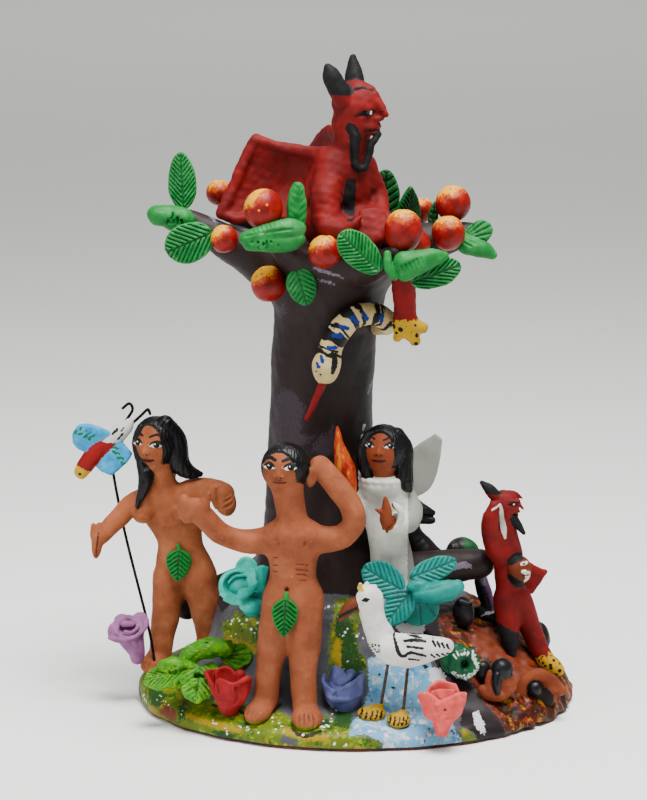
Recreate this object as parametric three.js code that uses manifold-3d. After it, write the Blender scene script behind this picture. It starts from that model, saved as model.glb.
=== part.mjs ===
// A painted clay figure group: a tree on a mound, with small modelled figures around it.
// Millimetres, +Z up. The origin is the centre of the flat underside, and -Y is the front.
import * as THREE from 'three';
import { mergeVertices } from 'three/addons/utils/BufferGeometryUtils.js';
import Module from 'manifold-3d';

const wasm = await Module();
wasm.setup();

// Driving dimensions
const BASE = { rx: 93, ry: 77, y: -2 };
const TRUNK = { x: -14, y: 0, r: 22 };
const CROWN_Z = 198;
const GAP = 0.3;
const WIRE_R = 0.65;
const ROUND_END_R = 4.5;

// Painted colours
const COLOUR = {
  bark: '#3b2e2e', skin: '#a9623c', skinDark: '#8f4f33', red: '#b3212a', white: '#e6e6e0',
  cream: '#e9d9b0', leaf: '#2f8c49', lime: '#78ad35', turquoise: '#12a591', rose: '#c2414a',
  lilac: '#a284b4', blue: '#5b68a6', coral: '#df7470', aqua: '#45bcb4', sky: '#5cb3df',
  black: '#262829', apple: '#bd3327', orange: '#e2771f', wire: '#2b2a2a', yellow: '#d5b428',
};

// Solids: every builder below returns a closed BufferGeometry or a Manifold.
// "grow" fattens a shape by that many millimetres, so that a neighbour can be cut clear of it.

function meshGeometry(positions, indices) {
  const geometry = new THREE.BufferGeometry();
  geometry.setAttribute('position', new THREE.Float32BufferAttribute(positions, 3));
  geometry.setIndex(indices);
  return geometry;
}

function toSolid(geometry) {
  const bare = geometry.clone();
  bare.deleteAttribute('normal');
  bare.deleteAttribute('uv');
  const merged = mergeVertices(bare, 1e-4);
  return new wasm.Manifold(new wasm.Mesh({
    numProp: 3,
    vertProperties: new Float32Array(merged.attributes.position.array),
    triVerts: new Uint32Array(merged.index.array),
  }));
}

function join(...shapes) {
  const solids = shapes.flat().map((s) => (s.isBufferGeometry ? toSolid(s) : s));
  return solids.reduce((whole, next) => whole.add(next));
}

// Closed skin over rings of points, with a pole at each end
function skin(rings, firstPole, lastPole) {
  const sides = rings[0].length;
  const points = [...rings.flat(), firstPole, lastPole];
  const first = points.length - 2;
  const last = points.length - 1;
  const indices = [];
  for (let i = 0; i < sides; i += 1) {
    const j = (i + 1) % sides;
    indices.push(first, j, i);
    for (let k = 0; k + 1 < rings.length; k += 1) {
      const a = k * sides;
      const b = a + sides;
      indices.push(a + i, a + j, b + j, a + i, b + j, b + i);
    }
    const top = (rings.length - 1) * sides;
    indices.push(last, top + i, top + j);
  }
  return meshGeometry(points.flatMap((p) => [p.x, p.y, p.z]), indices);
}

// A round limb through [x, y, z, radius] points. It starts inside another solid and ends rounded.
function limb(points, grow = 0, sides = 5) {
  const centres = points.map((p) => new THREE.Vector3(p[0], p[1], p[2]));
  const radii = points.map((p) => p[3] + grow);
  const tangents = centres.map((c, i) => {
    const before = centres[Math.max(i - 1, 0)];
    const after = centres[Math.min(i + 1, centres.length - 1)];
    return after.clone().sub(before).normalize();
  });
  const start = Math.abs(tangents[0].z) > 0.8 ? new THREE.Vector3(1, 0, 0) : new THREE.Vector3(0, 0, 1);
  let side = start.cross(tangents[0]).normalize();
  const ring = (centre, tangent, radius) => {
    side = side.clone().addScaledVector(tangent, -side.dot(tangent)).normalize();
    const other = tangent.clone().cross(side);
    return Array.from({ length: sides }, (_, i) => {
      const angle = (2 * Math.PI * i) / sides;
      return centre.clone()
        .addScaledVector(side, radius * Math.cos(angle))
        .addScaledVector(other, radius * Math.sin(angle));
    });
  };
  const end = centres.length - 1;
  const beyond = (i, reach) => centres[i].clone().addScaledVector(tangents[i], radii[i] * reach);
  const rings = centres.map((c, i) => ring(c, tangents[i], radii[i]));
  if (radii[end] > ROUND_END_R) {
    rings.push(ring(beyond(end, 0.6), tangents[end], radii[end] * 0.75));
  }
  return skin(rings, beyond(0, -0.6), beyond(end, 0.95));
}

// A body of level oval sections, each [height, x, y, half width, half depth]
function stack(levels, grow = 0, sides = 6) {
  const low = levels[0];
  const high = levels[levels.length - 1];
  const rings = levels.map(([z, x, y, wide, deep]) => Array.from({ length: sides }, (_, i) => {
    const angle = (2 * Math.PI * i) / sides;
    const px = x + (wide + grow) * Math.cos(angle);
    const py = y + (deep + grow) * Math.sin(angle);
    const spread = grow * (Number(z === high[0]) - Number(z === low[0]));
    return new THREE.Vector3(px, py, z + spread);
  }));
  const bottom = new THREE.Vector3(low[1], low[2], low[0] - 1 - grow);
  const top = new THREE.Vector3(high[1], high[2], high[0] + 1 + grow);
  return skin(rings, bottom, top);
}

// An ellipsoid with half sizes [x, y, z], turned by [x, y, z] degrees
function blob(centre, half, grow = 0, turn = [0, 0, 0], detail = [6, 4]) {
  const geometry = new THREE.SphereGeometry(1, detail[0], detail[1]);
  geometry.scale(half[0] + grow, half[1] + grow, half[2] + grow);
  const [rx, ry, rz] = turn.map(THREE.MathUtils.degToRad);
  geometry.applyMatrix4(new THREE.Matrix4().makeRotationFromEuler(new THREE.Euler(rx, ry, rz)));
  geometry.translate(...centre);
  return geometry;
}

// A leaf blade from base to tip, pinched along its midrib, with its good side towards "face"
function leaf({ base, tip, width, thick = 1.8, face = [0, -1, 0], fold = 0.12, arch = 0 }, grow = 0) {
  const from = new THREE.Vector3(...base);
  const along = new THREE.Vector3(...tip).sub(from);
  const length = along.length();
  along.normalize();
  const across = along.clone().cross(new THREE.Vector3(...face)).normalize();
  const out = across.clone().cross(along);
  const stations = [0.14, 0.5, 0.84];
  const rings = stations.map((t) => {
    const w = (width / 2) * Math.sin(Math.PI * (0.1 + 0.84 * t)) ** 0.75 + grow;
    const h = thick / 2 + grow;
    const droop = -fold * w;
    const section = [[-w, droop], [-w / 2, droop / 2 + h], [0, h * 0.6], [w / 2, droop / 2 + h],
      [w, droop], [0, -h]];
    const rise = arch * Math.sin(Math.PI * t);
    return section.map(([a, b]) => from.clone()
      .addScaledVector(along, t * length)
      .addScaledVector(across, a)
      .addScaledVector(out, b + rise));
  });
  const ends = [-grow, length + grow].map((d) => from.clone().addScaledVector(along, d));
  return skin(rings, ends[0], ends[1]);
}

// A thin web over an outline of 3-D points, fanned from its middle
function web(outline, thick, grow = 0) {
  const points = outline.map((p) => new THREE.Vector3(...p));
  const middle = points.reduce((sum, p) => sum.add(p), new THREE.Vector3()).divideScalar(points.length);
  const normal = new THREE.Vector3();
  points.forEach((p, i) => {
    const next = points[(i + 1) % points.length];
    normal.add(p.clone().sub(middle).cross(next.clone().sub(middle)));
  });
  normal.normalize();
  const half = thick / 2 + grow;
  const spread = points.map((p) => p.clone().addScaledVector(p.clone().sub(middle).normalize(), grow));
  const face = (way) => spread.map((p) => p.clone().addScaledVector(normal, way * half));
  const pole = (way) => middle.clone().addScaledVector(normal, way * half);
  return skin([face(-1), face(1)], pole(-1), pole(1));
}

// A rose: a cup that opens into lobed petals round a rolled bud. Its axis runs from base to top.
function rose({ base, top, mouth, foot = 4.5 }, grow = 0, lobes = 5) {
  const from = new THREE.Vector3(...base);
  const axis = new THREE.Vector3(...top).sub(from);
  const height = axis.length();
  const profile = [[foot, 0, 0], [mouth * 0.75, 0.45, 0.04], [mouth, 0.92, 0.08], [mouth * 0.62, 0.72, 0.08],
    [mouth * 0.42, 1.02, 0.14]];
  const steps = lobes * 2;
  const rings = profile.map(([r, h, ruffle], k) => Array.from({ length: steps }, (_, i) => {
    const angle = (2 * Math.PI * i) / steps;
    const wave = Math.cos(lobes * angle + (k > 2 ? Math.PI : 0));
    const radius = r * (1 + ruffle * wave) + grow;
    const lift = height * h * (1 + 0.5 * ruffle * wave) + (k > 0 ? grow : -grow);
    return new THREE.Vector3(radius * Math.cos(angle), radius * Math.sin(angle), lift);
  }));
  const low = new THREE.Vector3(0, 0, -grow);
  const high = new THREE.Vector3(0, 0, height + grow);
  const geometry = skin(rings, low, high);
  const turn = new THREE.Quaternion().setFromUnitVectors(new THREE.Vector3(0, 0, 1), axis.normalize());
  geometry.applyQuaternion(turn);
  geometry.translate(...base);
  return geometry;
}

// A straight wire between two points
function wire(from, to, grow = 0, radius = WIRE_R) {
  return limb([[...from, radius], [...to, radius]], grow, 6);
}

// The mound. Each sector states, at an angle in degrees, where the top ends and the bank's foot
// begins as fractions of the base's radius, the heights of top, foot and rim, and the bank's belly.
const SECTORS = [
  { angle: -180, edge: 0.62, foot: 0.71, top: 45, low: 19, rim: 10, belly: 0 },
  { angle: -160, edge: 0.6, foot: 0.76, top: 46, low: 16, rim: 8, belly: 0 },
  { angle: -130, edge: 0.51, foot: 0.74, top: 47, low: 13, rim: 7, belly: 0 },
  { angle: -90, edge: 0.47, foot: 0.7, top: 47, low: 13, rim: 7, belly: 0 },
  { angle: -62, edge: 0.5, foot: 0.78, top: 45, low: 12, rim: 7, belly: 0 },
  { angle: -45, edge: 0.45, foot: 0.92, top: 36, low: 9, rim: 5, belly: 0.5 },
  { angle: -25, edge: 0.4, foot: 0.95, top: 38, low: 11, rim: 6, belly: 0.8 },
  { angle: 0, edge: 0.4, foot: 0.95, top: 40, low: 12, rim: 7, belly: 1 },
  { angle: 45, edge: 0.5, foot: 0.95, top: 42, low: 12, rim: 7, belly: 1 },
  { angle: 90, edge: 0.58, foot: 0.92, top: 45, low: 12, rim: 7, belly: 0.8 },
  { angle: 135, edge: 0.58, foot: 0.85, top: 45, low: 15, rim: 8, belly: 0.5 },
  { angle: 180, edge: 0.62, foot: 0.71, top: 45, low: 19, rim: 10, belly: 0 },
];

function sectorAt(angle) {
  const degrees = Math.min(angle, 180);
  const k = SECTORS.findIndex((s, i) => i > 0 && degrees <= s.angle);
  const [a, b] = [SECTORS[k - 1], SECTORS[k]];
  const t = THREE.MathUtils.smoothstep(degrees, a.angle, b.angle);
  const mix = (key) => THREE.MathUtils.lerp(a[key], b[key], t);
  return Object.fromEntries(['edge', 'foot', 'top', 'low', 'rim', 'belly'].map((key) => [key, mix(key)]));
}

function moundHeight(fraction, degrees) {
  const s = sectorAt(degrees);
  if (fraction <= s.edge) {
    return s.top + 4 * (1 - (fraction / s.edge) ** 2);
  }
  if (fraction <= s.foot) {
    const t = (fraction - s.edge) / (s.foot - s.edge);
    const fall = THREE.MathUtils.lerp(t * t * (3 - 2 * t), t * t, s.belly);
    return THREE.MathUtils.lerp(s.top, s.low, fall);
  }
  return THREE.MathUtils.lerp(s.low, s.rim, (fraction - s.foot) / (1 - s.foot));
}

function mound(grow = 0) {
  const segments = 26;
  const fractions = [0.47, 0.58, 0.7, 0.88];
  const ring = (fraction, height) => Array.from({ length: segments }, (_, i) => {
    const angle = -Math.PI + (2 * Math.PI * (i + 1)) / segments;
    const x = (BASE.rx * fraction + grow) * Math.cos(angle);
    const y = BASE.y + (BASE.ry * fraction + grow) * Math.sin(angle);
    return new THREE.Vector3(x, y, height(THREE.MathUtils.radToDeg(angle)));
  });
  const rings = [
    ring(0.985, () => -grow),
    ring(1, (degrees) => 0.4 * moundHeight(1, degrees)),
    ring(0.985, (degrees) => moundHeight(0.985, degrees) - 0.5 + grow),
    ...fractions.reverse().map((f) => ring(f, (degrees) => moundHeight(f, degrees) + grow)),
  ];
  const under = new THREE.Vector3(0, BASE.y, -grow);
  const crest = new THREE.Vector3(0, BASE.y, 50 + grow);
  return skin(rings, under, crest);
}

function treeAndMound(grow = 0) {
  const { x, y, r } = TRUNK;
  const trunk = limb([[x + 1, y, 42, 34], [x + 1, y, 58, 30.5], [x, y, 68, 26.6], [x - 1, y, 84, 24],
    [x - 1, y, 120, r], [x + 0.5, y, 156, r], [x + 2, y, 172, r + 0.5]], grow, 10);
  const crown = stack([[164, x + 2, y, r - 2, r - 2], [178, x + 3, y - 2, r + 2.5, r + 1.5],
    [190, x + 5, y - 5, 30, 27], [CROWN_Z - 1, x + 6, y - 6, 31, 27]], grow, 10);
  const branches = [
    [[-30, -5, 183, 12], [-46, -9, 195, 8.2], [-70, -9.6, 207, 4.6]],
    [[10, -4, 191, 11], [28, -5, 196.5, 8.6], [47, -7, 201, 5]],
    [[-24, -22, 190, 7.5], [-36, -38.6, 206, 3.8]],
    [[3, -27, 189, 6.6], [12, -41, 195.6, 5], [15, -43, 198, 4.2]],
    [[-30, 8, 191, 9], [-54.6, 7.4, 209.4, 4]],
    [[8, 12, 191, 8], [26.8, 15, 204.4, 3.8]],
    [[-10, 20, 188, 8.5], [-9, 38, 200, 5]],
  ];
  const roots = [
    [[-28, -4, 54, 10], [-54, -15, 46, 4.5]],
    [[6, -5, 60, 10], [20, -10, 57.4, 8.6], [38, -11, 59.4, 7.8], [51.6, -12, 61.2, 6.8]],
    [[4, 12, 54, 10], [32, 28, 43, 5]],
    [[-32, 16, 54, 10], [-48, 32, 44, 4.5]],
  ];
  return join(mound(grow), trunk, crown, [...branches, ...roots].map((points) => limb(points, grow)));
}

// Figures. Heights are above the underside, x and y from the same origin.

function man(grow = 0) {
  const torso = stack([[50, -26.6, -54, 9, 6.2], [58, -26.3, -54, 10.8, 7.4], [70, -26.4, -54, 9.3, 6.8],
    [82, -26.6, -54, 11.6, 7], [89, -26.6, -54, 8.6, 5.6]], grow);
  const limbs = [
    [[-26.6, -54, 88, 7.2], [-28, -54, 104, 6.4]],
    [[-34, -54, 83, 6], [-46, -54.5, 82, 4.8], [-56, -57, 85.4, 4.4], [-63.5, -60, 93, 4.5],
      [-70, -62, 99.6, 3.8]],
    [[-19, -54, 84, 6.2], [-10, -55, 83, 5.2], [-3, -57, 87, 4.9], [-1.6, -58, 94, 4.9], [-8, -55, 105.5, 5],
      [-16, -51, 114.6, 4.4]],
    [[-32, -54, 56, 8], [-34.6, -53.6, 40, 6.4], [-36.6, -53, 22, 5.1], [-38, -55, 15, 5]],
    [[-21.4, -54, 56, 8], [-21.8, -55.4, 40, 6.6], [-22.2, -57.5, 22, 5.2], [-21.6, -60, 15, 5.2]],
  ];
  const digits = [
    [[-62.5, -60, 94.5, 2.8], [-60, -61.5, 102.4, 1.8]],
    [[-68.4, -62, 95, 2.8], [-73, -63, 93.2, 1.9]],
  ];
  const parts = [
    blob([-29.8, -53.4, 112.4], [9.8, 9, 10.4], grow),
    blob([-18.6, -54, 111], [2.5, 1.8, 4.8], grow, [0, 12, 0], [4, 3]),
    blob([-40.6, -60, 11.5], [5.6, 8.4, 4.2], grow, [12, 0, -24]),
    blob([-20.8, -66, 10.6], [6.6, 8.4, 4.2], grow, [12, 0, 4]),
  ];
  return join(torso, parts, limbs.map((points) => limb(points, grow)),
    digits.map((points) => limb(points, grow, 4)));
}

function woman(grow = 0) {
  const torso = stack([[47, -73, 2, 9.6, 6.4], [56, -73.2, 2, 11.6, 7.8], [67, -74.9, 2, 9.9, 6.9],
    [79, -78.4, 1.4, 13.4, 7], [90, -79.6, 1, 12.8, 5.8], [93, -80, 1, 7, 5]], grow);
  const limbs = [
    [[-80.5, 1, 90, 6], [-83.5, -1, 103, 5.4]],
    [[-89, 0, 85, 6], [-95.4, -1.4, 83.4, 4.9], [-106.5, -8, 73.6, 3.8]],
    [[-68, 1, 88, 6.2], [-60, 1.5, 90.2, 5], [-54.6, 0, 89.6, 4.9]],
    [[-79, 2, 50, 7.8], [-80.8, 1.4, 36, 6.3], [-84.3, -1, 18, 4.9]],
    [[-67.3, 2, 50, 8], [-64.6, 3.4, 36, 6.8], [-62.6, 6, 21, 5.6]],
    [[-90, -5, 114, 4], [-91.6, -6.4, 99, 3.6], [-92, -7, 84.6, 1.9]],
    [[-80, 0, 114, 5.2], [-72.6, 1, 99.5, 4.6], [-65.6, 1.5, 96.6, 3]],
  ];
  const parts = [
    blob([-85, -1, 109.6], [8.6, 8.6, 11], grow),
    blob([-109, -9.5, 70.4], [3, 3.8, 8.6], grow, [0, 8, 0]),
    blob([-55, -6.6, 87.2], [4.8, 5, 7.4], grow, [0, -14, 0]),
    blob([-90.6, -5.4, 80.6], [4, 3.4, 4], grow),
    blob([-74, -5, 80.2], [4.6, 3.8, 4.4], grow),
    blob([-86.4, -4.6, 15.6], [5.4, 7.8, 4], grow, [12, 0, -14]),
    blob([-63.6, 2, 20.4], [5.4, 7, 3.8], grow, [12, 0, 6]),
  ];
  return join(torso, parts, limbs.map((points) => limb(points, grow)));
}

function angel(grow = 0) {
  const robe = stack([[44, 15.8, -26, 10.4, 9], [64, 14.8, -26, 9.2, 7.8], [77, 12.8, -26, 8.7, 6.8],
    [92, 12.4, -26, 10.6, 6.8], [100, 11.4, -26.5, 6, 5]], grow);
  const limbs = [
    [[18, -26, 94, 5.2], [21.8, -28, 87.2, 5], [19.6, -35, 83.4, 4.6], [13, -40, 88, 3.8]],
    [[6, -26, 94, 5], [0.5, -29, 88.5, 4.4], [-3.8, -33, 88.6, 3.4]],
    [[4.4, -28, 111, 3.6], [3.4, -28, 98.5, 2.2]],
    [[16, -27, 116, 4.6], [19, -26, 106, 4.4], [19, -26, 97, 3]],
  ];
  const parts = [
    limb([[11.2, -27, 98, 5.2], [10.6, -28, 105, 5]], grow),
    limb([[12, -40.4, 90, 2.8], [11.4, -40.6, 96, 1.8]], grow, 4),
    blob([10.4, -28.6, 112.6], [8.2, 8.2, 11], grow),
  ];
  const wings = [
    [[17, -21, 94], [25, -17, 92.4], [30.8, -16, 98], [34.4, -16, 115], [31.6, -16, 117.4],
      [26.6, -16, 112.5], [17, -21, 107]],
    [[9, -21, 94], [2, -16, 93], [-2, -12, 101], [0.5, -11, 119], [3, -12, 121], [9, -20, 107]],
  ];
  return join(robe, parts, limbs.map((points) => limb(points, grow)),
    wings.map((outline) => web(outline, 3, grow)));
}

function hornedFigureInTree(grow = 0) {
  const torso = stack([[197, -8, -10, 11, 9.6], [210, -7, -11, 11.6, 10], [222, -5.6, -12, 11.2, 9.2],
    [231, -5, -12, 10, 7.8], [236, -5, -12, 6.6, 6]], grow);
  const limbs = [
    [[-5, -12, 232, 7], [-3.4, -13, 246, 6.8]],
    [[4, -14, 245, 6], [3, -15.5, 236, 4.4], [2.2, -16, 230.2, 2]],
    [[-5.6, -18, 257, 5], [-9, -20, 264.4, 4.3], [-12.4, -20.6, 271, 1.7]],
    [[-1, -9, 258, 4.8], [-1.4, -8, 266, 3.8], [-1.6, -7, 274.2, 1.7]],
    [[-11, -16, 231, 7], [-17.6, -25, 221.4, 5.8], [-16.6, -32, 211, 5], [-4.4, -37, 208.6, 4.2]],
    [[2, -8, 228, 6.4], [8, -7, 217, 4.8], [9.5, -16, 208.5, 4]],
    [[-5, -13, 205, 9], [6, -20, 206, 7.6], [15, -25.5, 202.5, 6.6], [18.2, -27, 192, 5.8],
      [19.2, -26, 167.6, 5.2]],
    [[-14, -16, 205, 9], [-6, -29, 204, 6.8], [6, -34, 203.6, 5.2]],
  ];
  const digits = [
    [[4, -14, 250.6, 4.4], [11, -14, 248.6, 1.8]],
    [[20.6, -27, 167, 3.2], [25.8, -27.5, 165.2, 2.6]],
    [[20, -27.5, 165, 3.2], [22.8, -28, 160, 2.4]],
    [[18.4, -27, 165, 3.2], [16.5, -27.5, 161.2, 2.4]],
  ];
  const webs = [
    web([[-8, -12, 235], [-28, -7, 237.6], [-44.6, -5, 240.8], [-50.6, -7, 227], [-58.2, -11, 208.4],
      [-36, -10, 207], [-14, -16, 206]], 4.4, grow),
    web([[-5, -9, 236], [-10.5, 8, 242.6], [-15, 18, 238.6], [-20, 28, 229.6], [-25, 36, 220],
      [-14, 16, 208], [-8, -6, 208]], 4, grow),
  ];
  const head = blob([0.8, -14, 252.4], [10, 8, 10.4], grow);
  return join(torso, head, webs, limbs.map((points) => limb(points, grow)),
    digits.map((points) => limb(points, grow)));
}

function hornedFigureStanding(grow = 0) {
  const torso = stack([[45, 65, -16, 6.6, 5.6], [58, 64, -16, 6.6, 5.7], [73, 63, -16, 6, 5.2],
    [78, 62.6, -16, 4.4, 4.2]], grow);
  const limbs = [
    [[62.6, -16, 76, 4.6], [62, -16, 83, 4.6]],
    [[59, -20, 69, 4.8], [55.6, -21.5, 74, 4], [54.8, -22, 80, 3.8], [56, -21.5, 87, 3.2]],
    [[63, -16.4, 47, 6], [63.6, -19.4, 37, 5.2], [64.6, -23, 27, 2.8]],
    [[68, -15, 47, 5.6], [71.6, -14.4, 38, 5.1], [77.6, -15, 24, 4.2], [81.6, -16.8, 19.6, 4],
      [85.4, -18, 17, 2.8]],
    [[69, -12, 61, 3.8], [75.4, -9, 52, 4.4]],
  ];
  const digits = [
    [[66, -16, 86.4, 3], [69, -16, 84.8, 1.5]],
    [[65.4, -16, 81.4, 3.6], [69, -16, 75.6, 1.6]],
    [[57.6, -16, 91.6, 3.2], [55, -16, 94.2, 2.8], [52.2, -16, 96.6, 1.4]],
    [[61, -22, 89, 1.4], [63.2, -22, 77.6, 1]],
  ];
  const parts = [
    blob([61.4, -16, 87.4], [7, 5.6, 6.4], grow, [0, 10, 0]),
    blob([67.6, -19.6, 60], [4.8, 3, 6.6], grow, [0, 0, 20], [5, 4]),
  ];
  return join(torso, parts, limbs.map((points) => limb(points, grow)),
    digits.map((points) => limb(points, grow, 4)));
}

function snake(grow = 0) {
  const body = limb([[8, -8, 163, 4.6], [12.4, -16, 164.8, 4.8], [9.6, -20, 168.4, 4.8], [3.6, -23, 170, 4.8],
    [-3, -25.6, 168, 4.9], [-8, -28, 163, 4.9], [-11, -29, 157, 5], [-12.4, -29.6, 151, 5.6],
    [-13.2, -29.6, 145.4, 4.8]], grow);
  const tongue = limb([[-13.6, -29.4, 143.4, 1.9], [-20.4, -27.6, 127.4, 1.3]], grow);
  return join(body, tongue);
}

function flameSword(grow = 0) {
  return limb([[-4.2, -36.6, 88, 1.8], [-3.4, -35, 96, 2.6], [-4.6, -34, 104, 3.9], [-6.6, -34, 112, 2.8],
    [-8.9, -34, 118, 1.8], [-8.2, -34, 125.3, 0.7]], grow);
}

function crane(grow = 0) {
  const body = limb([[4.6, -62, 59, 5.2], [5.8, -62, 52, 4.5], [7.6, -62, 46, 4.6], [12, -62, 40, 6.2],
    [20, -62, 38, 7.1], [29, -62, 38, 5.6], [38, -62, 36.4, 2.2]], grow, 7);
  const beak = limb([[2, -62, 59.6, 3.4], [-3, -62, 57, 2.7], [-6, -62, 53.4, 1.9],
    [-7.6, -62, 50.2, 0.9]], grow);
  const crest = limb([[-0.4, -62, 65, 1.6], [7.4, -62, 64.2, 1.4]], grow);
  return join(body, beak, crest);
}

function butterfly(grow = 0) {
  const head = limb([[-103, 2, 112.6, 4.6], [-97.4, 2, 117.6, 4]], grow);
  const body = limb([[-104, 2, 111.6, 3.6], [-110.6, 2, 106.4, 4.2], [-116, 1, 98, 3.4]], grow);
  const wings = [
    web([[-101, 1, 112.6], [-108, 0, 115.6], [-115, -1, 118.6], [-120, -1, 116], [-118.6, -1, 110],
      [-110, 1, 106]], 3, grow),
    web([[-102, 1, 112], [-96, 0, 107], [-94.6, -1, 103.6], [-98.6, -1, 99.6], [-105, -1, 97],
      [-110.6, 0, 102]], 3, grow),
  ];
  return join(head, body, wings);
}

function darkDog(grow = 0) {
  return join(
    limb([[33, 2, 58, 6], [27, 3, 63, 6.4], [23.6, 4, 72, 5], [23.8, 4, 80, 4.8], [27, 4, 83.4, 4.4],
      [32.6, 4, 80, 2.8]], grow),
    blob([23, 2, 85], [1.8, 1.6, 3], grow, [0, -20, 0], [4, 3]),
  );
}

function crouchingFigure(grow = 0) {
  return join(
    blob([59.4, -45, 19], [4.8, 4.4, 6.8], grow),
    blob([60.2, -45.4, 26.4], [4.7, 4.4, 4.7], grow),
    limb([[57, -47, 16, 2.8], [53.4, -48.4, 15.4, 2.3], [50.4, -48.4, 19.4, 1.9]], grow, 4),
    limb([[63.6, -44, 17, 2.6], [65.2, -45, 22.4, 2]], grow, 4),
  );
}

function archedFigure(grow = 0) {
  return join(
    limb([[69, -37, 12, 3], [70.4, -37, 18, 3], [76, -37, 21.6, 3.2], [82, -36, 18.6, 3],
      [85, -35, 13, 2.8]], grow, 4),
    blob([75.4, -38.6, 15.4], [3.8, 3.6, 3.8], grow),
    blob([77, -35.6, 11], [6.6, 3.6, 5.4], grow),
  );
}

function ringCoil(grow = 0) {
  const ring = (x, y, z, tilt) => {
    const geometry = new THREE.TorusGeometry(4.2, 2.7 + grow, 4, 7);
    geometry.rotateX(Math.PI / 2);
    geometry.rotateZ(tilt);
    geometry.translate(x, y, z);
    return geometry;
  };
  return join(ring(43.7, -48.6, 28.8, 0.1), ring(40.2, -45, 29.2, 0.25));
}

function leafCluster(blades, heart, grow) {
  const middle = new THREE.Vector3(...heart.at);
  const shapes = blades.map((blade) => {
    const outward = new THREE.Vector3(...blade.tip).sub(middle).normalize();
    const base = middle.clone().addScaledVector(outward, 0.55 * heart.half[0]).toArray();
    return leaf({ base, ...blade }, grow);
  });
  return join(blob(heart.at, heart.half, grow), shapes);
}

function turquoiseLeaves(grow = 0) {
  const face = [0, -0.8, 0.6];
  const thick = 2.6;
  const stem = limb([[24.4, -41, 57, 4], [23, -33, 46, 5]], grow);
  return leafCluster([
    { tip: [2.6, -41, 69.5], width: 17, thick, face, arch: 1.5 },
    { tip: [11, -46, 45], width: 14, thick, face, arch: 1.5 },
    { tip: [41, -37, 69], width: 12, thick, face, arch: 1 },
    { tip: [43, -42, 60.4], width: 9, thick: 5, face: [0, -1, 0.2], fold: 0 },
    { tip: [27.6, -43, 45], width: 17, thick, face, arch: 1 },
  ], { at: [24.4, -42.4, 58.6], half: [5.4, 3, 4.2] }, grow).add(toSolid(stem));
}

function greenLeaves(grow = 0) {
  const face = [0, -0.45, 0.9];
  const thick = 2.6;
  return leafCluster([
    { tip: [-78, -30, 26], width: 11, thick, face, arch: 1 },
    { tip: [-57, -23, 30], width: 12, thick, face, arch: 1 },
    { tip: [-45, -33, 26], width: 11, thick, face, arch: 1 },
    { tip: [-85, -47, 18], width: 13, thick, face, arch: 1 },
    { tip: [-67, -58, 13.6], width: 16, thick, face, arch: 1 },
  ], { at: [-61, -37, 20.6], half: [6, 5, 4.6] }, grow);
}

// Nodes in order of who keeps its shape: each one is cut clear of those before it.
const pieces = [];

function piece(name, colour, make, roughness = 0.8) {
  pieces.push({ name, colour, make, roughness });
}

piece('tree_and_mound', COLOUR.bark, treeAndMound);
piece('man', COLOUR.skin, man);
piece('woman', COLOUR.skinDark, woman);
piece('angel', COLOUR.white, angel);
piece('horned_figure_in_tree', COLOUR.red, hornedFigureInTree);
piece('horned_figure_standing', COLOUR.red, hornedFigureStanding);
piece('snake', COLOUR.cream, snake);
piece('flame_sword', COLOUR.orange, flameSword);

const figLeaves = {
  man: { base: [-29.6, -61.6, 63], tip: [-30.4, -61.8, 45], width: 11 },
  woman: { base: [-75, -6.1, 67.5], tip: [-76, -6.4, 53.5], width: 12 },
};
for (const [who, blade] of Object.entries(figLeaves)) {
  piece(`${who}_fig_leaf`, COLOUR.leaf, (grow) => leaf({ ...blade, thick: 2.4, fold: 0.1 }, grow));
}

piece('crane', COLOUR.white, crane);
const craneLegs = [
  { side: 'left', hip: [12.6, -62, 34.6], foot: [9.4, -60.5, 13.6], toe: [5.6, -63.5, 11.7], half: [6, 4.6, 3] },
  { side: 'right', hip: [20.4, -62.5, 32], foot: [18.4, -65, 12.6], toe: [16.6, -68, 10.4], half: [5, 4.8, 3] },
];
for (const { side, hip, foot, toe, half } of craneLegs) {
  piece(`crane_foot_${side}`, COLOUR.yellow, (grow) => blob(toe, half, grow, [10, 0, 0], [7, 4]));
  piece(`crane_leg_${side}`, COLOUR.wire, (grow) => wire(foot, hip, grow));
}

piece('butterfly', COLOUR.sky, butterfly);
piece('butterfly_stalk', COLOUR.wire, (grow) => limb([[-104.6, 2.4, 107, WIRE_R], [-98.6, 1, 73, WIRE_R],
  [-88.6, -6, 33, WIRE_R], [-85.4, -9, 15, WIRE_R]], grow, 6));
const antennae = {
  left: [[-97.4, 2.4, 119.4], [-94.4, 2.8, 124.2], [-95.8, 3, 126.9], [-98.6, 3, 124.8]],
  right: [[-94.6, 2.6, 118.4], [-90.8, 2.8, 121.8], [-88, 3, 124.4], [-87.1, 3, 122.4]],
};
for (const [side, points] of Object.entries(antennae)) {
  piece(`antenna_${side}`, COLOUR.wire, (grow) => limb(points.map((p) => [...p, WIRE_R]), grow, 6));
}

const roses = {
  lilac: { base: [-92, -11, 17], top: [-97, -13, 34], mouth: 8.6, foot: 4.4 },
  aqua: { base: [-43, -25, 48], top: [-48.6, -42, 61], mouth: 10.4, foot: 6 },
  red: { base: [-51.6, -55, 8.5], top: [-52.8, -56.6, 28], mouth: 10, foot: 5 },
  blue: { base: [-3, -53, 9], top: [-6, -55, 25], mouth: 9.4, foot: 5 },
  coral: { base: [35.4, -73, 5.5], top: [34.2, -75, 24.5], mouth: 9.8, foot: 5 },
};
const roseColours = {
  lilac: COLOUR.lilac, aqua: COLOUR.aqua, red: COLOUR.rose, blue: COLOUR.blue, coral: COLOUR.coral,
};
for (const [name, shape] of Object.entries(roses)) {
  piece(`rose_${name}`, roseColours[name], (grow) => rose(shape, grow));
}

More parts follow.
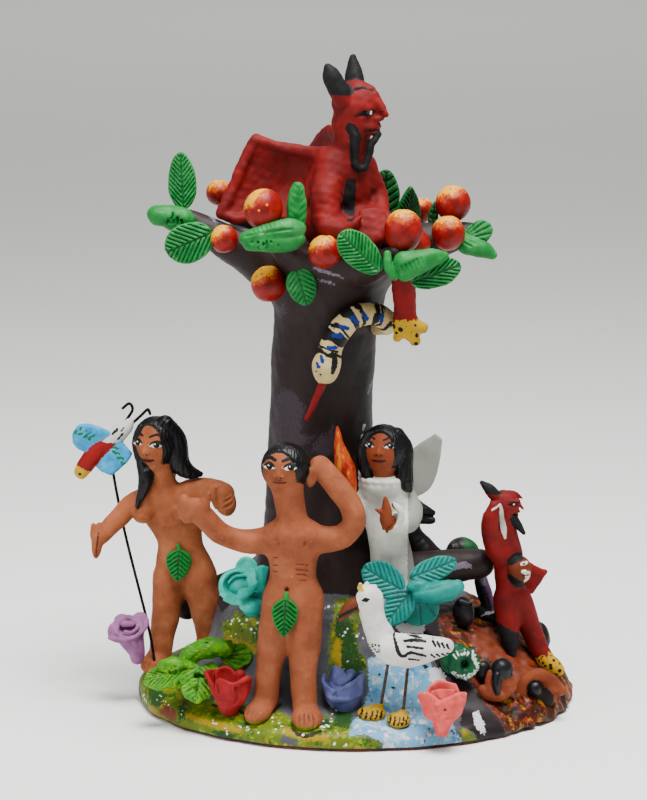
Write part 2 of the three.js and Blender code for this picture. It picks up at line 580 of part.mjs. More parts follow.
piece('leaf_cluster_turquoise', COLOUR.turquoise, turquoiseLeaves, 0.55);
piece('leaf_cluster_green', COLOUR.lime, greenLeaves);

piece('dark_dog', COLOUR.black, darkDog);
piece('dark_head_behind_root', COLOUR.black, (grow) => blob([45, 1, 61.4], [7.6, 5.8, 7.4], grow));
piece('dark_head_under_root', COLOUR.black, (grow) => blob([46, -18, 41.5], [4.8, 4.8, 7], grow));
piece('dark_figure_by_root', COLOUR.black, (grow) => limb([[52.6, 0, 50, 3.4], [55, -3, 44, 4.4],
  [60, -5, 36, 4.6]], grow));
piece('dark_head_behind_leg', COLOUR.black, (grow) => blob([78.6, -3, 27], [4, 4.2, 6.4], grow, [0, -16, 0]));
piece('dark_head_low', COLOUR.black, (grow) => blob([52, -42, 23.6], [3.6, 3.6, 4.4], grow));
piece('crouching_figure', COLOUR.skinDark, crouchingFigure);
piece('arched_figure', COLOUR.skinDark, archedFigure);
piece('ring_coil', COLOUR.leaf, ringCoil);

const fruits = [
  [-57.4, 5, 216, 5.5], [-38.3, -38, 215.6, 8.2], [-54.4, -21.6, 200.8, 5.8], [-36.5, -24, 182.6, 7.4],
  [-13.4, -36, 198, 6.9], [18, -40, 207.8, 8.1], [24, -22, 199.4, 5.8], [37, -18, 202.6, 7],
  [39.6, -4, 213, 7.5], [27.4, 14, 207.6, 5.1],
];
fruits.forEach(([x, y, z, r], i) => {
  piece(`fruit_${i + 1}`, COLOUR.apple, (grow) => blob([x, y, z], [r, r, r], grow, [0, 20 * i, 0]));
});

const crownLeaves = [
  { base: [-71.4, -8.6, 210.4], tip: [-72, -8, 233.5], width: 13.5 },
  { base: [-62.5, -14, 206.6], tip: [-84.8, -12, 208.6], width: 11.5, face: [0, -0.7, 0.71], fold: 0.3, thick: 3.4 },
  { base: [-57, -22, 201.4], tip: [-78.4, -22, 197.4], width: 17.5 },
  { base: [-22.6, -41, 207], tip: [-47.5, -44, 201.6], width: 12, face: [0, -0.5, 0.86], fold: 0.4, thick: 3 },
  { base: [-25, -38, 206], tip: [-23.6, -37, 226.3], width: 9.6, face: [0.4, -0.9, 0], thick: 3.6 },
  { base: [-24.8, -30, 189.6], tip: [-20.4, -31, 175.2], width: 12 },
  { base: [9.4, -45, 190.6], tip: [-7, -46, 208], width: 15 },
  { base: [12, -48, 190], tip: [30.4, -46, 199.8], width: 12, face: [0.3, -0.7, 0.65], fold: 0.3, thick: 3 },
  { base: [20, -45.6, 187.4], tip: [41, -46, 195.7], width: 13 },
  { base: [9, 13, 198], tip: [14.8, 12, 224], width: 12.6 },
  { base: [19.6, 7, 196], tip: [21.4, 2, 219], width: 12, face: [0.5, -0.85, 0] },
  { base: [42, -14, 197.6], tip: [57, -13, 192.2], width: 9.6, thick: 3.6 },
  { base: [44, -12.6, 200.4], tip: [55.4, -11, 204.4], width: 9.6, thick: 3, face: [0, -0.7, 0.7] },
  { base: [30, -1, 200.6], tip: [31.6, 0, 214], width: 6.4 },
];
crownLeaves.forEach((blade, i) => {
  piece(`crown_leaf_${i + 1}`, COLOUR.leaf, (grow) => leaf(blade, grow));
});

// Cut each piece clear of the earlier ones that its box meets, and keep its largest body
function boxesMeet(a, b) {
  return a.min.every((low, k) => low <= b.max[k]) && b.min.every((low, k) => low <= a.max[k]);
}

function largestBody(solid) {
  const bodies = solid.decompose();
  return bodies.reduce((best, next) => (next.volume() > best.volume() ? next : best));
}

function toMesh({ name, colour, roughness }, solid) {
  const { vertProperties, triVerts } = solid.getMesh();
  const geometry = meshGeometry(Array.from(vertProperties), Array.from(triVerts));
  geometry.computeVertexNormals();
  const metalness = colour === COLOUR.wire ? 0.6 : 0;
  const mesh = new THREE.Mesh(geometry, new THREE.MeshStandardMaterial({ color: colour, roughness, metalness }));
  mesh.name = name;
  return mesh;
}

const asSolid = (shape) => (shape.isBufferGeometry ? toSolid(shape) : shape);
const group = new THREE.Group();
const placed = [];
for (const item of pieces) {
  let solid = asSolid(item.make(0));
  for (const earlier of placed) {
    if (boxesMeet(solid.boundingBox(), earlier.box)) {
      solid = solid.subtract(earlier.grown);
    }
  }
  solid = largestBody(solid);
  const grown = asSolid(item.make(GAP));
  placed.push({ grown, box: grown.boundingBox() });
  group.add(toMesh(item, solid));
}

export default group;
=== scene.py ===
# A painted clay figure group: a tree on a flowered mound, with small modelled figures around it.
# Shapes are worked out in millimetres in the frame's axes, and turned to metres when a mesh is made.

import math

import bpy
import numpy as np
import openvdb as vdb
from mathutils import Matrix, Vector


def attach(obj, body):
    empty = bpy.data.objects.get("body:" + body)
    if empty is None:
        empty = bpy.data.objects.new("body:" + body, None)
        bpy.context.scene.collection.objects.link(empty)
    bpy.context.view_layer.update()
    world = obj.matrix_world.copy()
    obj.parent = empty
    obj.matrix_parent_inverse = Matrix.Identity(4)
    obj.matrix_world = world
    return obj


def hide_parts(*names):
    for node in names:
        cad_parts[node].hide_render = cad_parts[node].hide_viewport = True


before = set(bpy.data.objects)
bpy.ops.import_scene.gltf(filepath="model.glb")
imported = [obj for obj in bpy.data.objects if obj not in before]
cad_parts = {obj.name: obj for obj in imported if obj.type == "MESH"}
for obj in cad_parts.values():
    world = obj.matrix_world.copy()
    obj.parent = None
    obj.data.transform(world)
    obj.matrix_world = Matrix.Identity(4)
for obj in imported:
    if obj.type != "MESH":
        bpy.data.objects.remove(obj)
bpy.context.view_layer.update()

MM = 0.001

# Driving dimensions, in millimetres: the mound's oval foot, the trunk and the top of the crown
BASE_RX, BASE_RY, BASE_Y = 93.0, 76.6, -2.0
TRUNK_X, TRUNK_Y, TRUNK_R = -14.0, 0.0, 22.0
CROWN_Z = 198.0
WIRE_R = 0.65

# The camera of the front view: a long lens that looks down a little on the group's middle
PHOTO_HEIGHT_PX = 800
SENSOR_MM = 36.0
CAMERA_TARGET = Vector((-14.0, 0.0, 129.0)) * MM
CAMERA_DISTANCE = 1300.0
CAMERA_ELEVATION = math.radians(12.0)
MM_PER_PX = 0.42


def add_object(name, data):
    made = bpy.data.objects.new(name, data)
    bpy.context.scene.collection.objects.link(made)
    return made


def add_camera():
    data = bpy.data.cameras.new("camera")
    data.sensor_width = SENSOR_MM
    data.lens = SENSOR_MM * CAMERA_DISTANCE / (MM_PER_PX * PHOTO_HEIGHT_PX)
    data.clip_start = 0.05
    data.clip_end = 20.0
    camera = add_object("camera", data)
    back = Vector((0.0, -math.cos(CAMERA_ELEVATION), math.sin(CAMERA_ELEVATION)))
    camera.location = CAMERA_TARGET + back * CAMERA_DISTANCE * MM
    camera.rotation_euler = back.to_track_quat("Z", "Y").to_euler()
    bpy.context.scene.camera = camera


# Distances are kept up to this many millimetres from a surface, and from the edge of a painted patch.
REACH = 6.0
PAINT_REACH = 3.0

# The modelled pieces. Their meshes are thinned out to stay below a million triangles in all, but not
# within PAINT_EDGE millimetres of the edge of a painted patch.
PIECES = []
SHARE_OF_TRIANGLES = 0.58
PAINT_EDGE = 0.5


# Shapes. Each one answers how far points are from its surface in millimetres, less than 0 inside.


def soft_min(a, b, fillet):
    """The lower of two distances, with a fillet of about that many millimetres where they meet."""
    h = np.clip(0.5 + 0.5 * (b - a) / fillet, 0.0, 1.0)
    return b + (a - b) * h - fillet * h * (1.0 - h)


def soft_max(a, b, fillet):
    """The higher of two distances, with the same kind of fillet."""
    return -soft_min(-a, -b, fillet)


def smoothstep(low, high, value):
    t = np.clip((value - low) / (high - low), 0.0, 1.0)
    return t * t * (3.0 - 2.0 * t)


def ripple(where, size, seed, waves=7):
    """A smooth uneven field between about -1 and 1, with swells about size millimetres apart."""
    rng = np.random.default_rng(seed)
    total = 0.0
    for _ in range(waves):
        way = rng.normal(size=3)
        way *= 2.0 * math.pi / (size * rng.uniform(0.75, 1.5) * np.linalg.norm(way))
        total = total + np.sin(sum(w * k for w, k in zip(where, way)) + rng.uniform(0.0, 6.3))
    return total / (0.9 * math.sqrt(waves))


def curve_through(points, parts):
    """A smooth curve through points, cut into parts(gap) lengths from each point to the next."""
    p = np.array(points, float)
    ends = np.vstack([2 * p[0] - p[1], p, 2 * p[-1] - p[-2]])
    found = []
    for a, b, c, d in zip(ends, ends[1:], ends[2:], ends[3:]):
        count = parts(c - b)
        for t in np.arange(count) / count:
            bend = (2 * a - 5 * b + 4 * c - d) * t**2 + (3 * b - a - 3 * c + d) * t**3
            found.append(0.5 * (2 * b + (c - a) * t + bend))
    return np.array(found + [p[-1]])


def smooth_path(points, step=2.5):
    """A curve through [x, y, z, radius] points, cut into lengths of about step millimetres."""
    return curve_through(points, lambda gap: max(1, int(np.linalg.norm(gap[:3]) / step)))


def turn_matrix(degrees):
    """Turns about x, y and z, multiplied in that order as in the solids."""
    x, y, z = (math.radians(a) for a in degrees)
    rx = np.array([[1, 0, 0], [0, math.cos(x), -math.sin(x)], [0, math.sin(x), math.cos(x)]])
    ry = np.array([[math.cos(y), 0, math.sin(y)], [0, 1, 0], [-math.sin(y), 0, math.cos(y)]])
    rz = np.array([[math.cos(z), -math.sin(z), 0], [math.sin(z), math.cos(z), 0], [0, 0, 1]])
    return rx @ ry @ rz


class Oval:
    """An egg of clay with half sizes [x, y, z], turned by [x, y, z] degrees."""

    def __init__(self, centre, half, turn=(0, 0, 0)):
        self.centre = np.array(centre, float)
        self.half = np.array(half, float)
        self.turn = turn if isinstance(turn, np.ndarray) else turn_matrix(turn)
        reach = np.abs(self.turn) @ self.half
        self.box = (self.centre - reach, self.centre + reach)

    def distance(self, where):
        rel = [w - c for w, c in zip(where, self.centre)]
        local = [sum(self.turn[r][k] * rel[r] for r in range(3)) for k in range(3)]
        near = np.sqrt(sum((v / h) ** 2 for v, h in zip(local, self.half)))
        slope = np.sqrt(sum((v / h**2) ** 2 for v, h in zip(local, self.half)))
        return near * (near - 1.0) / np.maximum(slope, 1e-4)


class Lump(Oval):
    """An egg with axes of its own: u to the right as seen from in front of it, v up, w ahead.

    It faces the front, -Y, turned by heading towards +X and by nod upwards, in degrees.
    """

    def __init__(self, centre, half, heading=0.0, nod=0.0):
        h, n = math.radians(heading), math.radians(nod)
        self.right = np.array([math.cos(h), math.sin(h), 0.0])
        self.ahead = np.array([math.sin(h) * math.cos(n), -math.cos(h) * math.cos(n), math.sin(n)])
        self.up = np.cross(self.ahead, self.right)
        super().__init__(centre, half, np.stack([self.right, self.ahead, self.up], axis=1))

    def local(self, where):
        rel = [w - c for w, c in zip(where, self.centre)]
        return [sum(r * k for r, k in zip(rel, axis)) for axis in (self.right, self.up, self.ahead)]

    def at(self, u, v, w):
        return self.centre + u * self.right + v * self.up + w * self.ahead

    def front(self, u, v, lift=0.0):
        """A point of the egg's front, lifted off it."""
        share = max(1.0 - (u / self.half[0]) ** 2 - (v / self.half[2]) ** 2, 0.0)
        return self.at(u, v, self.half[1] * math.sqrt(share) + lift)

    def top(self, u, w, lift=0.0):
        """A point of the egg's upper side, lifted off it."""
        share = max(1.0 - (u / self.half[0]) ** 2 - (w / self.half[1]) ** 2, 0.0)
        return self.at(u, self.half[2] * math.sqrt(share) + lift, w)

    def ridge(self, points):
        """A roll over the front, through [u, v, lift, radius] points."""
        return Roll([[*self.front(u, v, lift), r] for u, v, lift, r in points], 1.0)

    def oval(self, u, v, w, half):
        return Oval(self.at(u, v, w), half, self.turn)

    def knob(self, u, v, lift, half):
        """A small egg on the front, with this one's axes."""
        return Oval(self.front(u, v, lift), half, self.turn)


class Without:
    """A shape with others taken away, such as hair with an opening for the face."""

    def __init__(self, shape, *holes, fillet=0.8):
        self.shape, self.holes, self.fillet = shape, holes, fillet
        self.box = shape.box

    def distance(self, where):
        found = self.shape.distance(where)
        for hole in self.holes:
            found = soft_max(found, -hole.distance(where), self.fillet)
        return found


class Combed:
    """Hair with strands that run down from its crown, with so many grooves all the way round."""

    def __init__(self, shape, crown, grooves, depth):
        self.shape, self.crown, self.grooves, self.depth = shape, crown, grooves, depth
        self.box = shape.box

    def distance(self, where):
        x, y, z = where
        angle = np.arctan2(y - self.crown[1], x - self.crown[0]) + 0.1 * np.sin(0.45 * z)
        strand = np.abs(np.sin(0.5 * self.grooves * angle))
        return self.shape.distance(where) + self.depth * (1.0 - strand) ** 2


class Roll:
    """A rolled length of clay through [x, y, z, radius] points, with round ends."""

    def __init__(self, points, step=2.5):
        self.path = smooth_path(points, step)
        centres, radii = self.path[:, :3], self.path[:, 3:]
        self.box = ((centres - radii).min(axis=0), (centres + radii).max(axis=0))

    def segments(self, where):
        """For each straight part: its ends, the share of it that is nearest, and the square of the gap."""
        for a, b in zip(self.path, self.path[1:]):
            way = (b - a)[:3]
            rel = [w - c for w, c in zip(where, a)]
            t = np.clip(sum(r * k for r, k in zip(rel, way)) / max(way @ way, 1e-9), 0.0, 1.0)
            yield a, b, t, sum((r - t * k) ** 2 for r, k in zip(rel, way))

    def distance(self, where):
        found = None
        for a, b, t, square in self.segments(where):
            gap = np.sqrt(square) - (a[3] + t * (b[3] - a[3]))
            found = gap if found is None else np.minimum(found, gap)
        return found

    def along(self, where):
        """How far along the roll the nearest point of its middle lies, in millimetres."""
        best, found, start = np.inf, 0.0, 0.0
        for a, b, t, square in self.segments(where):
            length = np.linalg.norm((b - a)[:3])
            found = np.where(square < best, start + t * length, found)
            best = np.minimum(best, square)
            start += length
        return found


class Stack:
    """A body of level oval sections, each [height, x, y, half width, half depth]."""

    def __init__(self, levels, rounding=5.0):
        self.levels = np.array(levels, float)
        self.rounding = rounding
        z, x, y, wide, deep = self.levels.T
        self.box = (np.array([(x - wide).min() - 1, (y - deep).min() - 1, z.min() - 1]),
                    np.array([(x + wide).max() + 1, (y + deep).max() + 1, z.max() + 1]))

    def section(self, z):
        """The oval's centre and half sizes at each height, eased between the levels."""
        heights = self.levels[:, 0]
        k = np.clip(np.searchsorted(heights, z) - 1, 0, len(heights) - 2)
        span = heights[k + 1] - heights[k]
        t = np.clip((z - heights[k]) / span, 0.0, 1.0)
        slopes = np.gradient(self.levels[:, 1:], heights, axis=0)
        for row in range(4):
            v, s = self.levels[:, 1 + row], slopes[:, row]
            yield ((2 * t**3 - 3 * t**2 + 1) * v[k] + (t**3 - 2 * t**2 + t) * span * s[k]
                   + (3 * t**2 - 2 * t**3) * v[k + 1] + (t**3 - t**2) * span * s[k + 1])

    def front(self, x, z, lift=0.0):
        """A point of the front side at x and z, lifted off it."""
        cx, cy, wide, deep = self.section(z)
        return [x, cy - deep * math.sqrt(max(1.0 - ((x - cx) / wide) ** 2, 0.0)) - lift, z]

    def line(self, points, lift=0.0):
        """A thin roll over the front side, through [x, z, radius] points."""
        return Roll([[*self.front(x, z, lift), r] for x, z, r in points], 0.8)

    def distance(self, where):
        x, y, z = where
        cx, cy, wide, deep = self.section(z)
        near = np.sqrt(((x - cx) / wide) ** 2 + ((y - cy) / deep) ** 2)
        slope = np.sqrt(((x - cx) / wide**2) ** 2 + ((y - cy) / deep**2) ** 2)
        side = near * (near - 1.0) / np.maximum(slope, 1e-4)
        caps = np.maximum(self.levels[0, 0] - z, z - self.levels[-1, 0])
        return soft_max(side, caps, self.rounding)


class Blade:
    """A pinched clay leaf from base to tip, with pressed veins on the side towards face."""

    def __init__(self, base, tip, width, thick=1.8, face=(0, -1, 0), fold=0.12, arch=0.0,
                 vein=1.9, press=0.45, belly=0.42, blunt=0.8, slope=0.85, fan=0.0):
        self.base = np.array(base, float)
        along = np.array(tip, float) - self.base
        self.length = np.linalg.norm(along)
        self.along = along / self.length
        across = np.cross(self.along, face)
        self.across = across / np.linalg.norm(across)
        self.out = np.cross(self.across, self.along)
        self.width, self.thick, self.fold, self.arch = width, thick, fold, arch
        self.vein, self.press, self.belly = vein, press, belly
        self.blunt, self.slope, self.fan = blunt, slope, fan
        ends = np.array([self.base, np.array(tip, float)])
        room = width / 2 + thick + abs(arch)
        self.box = (ends.min(axis=0) - room, ends.max(axis=0) + room)

    def local(self, where):
        rel = [w - c for w, c in zip(where, self.base)]
        return [sum(r * k for r, k in zip(rel, axis)) for axis in (self.along, self.across, self.out)]

    def half_width(self, t):
        """Half the outline's width at a share t of the length: widest at the belly."""
        rise = np.clip(t / self.belly, 0.0, 1.0)
        fall = np.clip((1.0 - t) / (1.0 - self.belly), 0.0, 1.0)
        lower = np.sqrt(np.maximum(1.0 - (1.0 - rise) ** 2, 0.0))
        upper = np.sin(0.5 * math.pi * fall) ** self.blunt
        return 0.5 * self.width * np.minimum(lower, upper)

    def groove(self, u, v):
        """Distance in the leaf's plane to the nearest pressed vein, slanted or spread like a fan."""
        if self.fan:
            turn = np.arctan2(v, u + 0.1 * self.length) / self.fan
            side = np.abs(turn - np.round(turn)) * self.fan * np.hypot(u, v)
        else:
            slant = (u - np.abs(v) * self.slope) / self.vein
            side = np.abs(slant - np.round(slant)) * self.vein / math.hypot(1.0, self.slope)
        rim = self.half_width(u / self.length) - np.abs(v)
        side = side + np.clip(0.9 - rim, 0.0, 1.0)
        return np.minimum(side, np.abs(v) * 0.8)

    def distance(self, where):
        u, v, w = self.local(where)
        t = u / self.length
        half = self.half_width(t)
        lift = self.arch * np.sin(math.pi * np.clip(t, 0.0, 1.0)) - self.fold * np.abs(v)
        pressed = self.press * smoothstep(0.55, 0.1, self.groove(u, v)) * (w > lift)
        plan = np.maximum((np.abs(v) - half) * 0.85, np.maximum(-u, u - self.length))
        face = np.abs(w - lift) - self.thick / 2 + pressed
        edge = self.thick * 0.42
        outside = np.sqrt(np.maximum(plan + edge, 0.0) ** 2 + np.maximum(face + edge, 0.0) ** 2)
        return outside + np.minimum(np.maximum(plan, face) + edge, 0.0) - edge


class Sheet:
    """A thin slab of clay between two grids of points, each rows by columns by 3."""

    def __init__(self, front, back, rounding):
        self.rounding = rounding
        rows, columns = front.shape[:2]
        self.points = np.concatenate([front.reshape(-1, 3), back.reshape(-1, 3)])
        index = np.arange(rows * columns).reshape(rows, columns)
        a, b, c, d = index[:-1, :-1], index[1:, :-1], index[1:, 1:], index[:-1, 1:]
        far = rows * columns
        rim = np.concatenate([index[0, :-1], index[:-1, -1], index[-1, :0:-1], index[:0:-1, 0]])
        after = np.roll(rim, -1)
        self.quads = np.concatenate([
            np.stack([a, b, c, d], axis=-1).reshape(-1, 4),
            np.stack([a, d, c, b], axis=-1).reshape(-1, 4) + far,
            np.stack([rim, after, after + far, rim + far], axis=-1),
        ])
        self.box = (self.points.min(axis=0) - rounding, self.points.max(axis=0) + rounding)


def panel(rows, thick, rounding):
    """A sheet through rows of points, each row as long as the others, thick across and rounded off."""
    points = np.array([curve_through(row, lambda gap: 4) for row in rows])
    columns = [curve_through(column, lambda gap: 4) for column in points.transpose(1, 0, 2)]
    points = np.array(columns).transpose(1, 0, 2)
    along, over = np.gradient(points, axis=0), np.gradient(points, axis=1)
    way = np.cross(along, over)
    way /= np.maximum(np.linalg.norm(way, axis=-1, keepdims=True), 1e-9)
    half = max(thick / 2 - rounding, 0.05) * way
    return Sheet(points + half, points - half, rounding)


def shapes_of(given, step):
    """Every shape in what is given: a shape, the points of a roll, or a list of either."""
    if hasattr(given, "box"):
        return [given]
    if len(given) and not hasattr(given[0], "box") and np.isscalar(given[0][0]):
        return [Roll(given, step)]
    return [shape for part in given for shape in shapes_of(part, step)]


class Clay:
    """A lump of clay, held as its distances on a grid of cells."""

    def __init__(self, low, high, cell):
        self.cell = cell
        self.low = np.array(low, float)
        self.shape = [int(math.ceil((b - a) / cell)) + 1 for a, b in zip(low, high)]
        self.field = np.full(self.shape, REACH, np.float32)

    def around(self, shape, room):
        """The cells inside a shape's box, with room to spare, and where they are."""
        spans, axes = [], []
        for k in range(3):
            first = max(0, int((shape.box[0][k] - room - self.low[k]) / self.cell))
            last = min(self.shape[k], int((shape.box[1][k] + room - self.low[k]) / self.cell) + 2)
            spans.append(slice(first, last))
            axes.append((self.low[k] + self.cell * np.arange(first, last)).astype(np.float32))
        return tuple(spans), np.meshgrid(*axes, indexing="ij", sparse=True)

    def distances(self, shape, room):
        spans, where = self.around(shape, room)
        if not isinstance(shape, Sheet):
            return spans, shape.distance(where)
        start = np.array([s.start for s in spans])
        points = ((shape.points - self.low) / self.cell - start).astype(np.float32)
        grid = vdb.FloatGrid.createLevelSetFromPolygons(
            points, quads=shape.quads.astype(np.uint32), transform=vdb.createLinearTransform(1.0),
            halfWidth=max(3.0, room / self.cell))
        cells = np.zeros([s.stop - s.start for s in spans], np.float32)
        grid.copyToArray(cells)
        return spans, cells * self.cell - shape.rounding

    def add(self, given, fillet=1.5, step=2.5):
        for shape in shapes_of(given, step):
            spans, found = self.distances(shape, fillet + 2 * self.cell)
            self.field[spans] = soft_min(self.field[spans], found, fillet)

    def cut(self, given, fillet=0.4, step=2.5):
        for shape in shapes_of(given, step):
            spans, found = self.distances(shape, fillet + 2 * self.cell)
            self.field[spans] = soft_max(self.field[spans], -found, fillet)

    def knead(self, amount, size, seed, share=lambda x, y, z: 1.0):
        """Uneven hollows that fingers leave, never higher than the shape itself."""
        near = np.nonzero(np.abs(self.field) < 2.5)
        where = [low + self.cell * n for low, n in zip(self.low, near)]
        self.field[near] += amount * share(*where) * (1.0 + ripple(where, size, seed))

    def mesh(self, name):
        """A smooth-shaded mesh of this clay's surface, in metres."""
        grid = vdb.FloatGrid(REACH)
        grid.copyFromArray(np.clip(self.field, -REACH, REACH))
        points, quads = grid.convertToQuads(0.0)
        points = (points.astype(float) * self.cell + self.low) * MM
        mesh = bpy.data.meshes.new(name)
        mesh.vertices.add(len(points))
        mesh.vertices.foreach_set("co", points.ravel())
        mesh.loops.add(quads.size)
        mesh.loops.foreach_set("vertex_index", quads[:, ::-1].astype(np.int32).ravel())
        mesh.polygons.add(len(quads))
        mesh.polygons.foreach_set("loop_start", np.arange(0, quads.size, 4, dtype=np.int32))
        mesh.update(calc_edges=True)
        mesh.shade_smooth()
        return mesh

    def piece(self, name, slot, *nodes):
        """An object of this clay that stands in place of solids of the frame."""
        piece = add_object(name, self.mesh(name))
        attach(piece, "root")
        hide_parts(*nodes)
        PIECES.append(piece)
        return piece


def clay_for(shapes, room, cell):
    """Empty cells round some shapes, with room to spare."""
    low = np.min([shape.box[0] for shape in shapes], axis=0) - room
    high = np.max([shape.box[1] for shape in shapes], axis=0) + room
    return Clay(low, high, cell)


def places_in(mesh):
    """The places of a mesh's points in metres, as x, y and z in turn."""
    found = np.empty(len(mesh.vertices) * 3, np.float32)
    mesh.vertices.foreach_get("co", found)
    return found


def points_of(piece):
    """The x, y and z of a piece's points, in millimetres."""
    return list((places_in(piece.data).reshape(-1, 3) / MM).T)


def lay(piece, name, distance):
    """Keeps how far each point is from the edge of a painted patch, in millimetres, less than 0 inside."""
    kept = piece.data.attributes.new(name, "FLOAT", "POINT")
    kept.data.foreach_set("value", np.clip(distance, -PAINT_REACH, PAINT_REACH).astype(np.float32))


def nearest(shapes, where):
    """The distance to the nearest of several shapes."""
    found = shapes[0].distance(where)
    for shape in shapes[1:]:
        found = np.minimum(found, shape.distance(where))
    return found


def drawn(lines, across, up, shown=True):
    """The distance to brush lines of [across, up, radius] points, where shown is true."""
    flat = [across, np.zeros_like(across), up]
    routes = [[[a, 0.0, b, r] for a, b, r in (line if len(line) > 1 else line * 2)] for line in lines]
    found = nearest(shapes_of(routes, 0.8), flat)
    return np.where(shown, found, PAINT_REACH)


def stand_on_floor(mesh):
    """Lifts the points that lie a hair below the floor."""
    found = places_in(mesh)
    found[2::3] = np.maximum(found[2::3], 0.0)
    mesh.vertices.foreach_set("co", found)
    mesh.update()


def thin_out(piece):
    """Keeps all triangles where the paint has its edges, and fewer of them on plain clay."""
    mesh = piece.data
    gap = np.full(len(mesh.vertices), REACH)
    for paint in [a for a in mesh.attributes if a.domain == "POINT" and a.data_type == "FLOAT"]:
        found = np.empty(len(gap), np.float32)
        paint.data.foreach_get("value", found)
        gap = np.minimum(gap, np.abs(found))
    piece.vertex_groups.new(name="plain").add(np.flatnonzero(gap > PAINT_EDGE).tolist(), 1.0, "REPLACE")
    fewer = piece.modifiers.new("fewer", "DECIMATE")
    fewer.ratio = SHARE_OF_TRIANGLES
    fewer.vertex_group = "plain"
    view = bpy.context.evaluated_depsgraph_get()
    piece.data = bpy.data.meshes.new_from_object(piece.evaluated_get(view))
    piece.modifiers.clear()
    piece.vertex_groups.clear()
    stand_on_floor(piece.data)


# Paint and clay. Colours are sRGB hex values.

INK = "#030303"
EYE_WHITE = "#d5cec1"
GLINT = "#dfdbd0"
HAIR = "#060607"


def linear(hex_colour):
    parts = [int(hex_colour[k:k + 2], 16) / 255 for k in (1, 3, 5)]
    return [p / 12.92 if p <= 0.04045 else ((p + 0.055) / 1.055) ** 2.4 for p in parts] + [1.0]


def give(tree, socket, value):
    """Links another node's socket to this one, or sets this one's constant."""
    if isinstance(value, bpy.types.NodeSocket):
        tree.links.new(value, socket)
    else:
        socket.default_value = value


def node(tree, kind, links=None, **settings):
    """Adds a node, with settings of its own and values or other nodes' sockets for its inputs."""
    made = tree.nodes.new("ShaderNode" + kind)
    for name, value in settings.items():
        setattr(made, name, value)
    for socket, value in (links or {}).items():
        give(tree, made.inputs[socket], value)
    return made


def per_mm(size):
    """A texture's scale for features of about size millimetres, in coordinates of metres."""
    return 1.0 / (size * MM)


